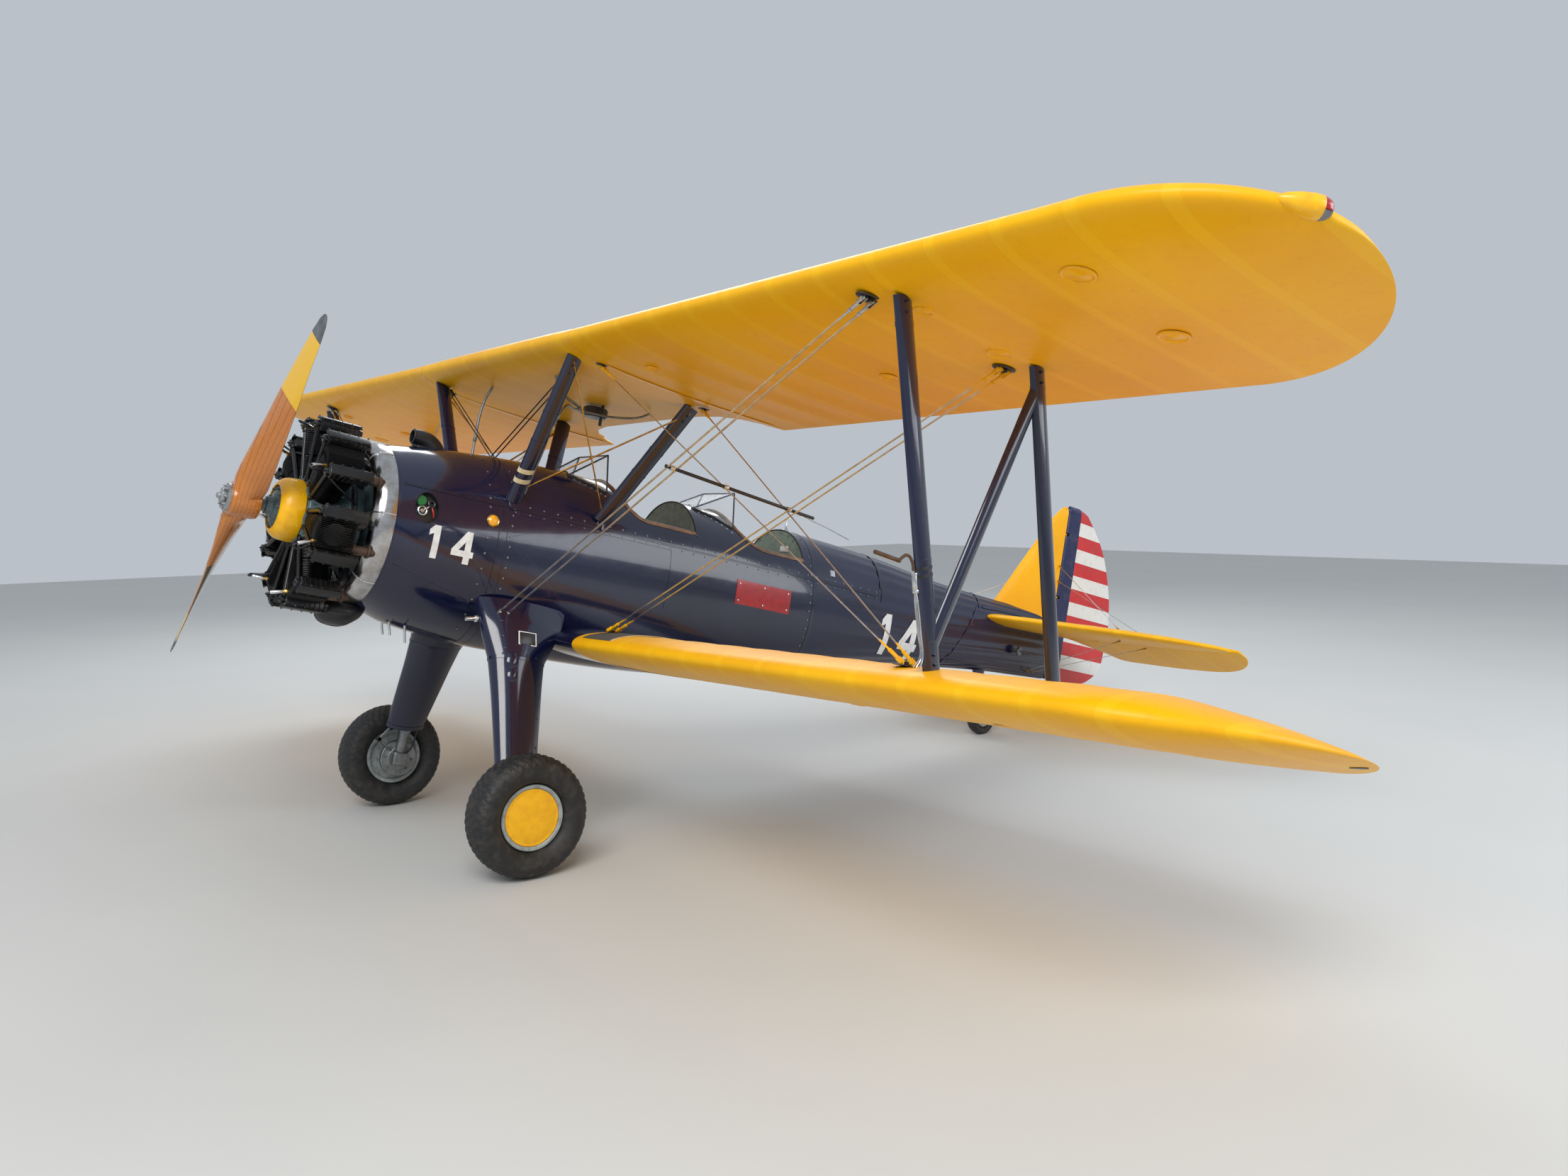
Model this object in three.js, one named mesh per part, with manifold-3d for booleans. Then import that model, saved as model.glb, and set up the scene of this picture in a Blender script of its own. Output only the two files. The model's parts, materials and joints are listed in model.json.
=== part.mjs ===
// A two-seat open-cockpit training biplane, standing on its main wheels and tail wheel.
// Millimetres. The aeroplane is drawn level: x to port, y aft of the propeller plane,
// z up from the thrust line.
// At the end the whole group is tilted nose up by the ground angle and set down on the floor.
import * as THREE from "three";
import { mergeVertices } from "three/addons/utils/BufferGeometryUtils.js";
import Module from "manifold-3d";

const wasm = await Module();
wasm.setup();

// Driving dimensions
const GAP = 0.4; // between touching pieces
const GROUND_ANGLE = 13.171; // degrees, thrust line above the floor when parked
const CHORD = 1524;
const UPPER_WING = {
  half: 4902, leadY: 1157, leadZ: 1137, incidence: 4.4, dihedral: 0.4, joint: 1016,
  straightTo: 4070, tipFrom: 4070, tipLift: 50, tipThins: 0.1, // the tip's curl and loss of thickness
};
const LOWER_WING = {
  half: 4700, leadY: 1672, leadZ: -453, incidence: 2.9, dihedral: 1.43, joint: 752,
  straightTo: 4120, tipFrom: 4215, tipLift: 32, tipThins: 0.5,
};
const STRUT_X = 3356; // interplane struts
const STRUT_UPPER = { front: 0.131, rear: 0.665 }; // shares of the chord
const STRUT_LOWER = { front: 0.1, rear: 0.615 };
const AILERON = { inner: 2060, outer: 4210, hinge: 0.795, clearance: 8 };
const AIRFOIL = { camber: 0.02, camberAt: 0.4, thickness: 0.13, edge: 0.003 };
const MAIN_WHEEL = { x: 998, y: 1443, z: -1380, radius: 325, width: 221 };
const TAIL_WHEEL = { y: 5960, radius: 135, width: 92, post: 5850 };
const ENGINE = { cylinders: 7, centreY: 365, reach: 500, rockerAngle: 13.5 };
const RING = { rearY: 660, radius: 455, z: 8 };
const COWL_REAR = 1262;
const COCKPIT_END = 3650;
const TAIL_POST = 6650;
const WALL = 18; // cockpit walls
const BLADE_ANGLE = 0.781; // of the first blade from straight up
const HINGE_LINE = { rudder: 6682, elevator: 6700, elevatorZ: 305 };
const ELEVATOR_DROOP = 15; // degrees below the tailplane at rest

// Colours
const NAVY = { color: 0x0b1236, roughness: 0.18, metalness: 0.1 };
const YELLOW = { color: 0xf2a900, roughness: 0.3, metalness: 0.0 };
const WOOD = { color: 0xb4622a, roughness: 0.35, metalness: 0.0 };
const STEEL = { color: 0xb9bcc0, roughness: 0.3, metalness: 0.9 };
const BLACK = { color: 0x15161a, roughness: 0.5, metalness: 0.3 };
const TYRE = { color: 0x26272a, roughness: 0.85, metalness: 0.0 };
const WHEEL_GREY = { color: 0x9fa8a8, roughness: 0.5, metalness: 0.3 };
const GREY_GREEN = { color: 0x7d8a80, roughness: 0.6, metalness: 0.1 };
const GLASS = { color: 0xdfe8ea, roughness: 0.05, metalness: 0.0, transparent: true, opacity: 0.35 };
const RUDDER_RED = { color: 0xb01c24, roughness: 0.35, metalness: 0.0 };

const root = new THREE.Group();
const aeroplane = new THREE.Group();
root.add(aeroplane);

// Geometry helpers
const vec = (x, y, z) => new THREE.Vector3(x, y, z);
const degrees = (angle) => THREE.MathUtils.degToRad(angle);
const lerp = THREE.MathUtils.lerp;

// Positions and triangles only, shared corners merged and collapsed triangles dropped
function cleaned(geometry) {
  const bare = new THREE.BufferGeometry();
  bare.setAttribute("position", geometry.getAttribute("position"));
  if (geometry.index) bare.setIndex(geometry.index);
  const merged = mergeVertices(bare, 1e-3);
  const kept = [];
  const index = merged.index.array;
  for (let i = 0; i < index.length; i += 3) {
    const [a, b, c] = [index[i], index[i + 1], index[i + 2]];
    if (a !== b && b !== c && c !== a) kept.push(a, b, c);
  }
  merged.setIndex(kept);
  return merged;
}

function solidOf(geometry) {
  const mesh = cleaned(geometry);
  return new wasm.Manifold(
    new wasm.Mesh({
      numProp: 3,
      vertProperties: new Float32Array(mesh.attributes.position.array),
      triVerts: new Uint32Array(mesh.index.array),
    }),
  );
}

function geometryOf(solid) {
  const mesh = solid.getMesh();
  const geometry = new THREE.BufferGeometry();
  const places = new Float32Array(mesh.numVert * 3);
  for (let i = 0; i < mesh.numVert; i++) {
    places.set(mesh.vertProperties.subarray(i * mesh.numProp, i * mesh.numProp + 3), i * 3);
  }
  geometry.setAttribute("position", new THREE.BufferAttribute(places, 3));
  geometry.setIndex(new THREE.BufferAttribute(new Uint32Array(mesh.triVerts), 1));
  return geometry;
}

function join(...geometries) {
  return geometryOf(geometries.map(solidOf).reduce((all, next) => all.add(next)));
}

function cut(geometry, ...cutters) {
  return geometryOf(cutters.map(solidOf).reduce((left, cutter) => left.subtract(cutter), solidOf(geometry)));
}

function common(geometry, other) {
  return geometryOf(solidOf(geometry).intersect(solidOf(other)));
}

// The same shape on the other side of the aeroplane
function mirrored(geometry) {
  const copy = cleaned(geometry).applyMatrix4(new THREE.Matrix4().makeScale(-1, 1, 1));
  const index = copy.index.array;
  for (let i = 0; i < index.length; i += 3) [index[i + 1], index[i + 2]] = [index[i + 2], index[i + 1]];
  return copy;
}

function volumeOf(places, triangles) {
  let volume = 0;
  for (let i = 0; i < triangles.length; i += 3) {
    const [a, b, c] = [places[triangles[i]], places[triangles[i + 1]], places[triangles[i + 2]]];
    volume += a.dot(b.clone().cross(c));
  }
  return volume / 6;
}

// A closed body through rings of points, one ring after the other, with flat ends
function loft(rings) {
  const count = rings[0].length;
  const places = rings.flat();
  const triangles = [];
  for (let r = 0; r + 1 < rings.length; r++) {
    for (let i = 0; i < count; i++) {
      const [a, b] = [r * count + i, r * count + ((i + 1) % count)];
      triangles.push(a, b, b + count, a, b + count, a + count);
    }
  }
  const last = (rings.length - 1) * count;
  triangles.push(...endCap(rings[0], 0, true), ...endCap(rings[rings.length - 1], last, false));
  if (volumeOf(places, triangles) < 0) triangles.reverse();
  const geometry = new THREE.BufferGeometry().setFromPoints(places);
  return cleaned(geometry.setIndex(triangles));
}

// Triangles that close one ring, seen along its own normal
function endCap(ring, start, first) {
  const normal = vec(0, 0, 0);
  ring.forEach((p, i) => normal.add(p.clone().cross(ring[(i + 1) % ring.length])));
  normal.normalize();
  const across = Math.abs(normal.z) < 0.9 ? vec(0, 0, 1).cross(normal).normalize() : vec(1, 0, 0);
  const up = normal.clone().cross(across);
  const flat = ring.map((p) => new THREE.Vector2(p.dot(across), p.dot(up)));
  const faces = THREE.ShapeUtils.triangulateShape(flat, []);
  const turn = ([a, b, c]) => (first ? [start + c, start + b, start + a] : [start + a, start + b, start + c]);
  return faces.flatMap(turn);
}

function box(x0, x1, y0, y1, z0, z1) {
  const geometry = new THREE.BoxGeometry(x1 - x0, y1 - y0, z1 - z0);
  return geometry.translate((x0 + x1) / 2, (y0 + y1) / 2, (z0 + z1) / 2);
}

// A solid of revolution: profile pairs are [radius, distance along the axis], from start towards direction
function turned(profile, start, direction, segments = 20) {
  const points = profile.map(([radius, along]) => new THREE.Vector2(radius, along));
  const geometry = cleaned(new THREE.LatheGeometry(points, segments));
  const turn = new THREE.Quaternion().setFromUnitVectors(vec(0, 1, 0), direction.clone().normalize());
  geometry.applyQuaternion(turn).translate(start.x, start.y, start.z);
  return outward(geometry);
}

function outward(geometry) {
  const index = geometry.index.array;
  const at = geometry.attributes.position;
  const places = [];
  for (let i = 0; i < at.count; i++) places.push(vec(at.getX(i), at.getY(i), at.getZ(i)));
  if (volumeOf(places, index) < 0) geometry.setIndex([...index].reverse());
  return geometry;
}

function rod(from, to, radius, segments = 8) {
  const direction = to.clone().sub(from);
  const length = direction.length();
  return turned([[0, 0], [radius, 0], [radius, length], [0, length]], from, direction, segments);
}

// A streamlined bar between two points, its long side lying fore and aft
const STREAMLINE = [
  [-0.5, 0], [-0.44, 0.3], [-0.28, 0.47], [-0.05, 0.5], [0.25, 0.36], [0.5, 0.04],
  [0.5, -0.04], [0.25, -0.36], [-0.05, -0.5], [-0.28, -0.47], [-0.44, -0.3],
];
function strut(from, to, chord, thickness, endChord = chord, endThickness = thickness, outline = STREAMLINE) {
  const along = to.clone().sub(from).normalize();
  const aft = vec(0, 1, 0).addScaledVector(along, -along.y).normalize();
  const side = along.clone().cross(aft);
  const ring = (at, length, width) =>
    outline.map(([u, v]) => at.clone().addScaledVector(aft, u * length).addScaledVector(side, v * width));
  return loft([ring(from, chord, thickness), ring(to, endChord, endThickness)]);
}

function add(name, geometry, finish) {
  const mesh = new THREE.Mesh(geometry, new THREE.MeshStandardMaterial(finish));
  mesh.name = name;
  aeroplane.add(mesh);
  return mesh;
}

// The same piece on both sides, each cut by what it meets
function addPair(name, geometry, finish, ...cutters) {
  for (const [side, shape] of [["left", geometry], ["right", mirrored(geometry)]]) {
    add(name + "_" + side, cutters.length ? largest(cut(shape, ...cutters)) : shape, finish);
  }
}

// The biggest body of a cut shape
function largest(geometry) {
  const bodies = solidOf(geometry).decompose();
  return geometryOf(bodies.reduce((best, body) => (body.volume() > best.volume() ? body : best)));
}

// Fuselage: stations along y with half width, top, bottom and the squareness above and below the widest line
const FUSELAGE = [
  // y, half width, top z, widest z, bottom z, squareness above, squareness below
  [RING.rearY, RING.radius, 463, 8, -447, 2.0, 2.0],
  [850, 456, 500, 5, -518, 2.05, 2.1],
  [1262, 452, 548, 0, -574, 2.1, 2.3],
  [1600, 449, 570, 0, -586, 2.15, 2.4],
  [2200, 443, 573, 0, -590, 2.15, 2.5],
  [2700, 436, 573, 0, -568, 2.15, 2.5],
  [3200, 422, 573, 0, -520, 2.15, 2.4],
  [3650, 402, 573, 10, -446, 2.15, 2.3],
  [4400, 322, 550, 30, -318, 2.2, 2.2],
  [5163, 228, 489, 60, -198, 2.2, 2.2],
  [5800, 145, 469, 100, -140, 2.2, 2.2],
  [6300, 82, 462, 130, -118, 2.2, 2.2],
  [TAIL_POST, 40, 440, 150, -104, 2.2, 2.2],
];

function fuselageAt(y) {
  let i = 0;
  while (i + 2 < FUSELAGE.length && y > FUSELAGE[i + 1][0]) i++;
  const share = (y - FUSELAGE[i][0]) / (FUSELAGE[i + 1][0] - FUSELAGE[i][0]);
  const next = FUSELAGE[i + 1];
  const [, half, top, wide, bottom, above, below] = FUSELAGE[i].map((v, k) => lerp(v, next[k], share));
  return { half, top, wide, bottom, above, below };
}

// One cross-section, grown outward by so much (negative: shrunk)
function fuselageRing(y, grow = 0, points = 28) {
  const at = fuselageAt(y);
  return Array.from({ length: points }, (_, i) => {
    const angle = (2 * Math.PI * i) / points;
    const upper = Math.sin(angle) >= 0;
    const power = 2 / (upper ? at.above : at.below);
    const height = (upper ? at.top - at.wide : at.wide - at.bottom) + grow;
    const x = (at.half + grow) * Math.sign(Math.cos(angle)) * Math.abs(Math.cos(angle)) ** power;
    const z = at.wide + height * Math.sign(Math.sin(angle)) * Math.abs(Math.sin(angle)) ** power;
    return vec(x, y, z);
  });
}

function fuselageBody(from, to, grow = 0) {
  const inner = FUSELAGE.map(([y]) => y).filter((y) => y > from + 1 && y < to - 1);
  return loft([from, ...inner, to].map((y) => fuselageRing(y, grow)));
}

const fuselageSkin = fuselageBody(FUSELAGE[0][0], TAIL_POST + GAP, GAP);

add("nose_cowl", fuselageBody(RING.rearY + GAP, COWL_REAR - GAP), NAVY);

// Each cockpit is cut down to its side rim. Behind it the deck starts again with an upright bulkhead
const COCKPITS = [
  // name, front edge, length of the slope down to the rim, rear edge
  ["front", 2030, 220, 2620],
  ["rear", 2900, 320, 3540],
];
const RIM_Z = 353;
const BULKHEAD = { thickness: 14, foot: 300 };

// The side view of one cut, from the sloping front edge back to the bulkhead
function cockpitCut([, front, slope, rear]) {
  const shape = new THREE.Shape();
  shape.moveTo(rear, RIM_Z);
  shape.lineTo(rear, 800);
  shape.lineTo(front, 800);
  shape.lineTo(front, 640);
  shape.absellipse(front + slope, 640, slope, 640 - RIM_Z, Math.PI, 1.5 * Math.PI, false);
  const prism = new THREE.ExtrudeGeometry(shape, { depth: 1000, bevelEnabled: false, curveSegments: 8 });
  const across = new THREE.Matrix4().makeBasis(vec(0, 1, 0), vec(0, 0, 1), vec(1, 0, 0));
  return prism.applyMatrix4(across).translate(-500, 0, 0);
}

function cockpitFrontBody() {
  const hollow = fuselageBody(COWL_REAR + 40, COCKPIT_END - 50, -WALL);
  const behind = BULKHEAD.thickness;
  const bulkheads = COCKPITS.map(([, , , rear]) => box(-500, 500, rear, rear + behind, BULKHEAD.foot, 700));
  return cut(fuselageBody(COWL_REAR, COCKPIT_END), cut(hollow, ...bulkheads), ...COCKPITS.map(cockpitCut));
}
add("fuselage_front", cockpitFrontBody(), NAVY);
add("fuselage_rear", fuselageBody(COCKPIT_END + GAP, TAIL_POST), NAVY);

// Cockpit floor with the two control sticks
const inside = fuselageBody(COWL_REAR + 42, COCKPIT_END - 52, -WALL - GAP);
const FLOOR_Z = -400;
const sticks = COCKPITS.map(([, front]) => rod(vec(0, front + 50, FLOOR_Z - 5), vec(0, front + 80, 60), 13));
add(
  "cockpit_floor",
  join(common(inside, box(-500, 500, 1300, 3610, FLOOR_Z - 14, FLOOR_Z)), ...sticks),
  GREY_GREEN,
);

COCKPITS.forEach(([name, front, , rear]) => {
  const slab = box(-500, 500, front - 60, front - 44, 60, 700);
  add("instrument_panel_" + name, common(inside, slab), BLACK);
  const [seatFront, seatBack] = [rear - 430, rear - 24];
  const seat = join(
    box(-215, 215, seatFront, seatBack, -200, -178),
    box(-215, 215, seatBack - 22, seatBack, -200, 230),
    box(-215, -200, seatFront + 60, seatBack, -200, -30),
    box(200, 215, seatFront + 60, seatBack, -200, -30),
    box(-150, -120, seatFront + 40, seatBack - 40, FLOOR_Z + GAP, -190),
    box(120, 150, seatFront + 40, seatBack - 40, FLOOR_Z + GAP, -190),
  );
  add("seat_" + name, seat, GREY_GREEN);
});

// Windscreens: one raked middle pane and two side panes that come down to the cockpit's edge
const WINDSCREENS = [
  // name, foot of the middle pane, its top edge y and z, rear foot of the side pane y and z
  ["front", 1735, 1985, 722, 1975, 432],
  ["rear", 2662, 2975, 706, 2942, 451],
];
const PANE = { thickness: 7, footX: 170, topX: 185, rearX: 290, post: 9 };

function pane(corners) {
  const [a, b, c] = corners;
  const normal = b.clone().sub(a).cross(c.clone().sub(a)).normalize().multiplyScalar(PANE.thickness / 2);
  return loft([corners.map((p) => p.clone().sub(normal)), corners.map((p) => p.clone().add(normal))]);
}

WINDSCREENS.forEach(([name, foot, topY, topZ, rearY, rearZ]) => {
  const footZ = fuselageAt(foot).top - 40;
  const [low, high] = [vec(PANE.footX, foot, footZ), vec(PANE.topX, topY, topZ)];
  const middle = pane([vec(-low.x, low.y, low.z), low, high, vec(-high.x, high.y, high.z)]);
  const side = pane([low, vec(PANE.rearX, rearY, rearZ - 30), high]);
  const post = rod(low, high, PANE.post, 8);
  const screen = join(middle, side, mirrored(side), post, mirrored(post));
  add("windscreen_" + name, cut(screen, fuselageSkin), GLASS);
});

// Wing sections
function airfoilHeights(x) {
  const { camber, camberAt, thickness, edge } = AIRFOIL;
  // The usual four-digit section's thickness and camber curves
  const half =
    5 * thickness * (0.2969 * Math.sqrt(x) - 0.126 * x - 0.3516 * x ** 2 + 0.2843 * x ** 3 - 0.1036 * x ** 4);
  const mean =
    x < camberAt
      ? (camber / camberAt ** 2) * (2 * camberAt * x - x ** 2)
      : (camber / (1 - camberAt) ** 2) * (1 - 2 * camberAt + 2 * camberAt * x - x ** 2);
  const blunt = (edge / 2) * x;
  return [mean + half + blunt, mean - half - blunt];
}

// Shares of the chord from the trailing edge round the nose and back, one pair of surfaces
function airfoilLoop(from, to, steps) {
  const spread = (i) => 1 - Math.cos((Math.PI * i) / steps / 2);
  const shares = Array.from({ length: steps + 1 }, (_, i) => from + (to - from) * spread(i));
  const upper = shares.map((x) => [x, airfoilHeights(x)[0]]).reverse();
  const lower = shares.map((x) => [x, airfoilHeights(x)[1]]);
  return from === 0 ? [...upper, ...lower.slice(1)] : [...upper, ...lower];
}

// A place on a wing: share of the chord and height above the chord line, as shares of the chord
function wingPoint(wing, x, share, height, lead = 0, chord = CHORD) {
  const tilt = degrees(wing.incidence);
  const pastTip = Math.max(0, Math.abs(x) - wing.tipFrom) / (wing.half - wing.tipFrom);
  const straight = Math.max(0, Math.abs(x) - wing.joint) * Math.tan(degrees(wing.dihedral));
  const rise = straight + wing.tipLift * pastTip ** 2;
  const [along, up] = [lead + share * chord, height * chord * (1 - wing.tipThins * pastTip ** 2)];
  const y = wing.leadY + along * Math.cos(tilt) + up * Math.sin(tilt);
  const z = wing.leadZ + rise - along * Math.sin(tilt) + up * Math.cos(tilt);
  return vec(x, y, z);
}

function wingRing(wing, x, lead, chord, from = 0, to = 1, steps = 10) {
  const placed = ([share, height]) => wingPoint(wing, x, share, height, lead, chord);
  return airfoilLoop(from, to, steps).map(placed);
}

// Rounded tip: quarter ellipses for the leading and trailing edges that meet at the widest point
function tipStations(half, leadStart, trailStart, widest, steps = 8) {
  const stations = [];
  for (let i = 1; i <= steps; i++) {
    const x = half - (half - trailStart) * (1 - Math.sin((Math.PI / 2) * (i / (steps + 0.35))));
    const edge = (start) => 1 - Math.sqrt(Math.max(0, 1 - Math.max(0, (x - start) / (half - start)) ** 2));
    const lead = widest * CHORD * edge(leadStart);
    const trail = (1 - widest) * CHORD * edge(trailStart);
    stations.push([x, lead, CHORD - lead - trail]);
  }
  return stations;
}

const UPPER_TIP = tipStations(UPPER_WING.half, 4265, 4070, 0.414);
const LOWER_TIP = tipStations(LOWER_WING.half, 4120, 4215, 0.62);

function wingPanel(wing, tip, from) {
  const plain = [from, lerp(from, wing.straightTo, 0.5), wing.straightTo].map((x) => [x, 0, CHORD]);
  return loft([...plain, ...tip].map(([x, lead, chord]) => wingRing(wing, x, lead, chord)));
}

// Centre section with its trailing edge cut away for the pilots' view
const CENTRE_STATIONS = [
  // x, chord
  [0, 1190],
  [560, 1195],
  [740, 1230],
  [870, 1310],
  [960, 1420],
  [1012, 1524],
];
function centreSection() {
  const otherHalf = CENTRE_STATIONS.slice(1).map(([x, chord]) => [-x, chord]).reverse();
  const stations = [...otherHalf, ...CENTRE_STATIONS];
  return loft(stations.map(([x, chord]) => centreRing(x, chord)));
}

// The nose keeps the full section's shape, and the rear is drawn in to the shorter chord
function centreRing(x, chord) {
  return airfoilLoop(0, 1, 10).map(([share, height]) => {
    const reach = share * chord;
    const taper = chord / CHORD;
    return wingPoint(UPPER_WING, x, reach / CHORD, height * lerp(1, taper, share));
  });
}
add("wing_centre_section", centreSection(), YELLOW);
addPair("upper_wing", wingPanel(UPPER_WING, UPPER_TIP, UPPER_WING.joint + 1), YELLOW);

// Ailerons, on the lower wing only, each carried by two eyes on the wing and a pin across each slot
const HINGE_EYES = [0.15, 0.85];
function aileronHinge(x) {
  const [upper, lower] = airfoilHeights(AILERON.hinge);
  return wingPoint(LOWER_WING, x, AILERON.hinge, (upper + lower) / 2);
}
const hingeIn = aileronHinge(AILERON.inner);
const hingeOut = aileronHinge(AILERON.outer);
const [hingeTop, hingeBottom] = airfoilHeights(AILERON.hinge);
const NOSE_RADIUS = ((hingeTop - hingeBottom) / 2) * CHORD - 1;
const PIN = { radius: 5, hole: 5.8, eye: 13, width: 14, slot: 26, reach: 20 };

function aileronBody() {
  const inner = AILERON.inner + AILERON.clearance;
  const outer = AILERON.outer - AILERON.clearance;
  const blade = loft([inner, outer].map((x) => wingRing(LOWER_WING, x, 0, CHORD, AILERON.hinge, 1, 4)));
  const along = hingeOut.clone().sub(hingeIn).normalize();
  const nose = rod(aileronHinge(inner), aileronHinge(outer), NOSE_RADIUS, 14);
  const slots = HINGE_EYES.map((share) => {
    const at = hingeIn.clone().lerp(hingeOut, share);
    return box(at.x - PIN.slot / 2, at.x + PIN.slot / 2, at.y - 90, at.y + 24, at.z - 80, at.z + 80);
  });
  const pins = HINGE_EYES.map((share) => {
    const at = hingeIn.clone().lerp(hingeOut, share);
    const reach = along.clone().multiplyScalar(PIN.reach);
    return rod(at.clone().sub(reach), at.clone().add(reach), PIN.radius);
  });
  return join(cut(join(blade, nose), ...slots), ...pins);
}

function hingeEye(at, along, toward) {
  const half = along.clone().multiplyScalar(PIN.width / 2);
  const eye = rod(at.clone().sub(half), at.clone().add(half), PIN.eye, 8);
  const middle = at.clone().addScaledVector(toward, 50);
  const arm = box(
    at.x - PIN.width / 2, at.x + PIN.width / 2,
    Math.min(at.y, middle.y) - 30, Math.max(at.y, middle.y) - (toward.y < 0 ? 0 : -30),
    Math.min(at.z, middle.z) - 9, Math.max(at.z, middle.z) + 9,
  );
  const reach = along.clone().multiplyScalar(30);
  const hole = rod(at.clone().sub(reach), at.clone().add(reach), PIN.hole, 12);
  return { body: join(eye, arm), hole };
}

function lowerWing() {
  const panel = wingPanel(LOWER_WING, LOWER_TIP, LOWER_WING.joint + 1);
  const along = hingeOut.clone().sub(hingeIn).normalize();
  const bay = NOSE_RADIUS + AILERON.clearance;
  const rear = hingeIn.y - bay;
  const opening = box(AILERON.inner, AILERON.outer, rear, rear + 900, -800, 200);
  const eyeAt = (share) => hingeEye(hingeIn.clone().lerp(hingeOut, share), along, vec(0, -1, 0));
  const eyes = HINGE_EYES.map(eyeAt);
  return cut(join(cut(panel, opening), ...eyes.map((eye) => eye.body)), ...eyes.map((eye) => eye.hole));
}
addPair("lower_wing", lowerWing(), YELLOW);
addPair("aileron", aileronBody(), YELLOW);

// Root fairing: the stub that carries the lower wing, and the shoulder that carries the gear leg
const SHOULDER = [
  // x, y, z of the middle, chord, thickness
  [400, 1490, -290, 560, 130],
  [470, 1470, -420, 500, 175],
  [574, 1434, -608, 336, 160],
];
function section([x, y, z, chord, thickness], tilt = 0) {
  return STREAMLINE.map(([u, v]) => vec(x + v * thickness, y + u * chord, z + v * thickness * tilt));
}
function rootFairing() {
  const stub = loft([200, LOWER_WING.joint - 1].map((x) => wingRing(LOWER_WING, x, 0, CHORD)));
  const shoulder = loft(SHOULDER.map((row) => section(row, 0.35)));
  return join(stub, shoulder);
}
addPair("root_fairing", rootFairing(), NAVY, fuselageSkin);
const shoulderRoom = loft(SHOULDER.map(([x, y, z, chord, thickness]) =>
  section([x, y, z, chord + 4 * GAP, thickness + 4 * GAP], 0.35)));

const legTop = SHOULDER[SHOULDER.length - 1];
const LEG = [
  [legTop[0], legTop[1], legTop[2] - 1.3 * GAP, legTop[3], legTop[4]],
  [690, 1432, -880, 284, 135],
  [806, 1428, -1160, 240, 112],
];
addPair("gear_leg", loft(LEG.map((row) => section(row, 0.35))), NAVY);

// Main wheels
const axleAt = (x) => vec(x, MAIN_WHEEL.y, MAIN_WHEEL.z);
function axle() {
  const piston = rod(vec(801, 1432, -1150), vec(846, 1440, -1370), 34, 12);
  const shaft = rod(axleAt(810), axleAt(1045), 24, 12);
  const plate = rod(axleAt(842), axleAt(866), 118, 16);
  const link = join(
    rod(vec(806, 1330, -1175), vec(812, 1275, -1265), 11),
    rod(vec(812, 1275, -1265), vec(846, 1400, -1350), 11),
    rod(vec(801, 1400, -1165), vec(806, 1325, -1175), 11),
  );
  const room = loft(LEG.map(([x, y, z, c, t]) => section([x, y, z - 1, c + 2, t + 2], 0.35)));
  return largest(cut(join(piston, shaft, plate, link), room));
}
addPair("axle", axle(), STEEL);

const RIM_PROFILE = [
  // radius, distance from the inner face
  [24.5, 0], [60, 0], [70, 32], [150, 34], [152, 4], [174, 0], [174, 13], [160, 15], [160, 127],
  [174, 129], [174, 142], [152, 138], [150, 112], [24.5, 108],
];
const rimFace = axleAt(MAIN_WHEEL.x - 71);
addPair("wheel", turned([...RIM_PROFILE, RIM_PROFILE[0]], rimFace, vec(1, 0, 0), 24), WHEEL_GREY);
const CAP_PROFILE = [[0, 0], [151, 0], [151.2, 4], [90, 8], [0, 9]];
addPair("hub_cap", turned(CAP_PROFILE, axleAt(1058), vec(1, 0, 0), 24), YELLOW);

// A tyre's section: seated on the rim between the flanges, then bulging to its full width
const TYRE_HALF = [
  // share of the height above the seat, share of half the width
  [0, 0.5], [0.1, 0.52], [0.19, 0.77], [0.4, 0.97], [0.62, 1], [0.82, 0.89], [0.945, 0.6], [1, 0.22],
];
function tyreProfile(radius, seat, width) {
  const side = (sign) => TYRE_HALF.map(([up, out]) => [lerp(seat, radius, up), (sign * out * width) / 2]);
  const points = [...side(-1), ...side(1).reverse()];
  return [...points, points[0]];
}
addPair(
  "tyre",
  turned(tyreProfile(MAIN_WHEEL.radius, 160.4, MAIN_WHEEL.width), axleAt(MAIN_WHEEL.x), vec(1, 0, 0), 24),
  TYRE,
);

// Upper wing undersides and lower wing tops, where the struts end
const underUpper = (x, share) => wingPoint(UPPER_WING, x, share, airfoilHeights(share)[1]);
const topLower = (x, share) => wingPoint(LOWER_WING, x, share, airfoilHeights(share)[0]);
const skinOf = (name) => aeroplane.getObjectByName(name).geometry;
const upperSkin = join(skinOf("upper_wing_left"), skinOf("upper_wing_right"));
const lowerSkin = join(skinOf("lower_wing_left"), skinOf("lower_wing_right"));
const shifted = (point, x, y, z) => point.clone().add(vec(x, y, z));

const CABANES = [
  // name, foot x, foot y, foot z, top x, share of the chord at the top, chord
  ["front", 400, 1322, 296, 897, 0.088, 92],
  ["rear", 398, 1902, 300, 788, 0.646, 105],
];
const centreSkin = aeroplane.getObjectByName("wing_centre_section").geometry;
CABANES.forEach(([name, footX, footY, footZ, topX, share, chord]) => {
  const top = underUpper(topX, share);
  const foot = vec(footX, footY, footZ);
  const lift = top.clone().sub(foot).normalize();
  const [low, high] = [foot.clone().addScaledVector(lift, -60), top.clone().addScaledVector(lift, 60)];
  const bar = strut(low, high, chord, 44);
  addPair("cabane_strut_" + name, bar, NAVY, fuselageSkin, centreSkin.clone().translate(0, 0, -GAP));
});

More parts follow.
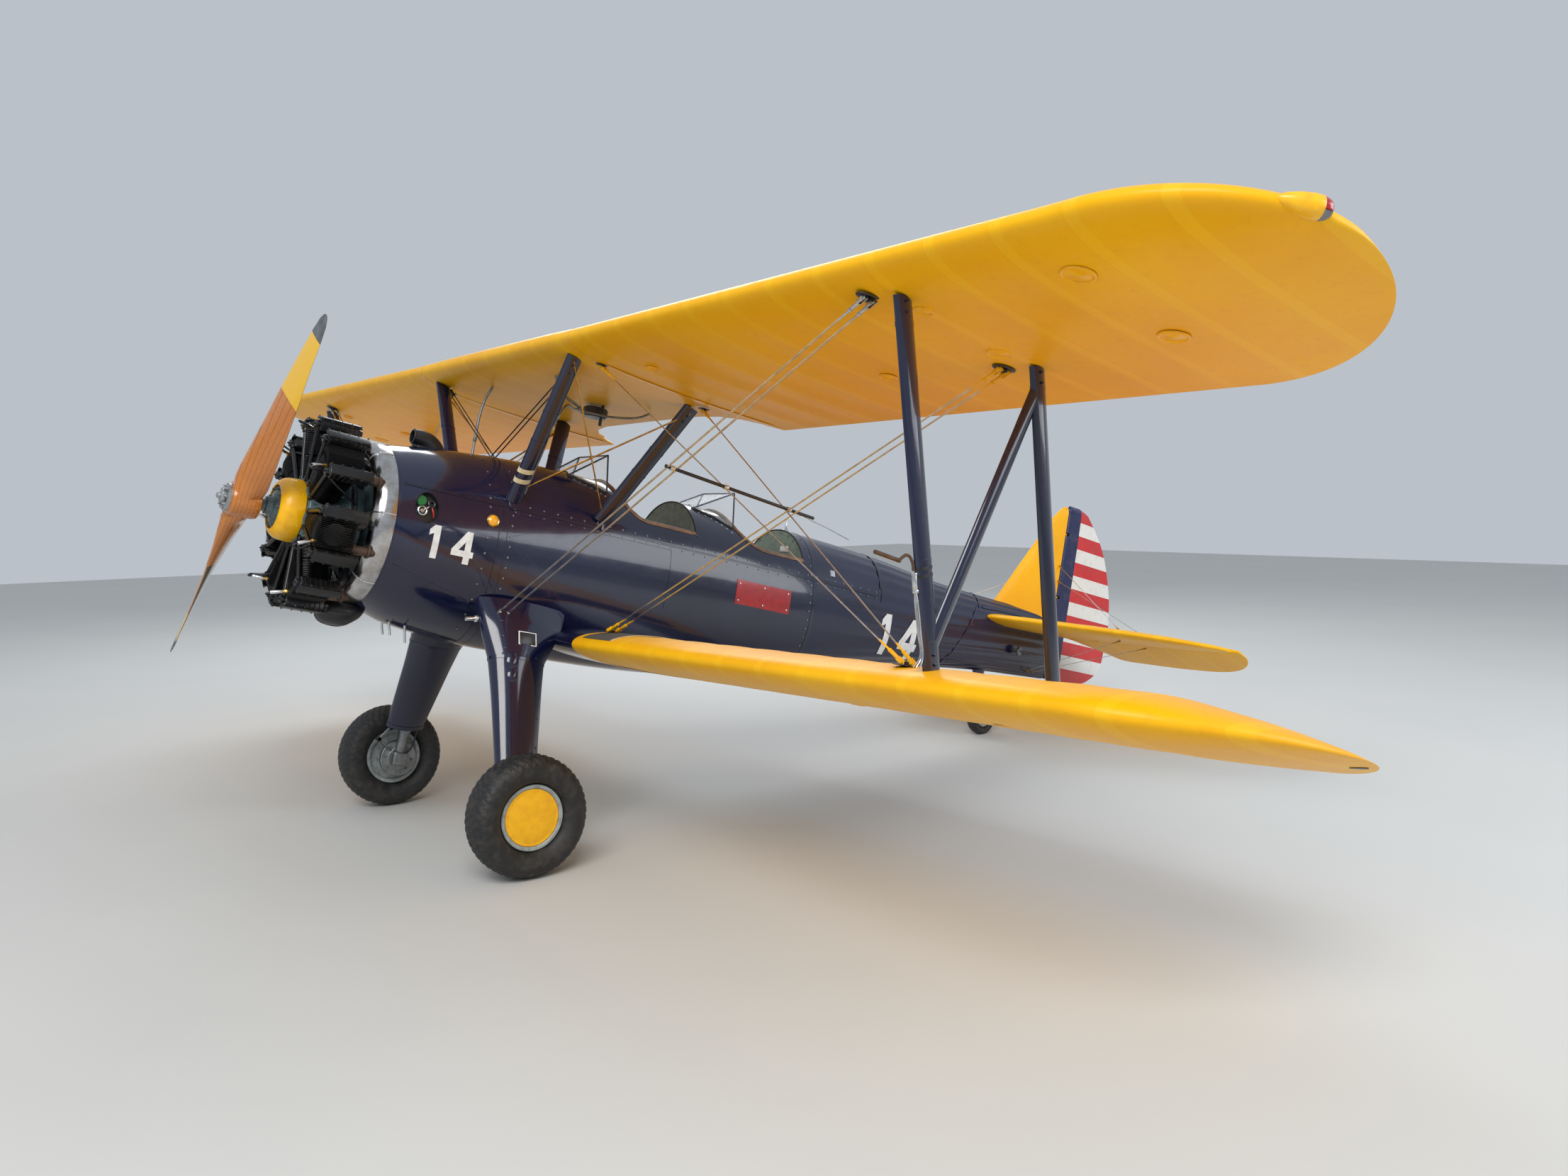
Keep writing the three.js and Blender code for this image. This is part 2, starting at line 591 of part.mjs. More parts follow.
// N-shaped interplane struts
function interplaneStruts() {
  const upper = ["front", "rear"].map((end) => shifted(underUpper(STRUT_X, STRUT_UPPER[end]), 0, 0, 40));
  const lower = ["front", "rear"].map((end) => shifted(topLower(STRUT_X, STRUT_LOWER[end]), 0, 0, -40));
  return join(
    strut(lower[0], upper[0], 92, 38),
    strut(lower[1], upper[1], 92, 38),
    strut(lower[0].clone().lerp(upper[0], 0.06), lower[1].clone().lerp(upper[1], 0.94), 70, 32),
  );
}
const underUpperSkin = upperSkin.clone().translate(0, 0, -GAP);
const overLowerSkin = lowerSkin.clone().translate(0, 0, GAP);
addPair("interplane_strut", interplaneStruts(), NAVY, underUpperSkin, overLowerSkin);

// Paired bracing wires, each pair joined by a fork at both ends
const WIRE_OUTLINE = [[-0.5, 0], [0, 0.5], [0.5, 0], [0, -0.5]];
const WIRE = { chord: 14, thickness: 7 };
function wirePair(from, to, first, second) {
  const wires = [-1, 1].map((side) => {
    const [start, end] = [shifted(from, 0, (side * first) / 2, 0), shifted(to, 0, (side * second) / 2, 0)];
    return strut(start, end, WIRE.chord, WIRE.thickness, WIRE.chord, WIRE.thickness, WIRE_OUTLINE);
  });
  const reach = (spread) => spread / 2 + 8;
  const bar = (at, spread) => rod(shifted(at, 0, -reach(spread), 0), shifted(at, 0, reach(spread), 0), 8, 6);
  return join(...wires, bar(from, first), bar(to, second));
}
const GEAR_FITTING = vec(430, 1330, -372); // on the fuselage below the front centre strut
const ROOT_FITTING = shifted(topLower(800, 0.13), 0, 0, 4);
const FRONT_STRUT_FITTING = shifted(underUpper(3206, 0.108), 0, 0, -4);
const REAR_STRUT_FITTING = shifted(underUpper(3200, 0.645), 0, 0, -4);
const strutFoot = (x, share) => shifted(topLower(x, share), 0, 0, 4);
const underCentre = (x, share) => shifted(underUpper(x, share), 0, 0, -4);
const WIRES = [
  // name, one end, the other end, distance between the two wires at each end
  ["flying_wire_front", GEAR_FITTING, FRONT_STRUT_FITTING, 50, 50],
  ["flying_wire_rear", ROOT_FITTING, REAR_STRUT_FITTING, 50, 50],
];
const wingSkins = [
  underUpperSkin, overLowerSkin, centreSkin.clone().translate(0, 0, -GAP),
  fuselageSkin, join(shoulderRoom, mirrored(shoulderRoom)),
];
WIRES.forEach(([name, from, to, first, second]) => {
  addPair(name, wirePair(from, to, first, second), STEEL, ...wingSkins);
});

// Landing wires: two single wires that part towards the centre section, held together by a foot at the strut
function landingWires() {
  const feet = [strutFoot(3160, 0.118), strutFoot(3222, 0.118)];
  const tops = [underCentre(1000, 0.165), underCentre(896, 0.66)];
  const wires = feet.map((foot, i) =>
    strut(foot, tops[i], WIRE.chord, WIRE.thickness, WIRE.chord, WIRE.thickness, WIRE_OUTLINE));
  const bar = rod(shifted(feet[0], -30, 0, 0), shifted(feet[1], 30, 0, 0), 8, 6);
  return join(...wires, bar);
}
addPair("landing_wire", landingWires(), STEEL, ...wingSkins);

// Engine: crankcase, finned cylinders with rocker boxes and exhaust stubs, and the propeller shaft
function engine() {
  const middle = vec(0, 0, 0);
  const aft = vec(0, 1, 0);
  const CRANKCASE = [
    // radius, y
    [0, 60], [30, 60], [30, 96], [62, 100], [62, 118], [48, 122], [50, 150], [120, 175], [120, 283.6],
    [176, 286], [182, 300], [182, 440], [262, 480], [262, 560], [140, 600], [325, 645], [325, 659], [0, 659],
  ];
  const crankcase = turned(CRANKCASE, middle, aft, 24);
  const pieces = [crankcase];
  for (let i = 0; i < ENGINE.cylinders; i++) {
    const angle = (2 * Math.PI * i) / ENGINE.cylinders;
    pieces.push(cylinder(angle));
  }
  return join(...pieces);
}

function radial(angle, radius, y, across = 0) {
  return vec(
    radius * Math.sin(angle) + across * Math.cos(angle), y,
    radius * Math.cos(angle) - across * Math.sin(angle),
  );
}

const BARREL = [
  // radius, distance from the thrust line
  [0, 166], [66, 166], [66, 196], [58, 200], [80, 222], [60, 244], [82, 266], [64, 290],
  [88, 318], [70, 342], [96, 366], [98, 424], [84, 470], [0, 478],
];

function cylinder(angle) {
  const barrel = turned(BARREL, vec(0, ENGINE.centreY, 0), radial(angle, 1, 0), 12);
  const boxes = [-1, 1].map((side) => {
    const tilt = angle + side * degrees(ENGINE.rockerAngle);
    const rocker = new THREE.BoxGeometry(62, 232, 74).translate(0, ENGINE.centreY + 20, ENGINE.reach);
    return rocker.applyMatrix4(new THREE.Matrix4().makeRotationY(tilt));
  });
  const pushrods = [-1, 1].map((side) => {
    const tilt = angle + side * degrees(ENGINE.rockerAngle);
    return rod(radial(tilt, 174, ENGINE.centreY - 68), radial(tilt, 480, ENGINE.centreY - 88), 9, 5);
  });
  const firstEnd = radial(angle, 430, ENGINE.centreY + 40, 60);
  const stubEnds = [firstEnd, radial(angle, 418, ENGINE.centreY + 196, 64)];
  const stub = rod(...stubEnds, 28, 8);
  return join(barrel, ...boxes, ...pushrods, stub);
}
add("engine", engine(), BLACK);
add("nose_dome", turned(
  [[121, 163], [140, 168], [166, 200], [172, 282], [163, 282], [157, 206], [121, 176], [121, 163]],
  vec(0, 0, 0), vec(0, 1, 0), 28,
), YELLOW);

const RING_PROFILE = [
  [330, 598], [372, 556], [388, 548], [420, 556], [444, 584], [455, 626], [455, 660], [400, 660],
  [330, 640], [330, 598],
];
const ringBody = turned(RING_PROFILE, vec(0, 0, RING.z), vec(0, 1, 0), 24);
add("exhaust_ring", cut(ringBody, engineClearance()), STEEL);

// Room for the exhaust stubs where they enter the ring
function engineClearance() {
  const stubs = Array.from({ length: ENGINE.cylinders }, (_, i) => {
    const angle = (2 * Math.PI * i) / ENGINE.cylinders;
    const ends = [radial(angle, 430, ENGINE.centreY + 40, 60), radial(angle, 418, ENGINE.centreY + 200, 64)];
    return rod(...ends, 29, 8);
  });
  return join(...stubs);
}

// The carburettor's air scoop: a rounded bulb under the ring
const SCOOP = [
  // y, half width, half height, middle z
  [478, 22, 18, -500],
  [494, 60, 50, -500],
  [530, 88, 72, -498],
  [590, 102, 80, -497],
  [650, 96, 74, -492],
  [705, 76, 50, -478],
  [725, 60, 30, -470],
];
function ovalRing(count, place) {
  return Array.from({ length: count }, (_, i) => {
    const angle = (2 * Math.PI * i) / count;
    return place(Math.cos(angle), Math.sin(angle));
  });
}
const scoopRing = ([y, w, h, z]) => ovalRing(16, (across, rise) => vec(w * across, y, z + h * rise));
const scoopBody = loft(SCOOP.map(scoopRing));
const ringRoom = turned(RING_PROFILE.map(([r, y]) => [r + GAP, y]), vec(0, 0, RING.z), vec(0, 1, 0), 24);
add("air_scoop", cut(scoopBody, fuselageSkin, ringRoom), BLACK);

// The vent horn on the cowl: its mouth looks forward, and it bends down into the deck
const HORN = [
  // y, z, radius, lean back in degrees
  [832, 556, 42, 0],
  [875, 556, 46, 0],
  [925, 544, 50, 22],
  [962, 516, 53, 48],
  [982, 480, 54, 75],
  [986, 430, 54, 85],
];
const HORN_MOUTH = { radius: 34, depth: 50 };
function ventHorn() {
  const rings = HORN.map(([y, z, r, lean]) => ovalRing(14, (across, rise) =>
    vec(r * across, y + r * rise * Math.sin(degrees(lean)), z + r * rise * Math.cos(degrees(lean)))));
  const [[mouthY, mouthZ]] = HORN;
  const mouth = turned(
    [[0, -1], [HORN_MOUTH.radius, -1], [HORN_MOUTH.radius - 5, HORN_MOUTH.depth], [0, HORN_MOUTH.depth]],
    vec(0, mouthY, mouthZ), vec(0, 1, 0), 14,
  );
  const foot = box(-26, 26, 828, 975, 440, 540);
  return cut(join(loft(rings), foot), mouth, fuselageSkin);
}
add("vent_horn", ventHorn(), BLACK);

// Propeller: two wooden blades on one boss, whose middle lies a little aft of the spinning plane
const bossFront = -62;
const bossRear = 88 - GAP;
const BLADE = [
  // radius, chord, thickness, pitch in degrees, how far aft the middle of the chord lies
  [40, 150, 120, 62, 13],
  [90, 168, 100, 56, 13],
  [150, 184, 78, 50, 13],
  [300, 188, 52, 38, 12],
  [500, 184, 33, 28, 9],
  [750, 172, 21, 20.5, 4],
  [980, 134, 14, 16, 0],
  [1120, 104, 10, 14.5, 0],
  [1200, 74, 8, 14, 0],
  [1235, 40, 6, 13.5, 0],
  [1243, 18, 4, 13.5, 0],
];
function blade(turn) {
  const out = radial(turn, 1, 0);
  const ahead = vec(-Math.cos(turn), 0, Math.sin(turn));
  return loft(BLADE.map(([radius, chord, thickness, pitch, aft]) => {
    const b = degrees(pitch);
    const lead = ahead.clone().multiplyScalar(Math.cos(b)).add(vec(0, -Math.sin(b), 0));
    const face = out.clone().cross(lead);
    const centre = out.clone().multiplyScalar(radius).add(vec(0, aft, 0));
    const placed = ([u, v]) => {
      const onChord = centre.clone().addScaledVector(lead, -u * chord);
      return onChord.addScaledVector(face, v * thickness);
    };
    return STREAMLINE.map(placed);
  }));
}
const bossProfile = [
  [31, bossFront], [84, bossFront], [92, -40], [92, 66], [84, bossRear], [31, bossRear], [31, bossFront],
];
const boss = turned(bossProfile,
  vec(0, 0, 0), vec(0, 1, 0), 20);
const shaftRoom = join(
  rod(vec(0, -200, 0), vec(0, 200, 0), 31, 20),
  rod(vec(0, -200, 0), vec(0, bossFront, 0), 78, 20),
  rod(vec(0, bossRear, 0), vec(0, 200, 0), 90, 20),
);
add("propeller", cut(join(blade(BLADE_ANGLE), blade(BLADE_ANGLE + Math.PI), boss), shaftRoom), WOOD);

function propellerHub() {
  const seat = bossFront - GAP;
  const plate = [
    [0, -122], [14, -122], [16, -106], [30, -100], [30, -80], [74, -80], [74, seat], [30.5, seat],
    [30.5, 59], [0, 59],
  ];
  const bolts = Array.from({ length: 8 }, (_, i) => {
    const at = radial((2 * Math.PI * i) / 8, 56, -92);
    return rod(at, shifted(at, 0, 20, 0), 9, 5);
  });
  return join(turned(plate, vec(0, 0, 0), vec(0, 1, 0), 20), ...bolts);
}
add("propeller_hub", propellerHub(), STEEL);

// Fin and rudder: stacked level sections
const FIN = [
  // z, leading edge y
  [380, 5840],
  [473, 5904],
  [800, 6132],
  [1065, 6320],
  [1251, 6449],
  [1371, 6558],
  [1415, 6618],
];
const finEnd = HINGE_LINE.rudder - 34;
const plateRing = (z, front, rear, frontHalf, rearHalf) => {
  const [early, late] = [front + 0.08 * (rear - front), front + 0.35 * (rear - front)];
  const half = [[0, front], [frontHalf * 0.7, early], [frontHalf, late], [rearHalf, rear]];
  const other = half.slice(1).reverse().map(([x, y]) => [-x, y]);
  return [...half, ...other].map(([x, y]) => vec(x, y, z));
};
const RUDDER_EYES = [80, 620, 1180];
const up = vec(0, 0, 1);
function finBody() {
  const halfAt = (front) => Math.min(34, 10 + (finEnd - front) * 0.06);
  const plate = loft(FIN.map(([z, front]) => plateRing(z, front, finEnd, halfAt(front), 28)));
  return cut(plate, fuselageSkin);
}
const RUDDER = [
  // z, trailing edge y
  [-100, 6930],
  [-83, 7188],
  [-16, 7332],
  [63, 7415],
  [150, 7454],
  [492, 7473],
  [748, 7420],
  [1016, 7302],
  [1161, 7205],
  [1276, 7095],
  [1405, 6943],
  [1436, 6810],
];
function eyeAt(z) {
  const eye = rod(rudderHinge(z - 8), rudderHinge(z + 8), PIN.eye, 8);
  const arm = box(-9, 9, finEnd - 30, HINGE_LINE.rudder, z - 8, z + 8);
  return join(eye, arm);
}
function rudderBody() {
  const ring = (z, rear) => {
    const y0 = HINGE_LINE.rudder;
    return [
      vec(8, y0, z), vec(28, y0 + 4, z), vec(30, y0 + 60, z), vec(5, rear, z),
      vec(-5, rear, z), vec(-30, y0 + 60, z), vec(-28, y0 + 4, z), vec(-8, y0, z),
    ];
  };
  const plate = loft(RUDDER.map(([z, rear]) => ring(z, rear)));
  const nose = rod(rudderHinge(RUDDER[0][0]), rudderHinge(RUDDER[RUDDER.length - 1][0]), 24, 12);
  const [slotFront, slotRear] = [HINGE_LINE.rudder - 60, HINGE_LINE.rudder + 20];
  const slots = RUDDER_EYES.map((z) => box(-60, 60, slotFront, slotRear, z - 14, z + 14));
  const pinAt = (z) => rod(rudderHinge(z - PIN.reach), rudderHinge(z + PIN.reach), PIN.radius);
  const pins = RUDDER_EYES.map(pinAt);
  return join(cut(join(plate, nose), ...slots), ...pins);
}
const rudderHinge = (z) => vec(0, HINGE_LINE.rudder, z);
const holesFor = (heights) => heights.map((z) => rod(rudderHinge(z - 30), rudderHinge(z + 30), PIN.hole, 12));
const finWithEyes = join(finBody(), eyeAt(RUDDER_EYES[1]), eyeAt(RUDDER_EYES[2]));
add("fin", cut(finWithEyes, ...holesFor(RUDDER_EYES)), YELLOW);
add("rudder", rudderBody(), RUDDER_RED);
const rearFuselage = aeroplane.getObjectByName("fuselage_rear");
const withLowEye = join(rearFuselage.geometry, eyeAt(RUDDER_EYES[0]));
rearFuselage.geometry = cut(withLowEye, ...holesFor([RUDDER_EYES[0]]));

// Tailplane and elevators
const TAILPLANE = [
  // x, leading edge y, half thickness
  [20, 5666, 46],
  [500, 5815, 44],
  [1000, 5985, 40],
  [1320, 6135, 34],
  [1540, 6300, 26],
  [1680, 6470, 18],
  [1740, 6590, 12],
];
const tailEnd = HINGE_LINE.elevator - 40;
const TAIL_Z = HINGE_LINE.elevatorZ;
function levelRing(x, front, rear, half, rearHalf) {
  const nose = [[0, 0], [0.06, 0.6], [0.3, 1]];
  const placed = (way) => ([u, v]) => vec(x, lerp(front, rear, u), TAIL_Z + way * v * half);
  return nose.map(placed(1)).concat(
    [vec(x, rear, TAIL_Z + rearHalf), vec(x, rear, TAIL_Z - rearHalf)],
    nose.slice(1).reverse().map(placed(-1)),
  );
}
const ELEVATOR_EYES = [480, 1380];
const tailHinge = (x) => vec(x, HINGE_LINE.elevator, TAIL_Z);
function tailplane() {
  const ring = ([x, front, half]) => levelRing(x, front, tailEnd, half, Math.min(half, 30));
  const plate = loft(TAILPLANE.map(ring));
  const eyes = ELEVATOR_EYES.map((x) => join(
    rod(tailHinge(x - 7), tailHinge(x + 7), PIN.eye, 8),
    box(x - 7, x + 7, tailEnd - 30, HINGE_LINE.elevator, TAIL_Z - 9, TAIL_Z + 9),
  ));
  const holes = ELEVATOR_EYES.map((x) => rod(tailHinge(x - 30), tailHinge(x + 30), PIN.hole, 12));
  return cut(join(plate, ...eyes), ...holes);
}
addPair("tailplane", tailplane(), YELLOW, fuselageSkin);

const ELEVATOR = [
  // x, trailing edge y, half thickness at the hinge
  [125, 6790, 28],
  [440, 7205, 28],
  [1000, 7235, 28],
  [1350, 7205, 26],
  [1560, 7120, 22],
  [1700, 6990, 16],
  [1770, 6860, 11],
  [1785, 6790, 8],
];
function elevator() {
  const y0 = HINGE_LINE.elevator;
  const plate = loft(ELEVATOR.map(([x, rear, half]) => [
    vec(x, y0, TAIL_Z + half), vec(x, rear, TAIL_Z + 4), vec(x, rear, TAIL_Z - 4), vec(x, y0, TAIL_Z - half),
  ]));
  const nose = rod(tailHinge(125), tailHinge(1560), 26, 12);
  const slots = ELEVATOR_EYES.map((x) => box(x - 13, x + 13, y0 - 60, y0 + 20, TAIL_Z - 60, TAIL_Z + 60));
  const pins = ELEVATOR_EYES.map((x) => rod(tailHinge(x - PIN.reach), tailHinge(x + PIN.reach), PIN.radius));
  const body = join(cut(join(plate, nose), ...slots), ...pins);
  const droop = new THREE.Matrix4().makeTranslation(0, y0, TAIL_Z)
    .multiply(new THREE.Matrix4().makeRotationX(-degrees(ELEVATOR_DROOP)))
    .multiply(new THREE.Matrix4().makeTranslation(0, -y0, -TAIL_Z));
  return cleaned(body).applyMatrix4(droop);
}
addPair("elevator", elevator(), YELLOW);

// Tail wheel: a bracket under the fuselage, a steered fork and the wheel in it
const tilt = degrees(GROUND_ANGLE);
const floorZ = (y, height) =>
  MAIN_WHEEL.z + ((y - MAIN_WHEEL.y) * Math.sin(tilt) + height - MAIN_WHEEL.radius) / Math.cos(tilt);
const tailWheelZ = floorZ(TAIL_WHEEL.y, TAIL_WHEEL.radius);
const postTop = vec(0, TAIL_WHEEL.post, -150);
const postFoot = postTop.clone().addScaledVector(up, -120);
const SPINDLE = { radius: 16, hole: 16.9, depth: 60 };
add("tail_wheel_bracket", cut(
  strut(vec(0, TAIL_WHEEL.post, -100), postFoot, 130, 90, 96, 80),
  fuselageSkin,
  rod(shifted(postFoot, 0, 0, -1), shifted(postFoot, 0, 0, SPINDLE.depth), SPINDLE.hole, 16),
), NAVY);
function tailFork() {
  const crown = shifted(postFoot, 0, 0, -GAP);
  const spindle = rod(shifted(crown, 0, 0, -30), shifted(crown, 0, 0, SPINDLE.depth - 5), SPINDLE.radius, 12);
  const head = rod(shifted(crown, 0, 0, -34), crown, 46, 14);
  const fromTop = (side) => vec(side * 58, TAIL_WHEEL.post + 10, crown.z - 22);
  const toAxle = (side) => vec(side * 58, TAIL_WHEEL.y, tailWheelZ);
  const arms = [-1, 1].map((side) => strut(fromTop(side), toAxle(side), 60, 14, 44, 12));
  const cross = box(-62, 62, TAIL_WHEEL.post - 18, TAIL_WHEEL.post + 36, crown.z - 34, crown.z - 12);
  const pin = rod(vec(-66, TAIL_WHEEL.y, tailWheelZ), vec(66, TAIL_WHEEL.y, tailWheelZ), 9, 10);
  return join(spindle, head, cross, ...arms, pin);
}
add("tail_wheel_fork", tailFork(), STEEL);
const tailAxle = vec(0, TAIL_WHEEL.y, tailWheelZ);
const TAIL_HUB = [
  [9.5, -40], [24, -40], [26, -20], [60, -22], [66, -30], [70, -26], [70, 26], [66, 30],
  [60, 22], [26, 20], [24, 40], [9.5, 40], [9.5, -40],
];
add("tail_wheel_hub", turned(TAIL_HUB, tailAxle, vec(1, 0, 0), 16), WHEEL_GREY);
const tailTyre = tyreProfile(TAIL_WHEEL.radius, 70.4, TAIL_WHEEL.width);
add("tail_wheel_tyre", turned(tailTyre, tailAxle, vec(1, 0, 0), 16), TYRE);

// Set the aeroplane on the floor, centred on its own footprint
aeroplane.rotation.x = -tilt;
root.updateMatrixWorld(true);
const extent = new THREE.Box3().setFromObject(root, true);
const centre = extent.getCenter(vec(0, 0, 0));
aeroplane.position.set(0, -centre.y, -extent.min.z);

export default root;
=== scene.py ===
# %% [markdown]
# # A two-seat biplane, dressed for its portrait
# The solids of the aeroplane arrive as a fixed frame. This notebook puts the looks on it: doped fabric,
# gloss paint, a varnished propeller, an open radial engine, leather round the cockpits and the many small
# fittings. The frame gives every place, so nothing below is fitted by eye to the floor.

# %% Load the frame
import json
import math
import bmesh
import bpy
from mathutils import Euler, Matrix, Vector


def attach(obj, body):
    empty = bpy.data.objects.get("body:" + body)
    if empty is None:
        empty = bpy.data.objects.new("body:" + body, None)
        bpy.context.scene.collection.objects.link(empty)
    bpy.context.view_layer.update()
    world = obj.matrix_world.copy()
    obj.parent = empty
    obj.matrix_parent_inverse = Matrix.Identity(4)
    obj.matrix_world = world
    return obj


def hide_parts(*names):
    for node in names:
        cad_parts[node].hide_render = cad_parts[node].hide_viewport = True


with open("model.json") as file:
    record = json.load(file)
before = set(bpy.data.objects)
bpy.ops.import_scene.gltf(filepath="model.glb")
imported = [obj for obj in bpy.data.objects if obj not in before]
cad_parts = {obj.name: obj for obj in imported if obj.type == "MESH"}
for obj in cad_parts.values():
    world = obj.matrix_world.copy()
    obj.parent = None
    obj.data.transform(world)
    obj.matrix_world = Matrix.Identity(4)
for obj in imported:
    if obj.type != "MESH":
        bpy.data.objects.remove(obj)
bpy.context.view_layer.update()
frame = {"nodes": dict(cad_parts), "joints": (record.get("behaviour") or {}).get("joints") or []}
nodes = frame["nodes"]

# %% [markdown]
# The aeroplane stands nose up on its tail wheel, but it is easiest to think of it in flight. The
# propeller's joint gives the start and the direction of that level frame: x to port, y aft of the
# propeller, z up from the thrust line. Pieces are made level and set down at the end by one matrix.

# %% The level frame
joints = {joint["name"]: joint for joint in frame["joints"]}
HUB = Vector(joints["propeller_spin"]["pos_m"])
AFT = Vector(joints["propeller_spin"]["axis"]).normalized()
PORT = Vector((1, 0, 0))
UP = PORT.cross(AFT)
LEVEL = Matrix((
    (PORT.x, AFT.x, UP.x, HUB.x),
    (PORT.y, AFT.y, UP.y, HUB.y),
    (PORT.z, AFT.z, UP.z, HUB.z),
    (0, 0, 0, 1),
))
GROUND_ANGLE = math.asin(-AFT.z)
print("thrust line", round(math.degrees(GROUND_ANGLE), 2), "degrees above the floor")

# %% [markdown]
# Every piece below is made with the same few moves: start from a primitive or a line, select by place, use
# an operator, apply a modifier, then set the piece down and let it ride on its body. These helpers are
# those moves.

# %% Hand tools
def alone(obj):
    bpy.ops.object.select_all(action="DESELECT")
    obj.select_set(True)
    bpy.context.view_layer.objects.active = obj
    return obj

def start(kind, **settings):
    """A primitive, alone and selected."""
    bpy.ops.object.select_all(action="DESELECT")
    getattr(bpy.ops.mesh, f"primitive_{kind}_add")(**settings)
    return bpy.context.object

def pick(obj, what, test):
    """Opens the mesh with only the faces, edges or points selected that pass the test."""
    alone(obj)
    bpy.ops.object.mode_set(mode="EDIT")
    bpy.ops.mesh.select_mode(type=what)
    bpy.ops.mesh.select_all(action="DESELECT")
    mesh = bmesh.from_edit_mesh(obj.data)
    for part in {"FACE": mesh.faces, "EDGE": mesh.edges, "VERT": mesh.verts}[what]:
        if test(part):
            part.select_set(True)
    mesh.select_flush_mode()
    bmesh.update_edit_mesh(obj.data)

def close(obj):
    bpy.ops.object.mode_set(mode="OBJECT")
    return obj

def modified(obj, kind, **settings):
    """Adds one modifier and applies it."""
    alone(obj)
    modifier = obj.modifiers.new(kind.title(), kind)
    for key, value in settings.items():
        setattr(modifier, key, value)
    bpy.ops.object.modifier_apply(modifier=modifier.name)
    return obj
print("edit mode tools ready")

# %% [markdown]
# The same three things happen to every fitting: it is put in its place, copied, and joined to its like. The
# place goes into the mesh and never into the object, because a finished piece's object has to sit at the
# origin. A matrix that mirrors turns faces inside out, so the move turns them back. Two more tools merge
# doubles and turn faces outwards, and put an object's own place into its mesh.

# %% Move, copy and join
def moved(obj, matrix):
    obj.data.transform(matrix)
    if matrix.determinant() < 0:
        obj.data.flip_normals()
    return obj

def copy_of(obj, matrix=None):
    other = obj.copy()
    other.data = obj.data.copy()
    bpy.context.collection.objects.link(other)
    return moved(other, matrix) if matrix else other

def joined(*objects):
    """Several meshes made one object, the first one."""
    first = objects[0]
    bpy.ops.object.select_all(action="DESELECT")
    for obj in objects:
        obj.select_set(True)
    bpy.context.view_layer.objects.active = first
    if len(objects) > 1:
        bpy.ops.object.join()
    return first

def outward(obj, merge=1e-5):
    """Doubles merged first, then the faces turned out."""
    pick(obj, "VERT", lambda point: True)
    bpy.ops.mesh.remove_doubles(threshold=merge)
    bpy.ops.mesh.normals_make_consistent(inside=False)
    return close(obj)

def freed(obj):
    """Location, turn and scale go into the mesh."""
    alone(obj)
    bpy.ops.object.transform_apply(location=True, rotation=True, scale=True)
    return obj
print("moving tools ready")

# %% [markdown]
# Each finished piece passes through one function: it gets its name, its finish and its smooth shading, is
# turned from the level frame to the parked one, and is then put on the body that it moves with. Here too is
# the matrix that stands a fitting on a surface, and the angles of things that repeat round a shaft.

# %% Hand a piece in
total_faces = {}

def piece(obj, name, slot, finish, crease=35, body="airframe", level=True):
    """Sets a finished shape down: its name, finish, smoothing and the body it rides on. The slot is not used.
    """
    freed(obj)
    obj.name = obj.data.name = name
    if level:
        moved(obj, LEVEL)
    obj.data.materials.clear()
    for one in finish if isinstance(finish, (list, tuple)) else [finish]:
        obj.data.materials.append(one)
    alone(obj)
    if crease:
        bpy.ops.object.shade_smooth_by_angle(angle=math.radians(crease))
    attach(obj, body)
    total_faces[name] = len(obj.data.polygons)
    return obj

def aim(start_at, direction, roll=0.0):
    """A matrix that puts z along a direction, from a place."""
    turn = Vector(direction).to_track_quat("Z", "Y").to_matrix().to_4x4()
    return Matrix.Translation(Vector(start_at)) @ turn @ Matrix.Rotation(roll, 4, "Z")

def turns(count, shift=0.0):
    """Angles that share a full turn evenly, the first shifted by a part of the step."""
    return [2 * math.pi * (i + shift) / count for i in range(count)]

print("hand tools ready")

# %% [markdown]
# Three shapes come back all over an aeroplane: a turned part, a bent tube and a block with soft edges. A
# turned part is half a section spun round its axis; a tube is a line with a round bevel, made a mesh; a
# block is a cube with a bevel. Each is a short function, so a fitting further down is one readable line.

# %% Turned parts, tubes, blocks
def line_mesh(points, name="line"):
    """A bare line of points joined by edges, ready for spin or extrude."""
    obj = start("plane", size=1)
    pick(obj, "VERT", lambda point: True)
    bpy.ops.mesh.delete(type="VERT")
    mesh = bmesh.from_edit_mesh(obj.data)
    made = [mesh.verts.new(point) for point in points]
    for a, b in zip(made, made[1:]):
        mesh.edges.new((a, b))
    bmesh.update_edit_mesh(obj.data)
    close(obj)
    obj.name = name
    return obj

def turned(profile, at=(0, 0, 0), axis=(0, 0, 1), steps=32):
    """Profile pairs are (radius, distance along the axis), spun all the way round."""
    obj = line_mesh([(radius, 0, along) for radius, along in profile])
    pick(obj, "VERT", lambda point: True)
    bpy.ops.mesh.spin(steps=steps, angle=2 * math.pi, center=(0, 0, 0), axis=(0, 0, 1))
    close(obj)
    outward(obj)
    return moved(obj, aim(at, axis))

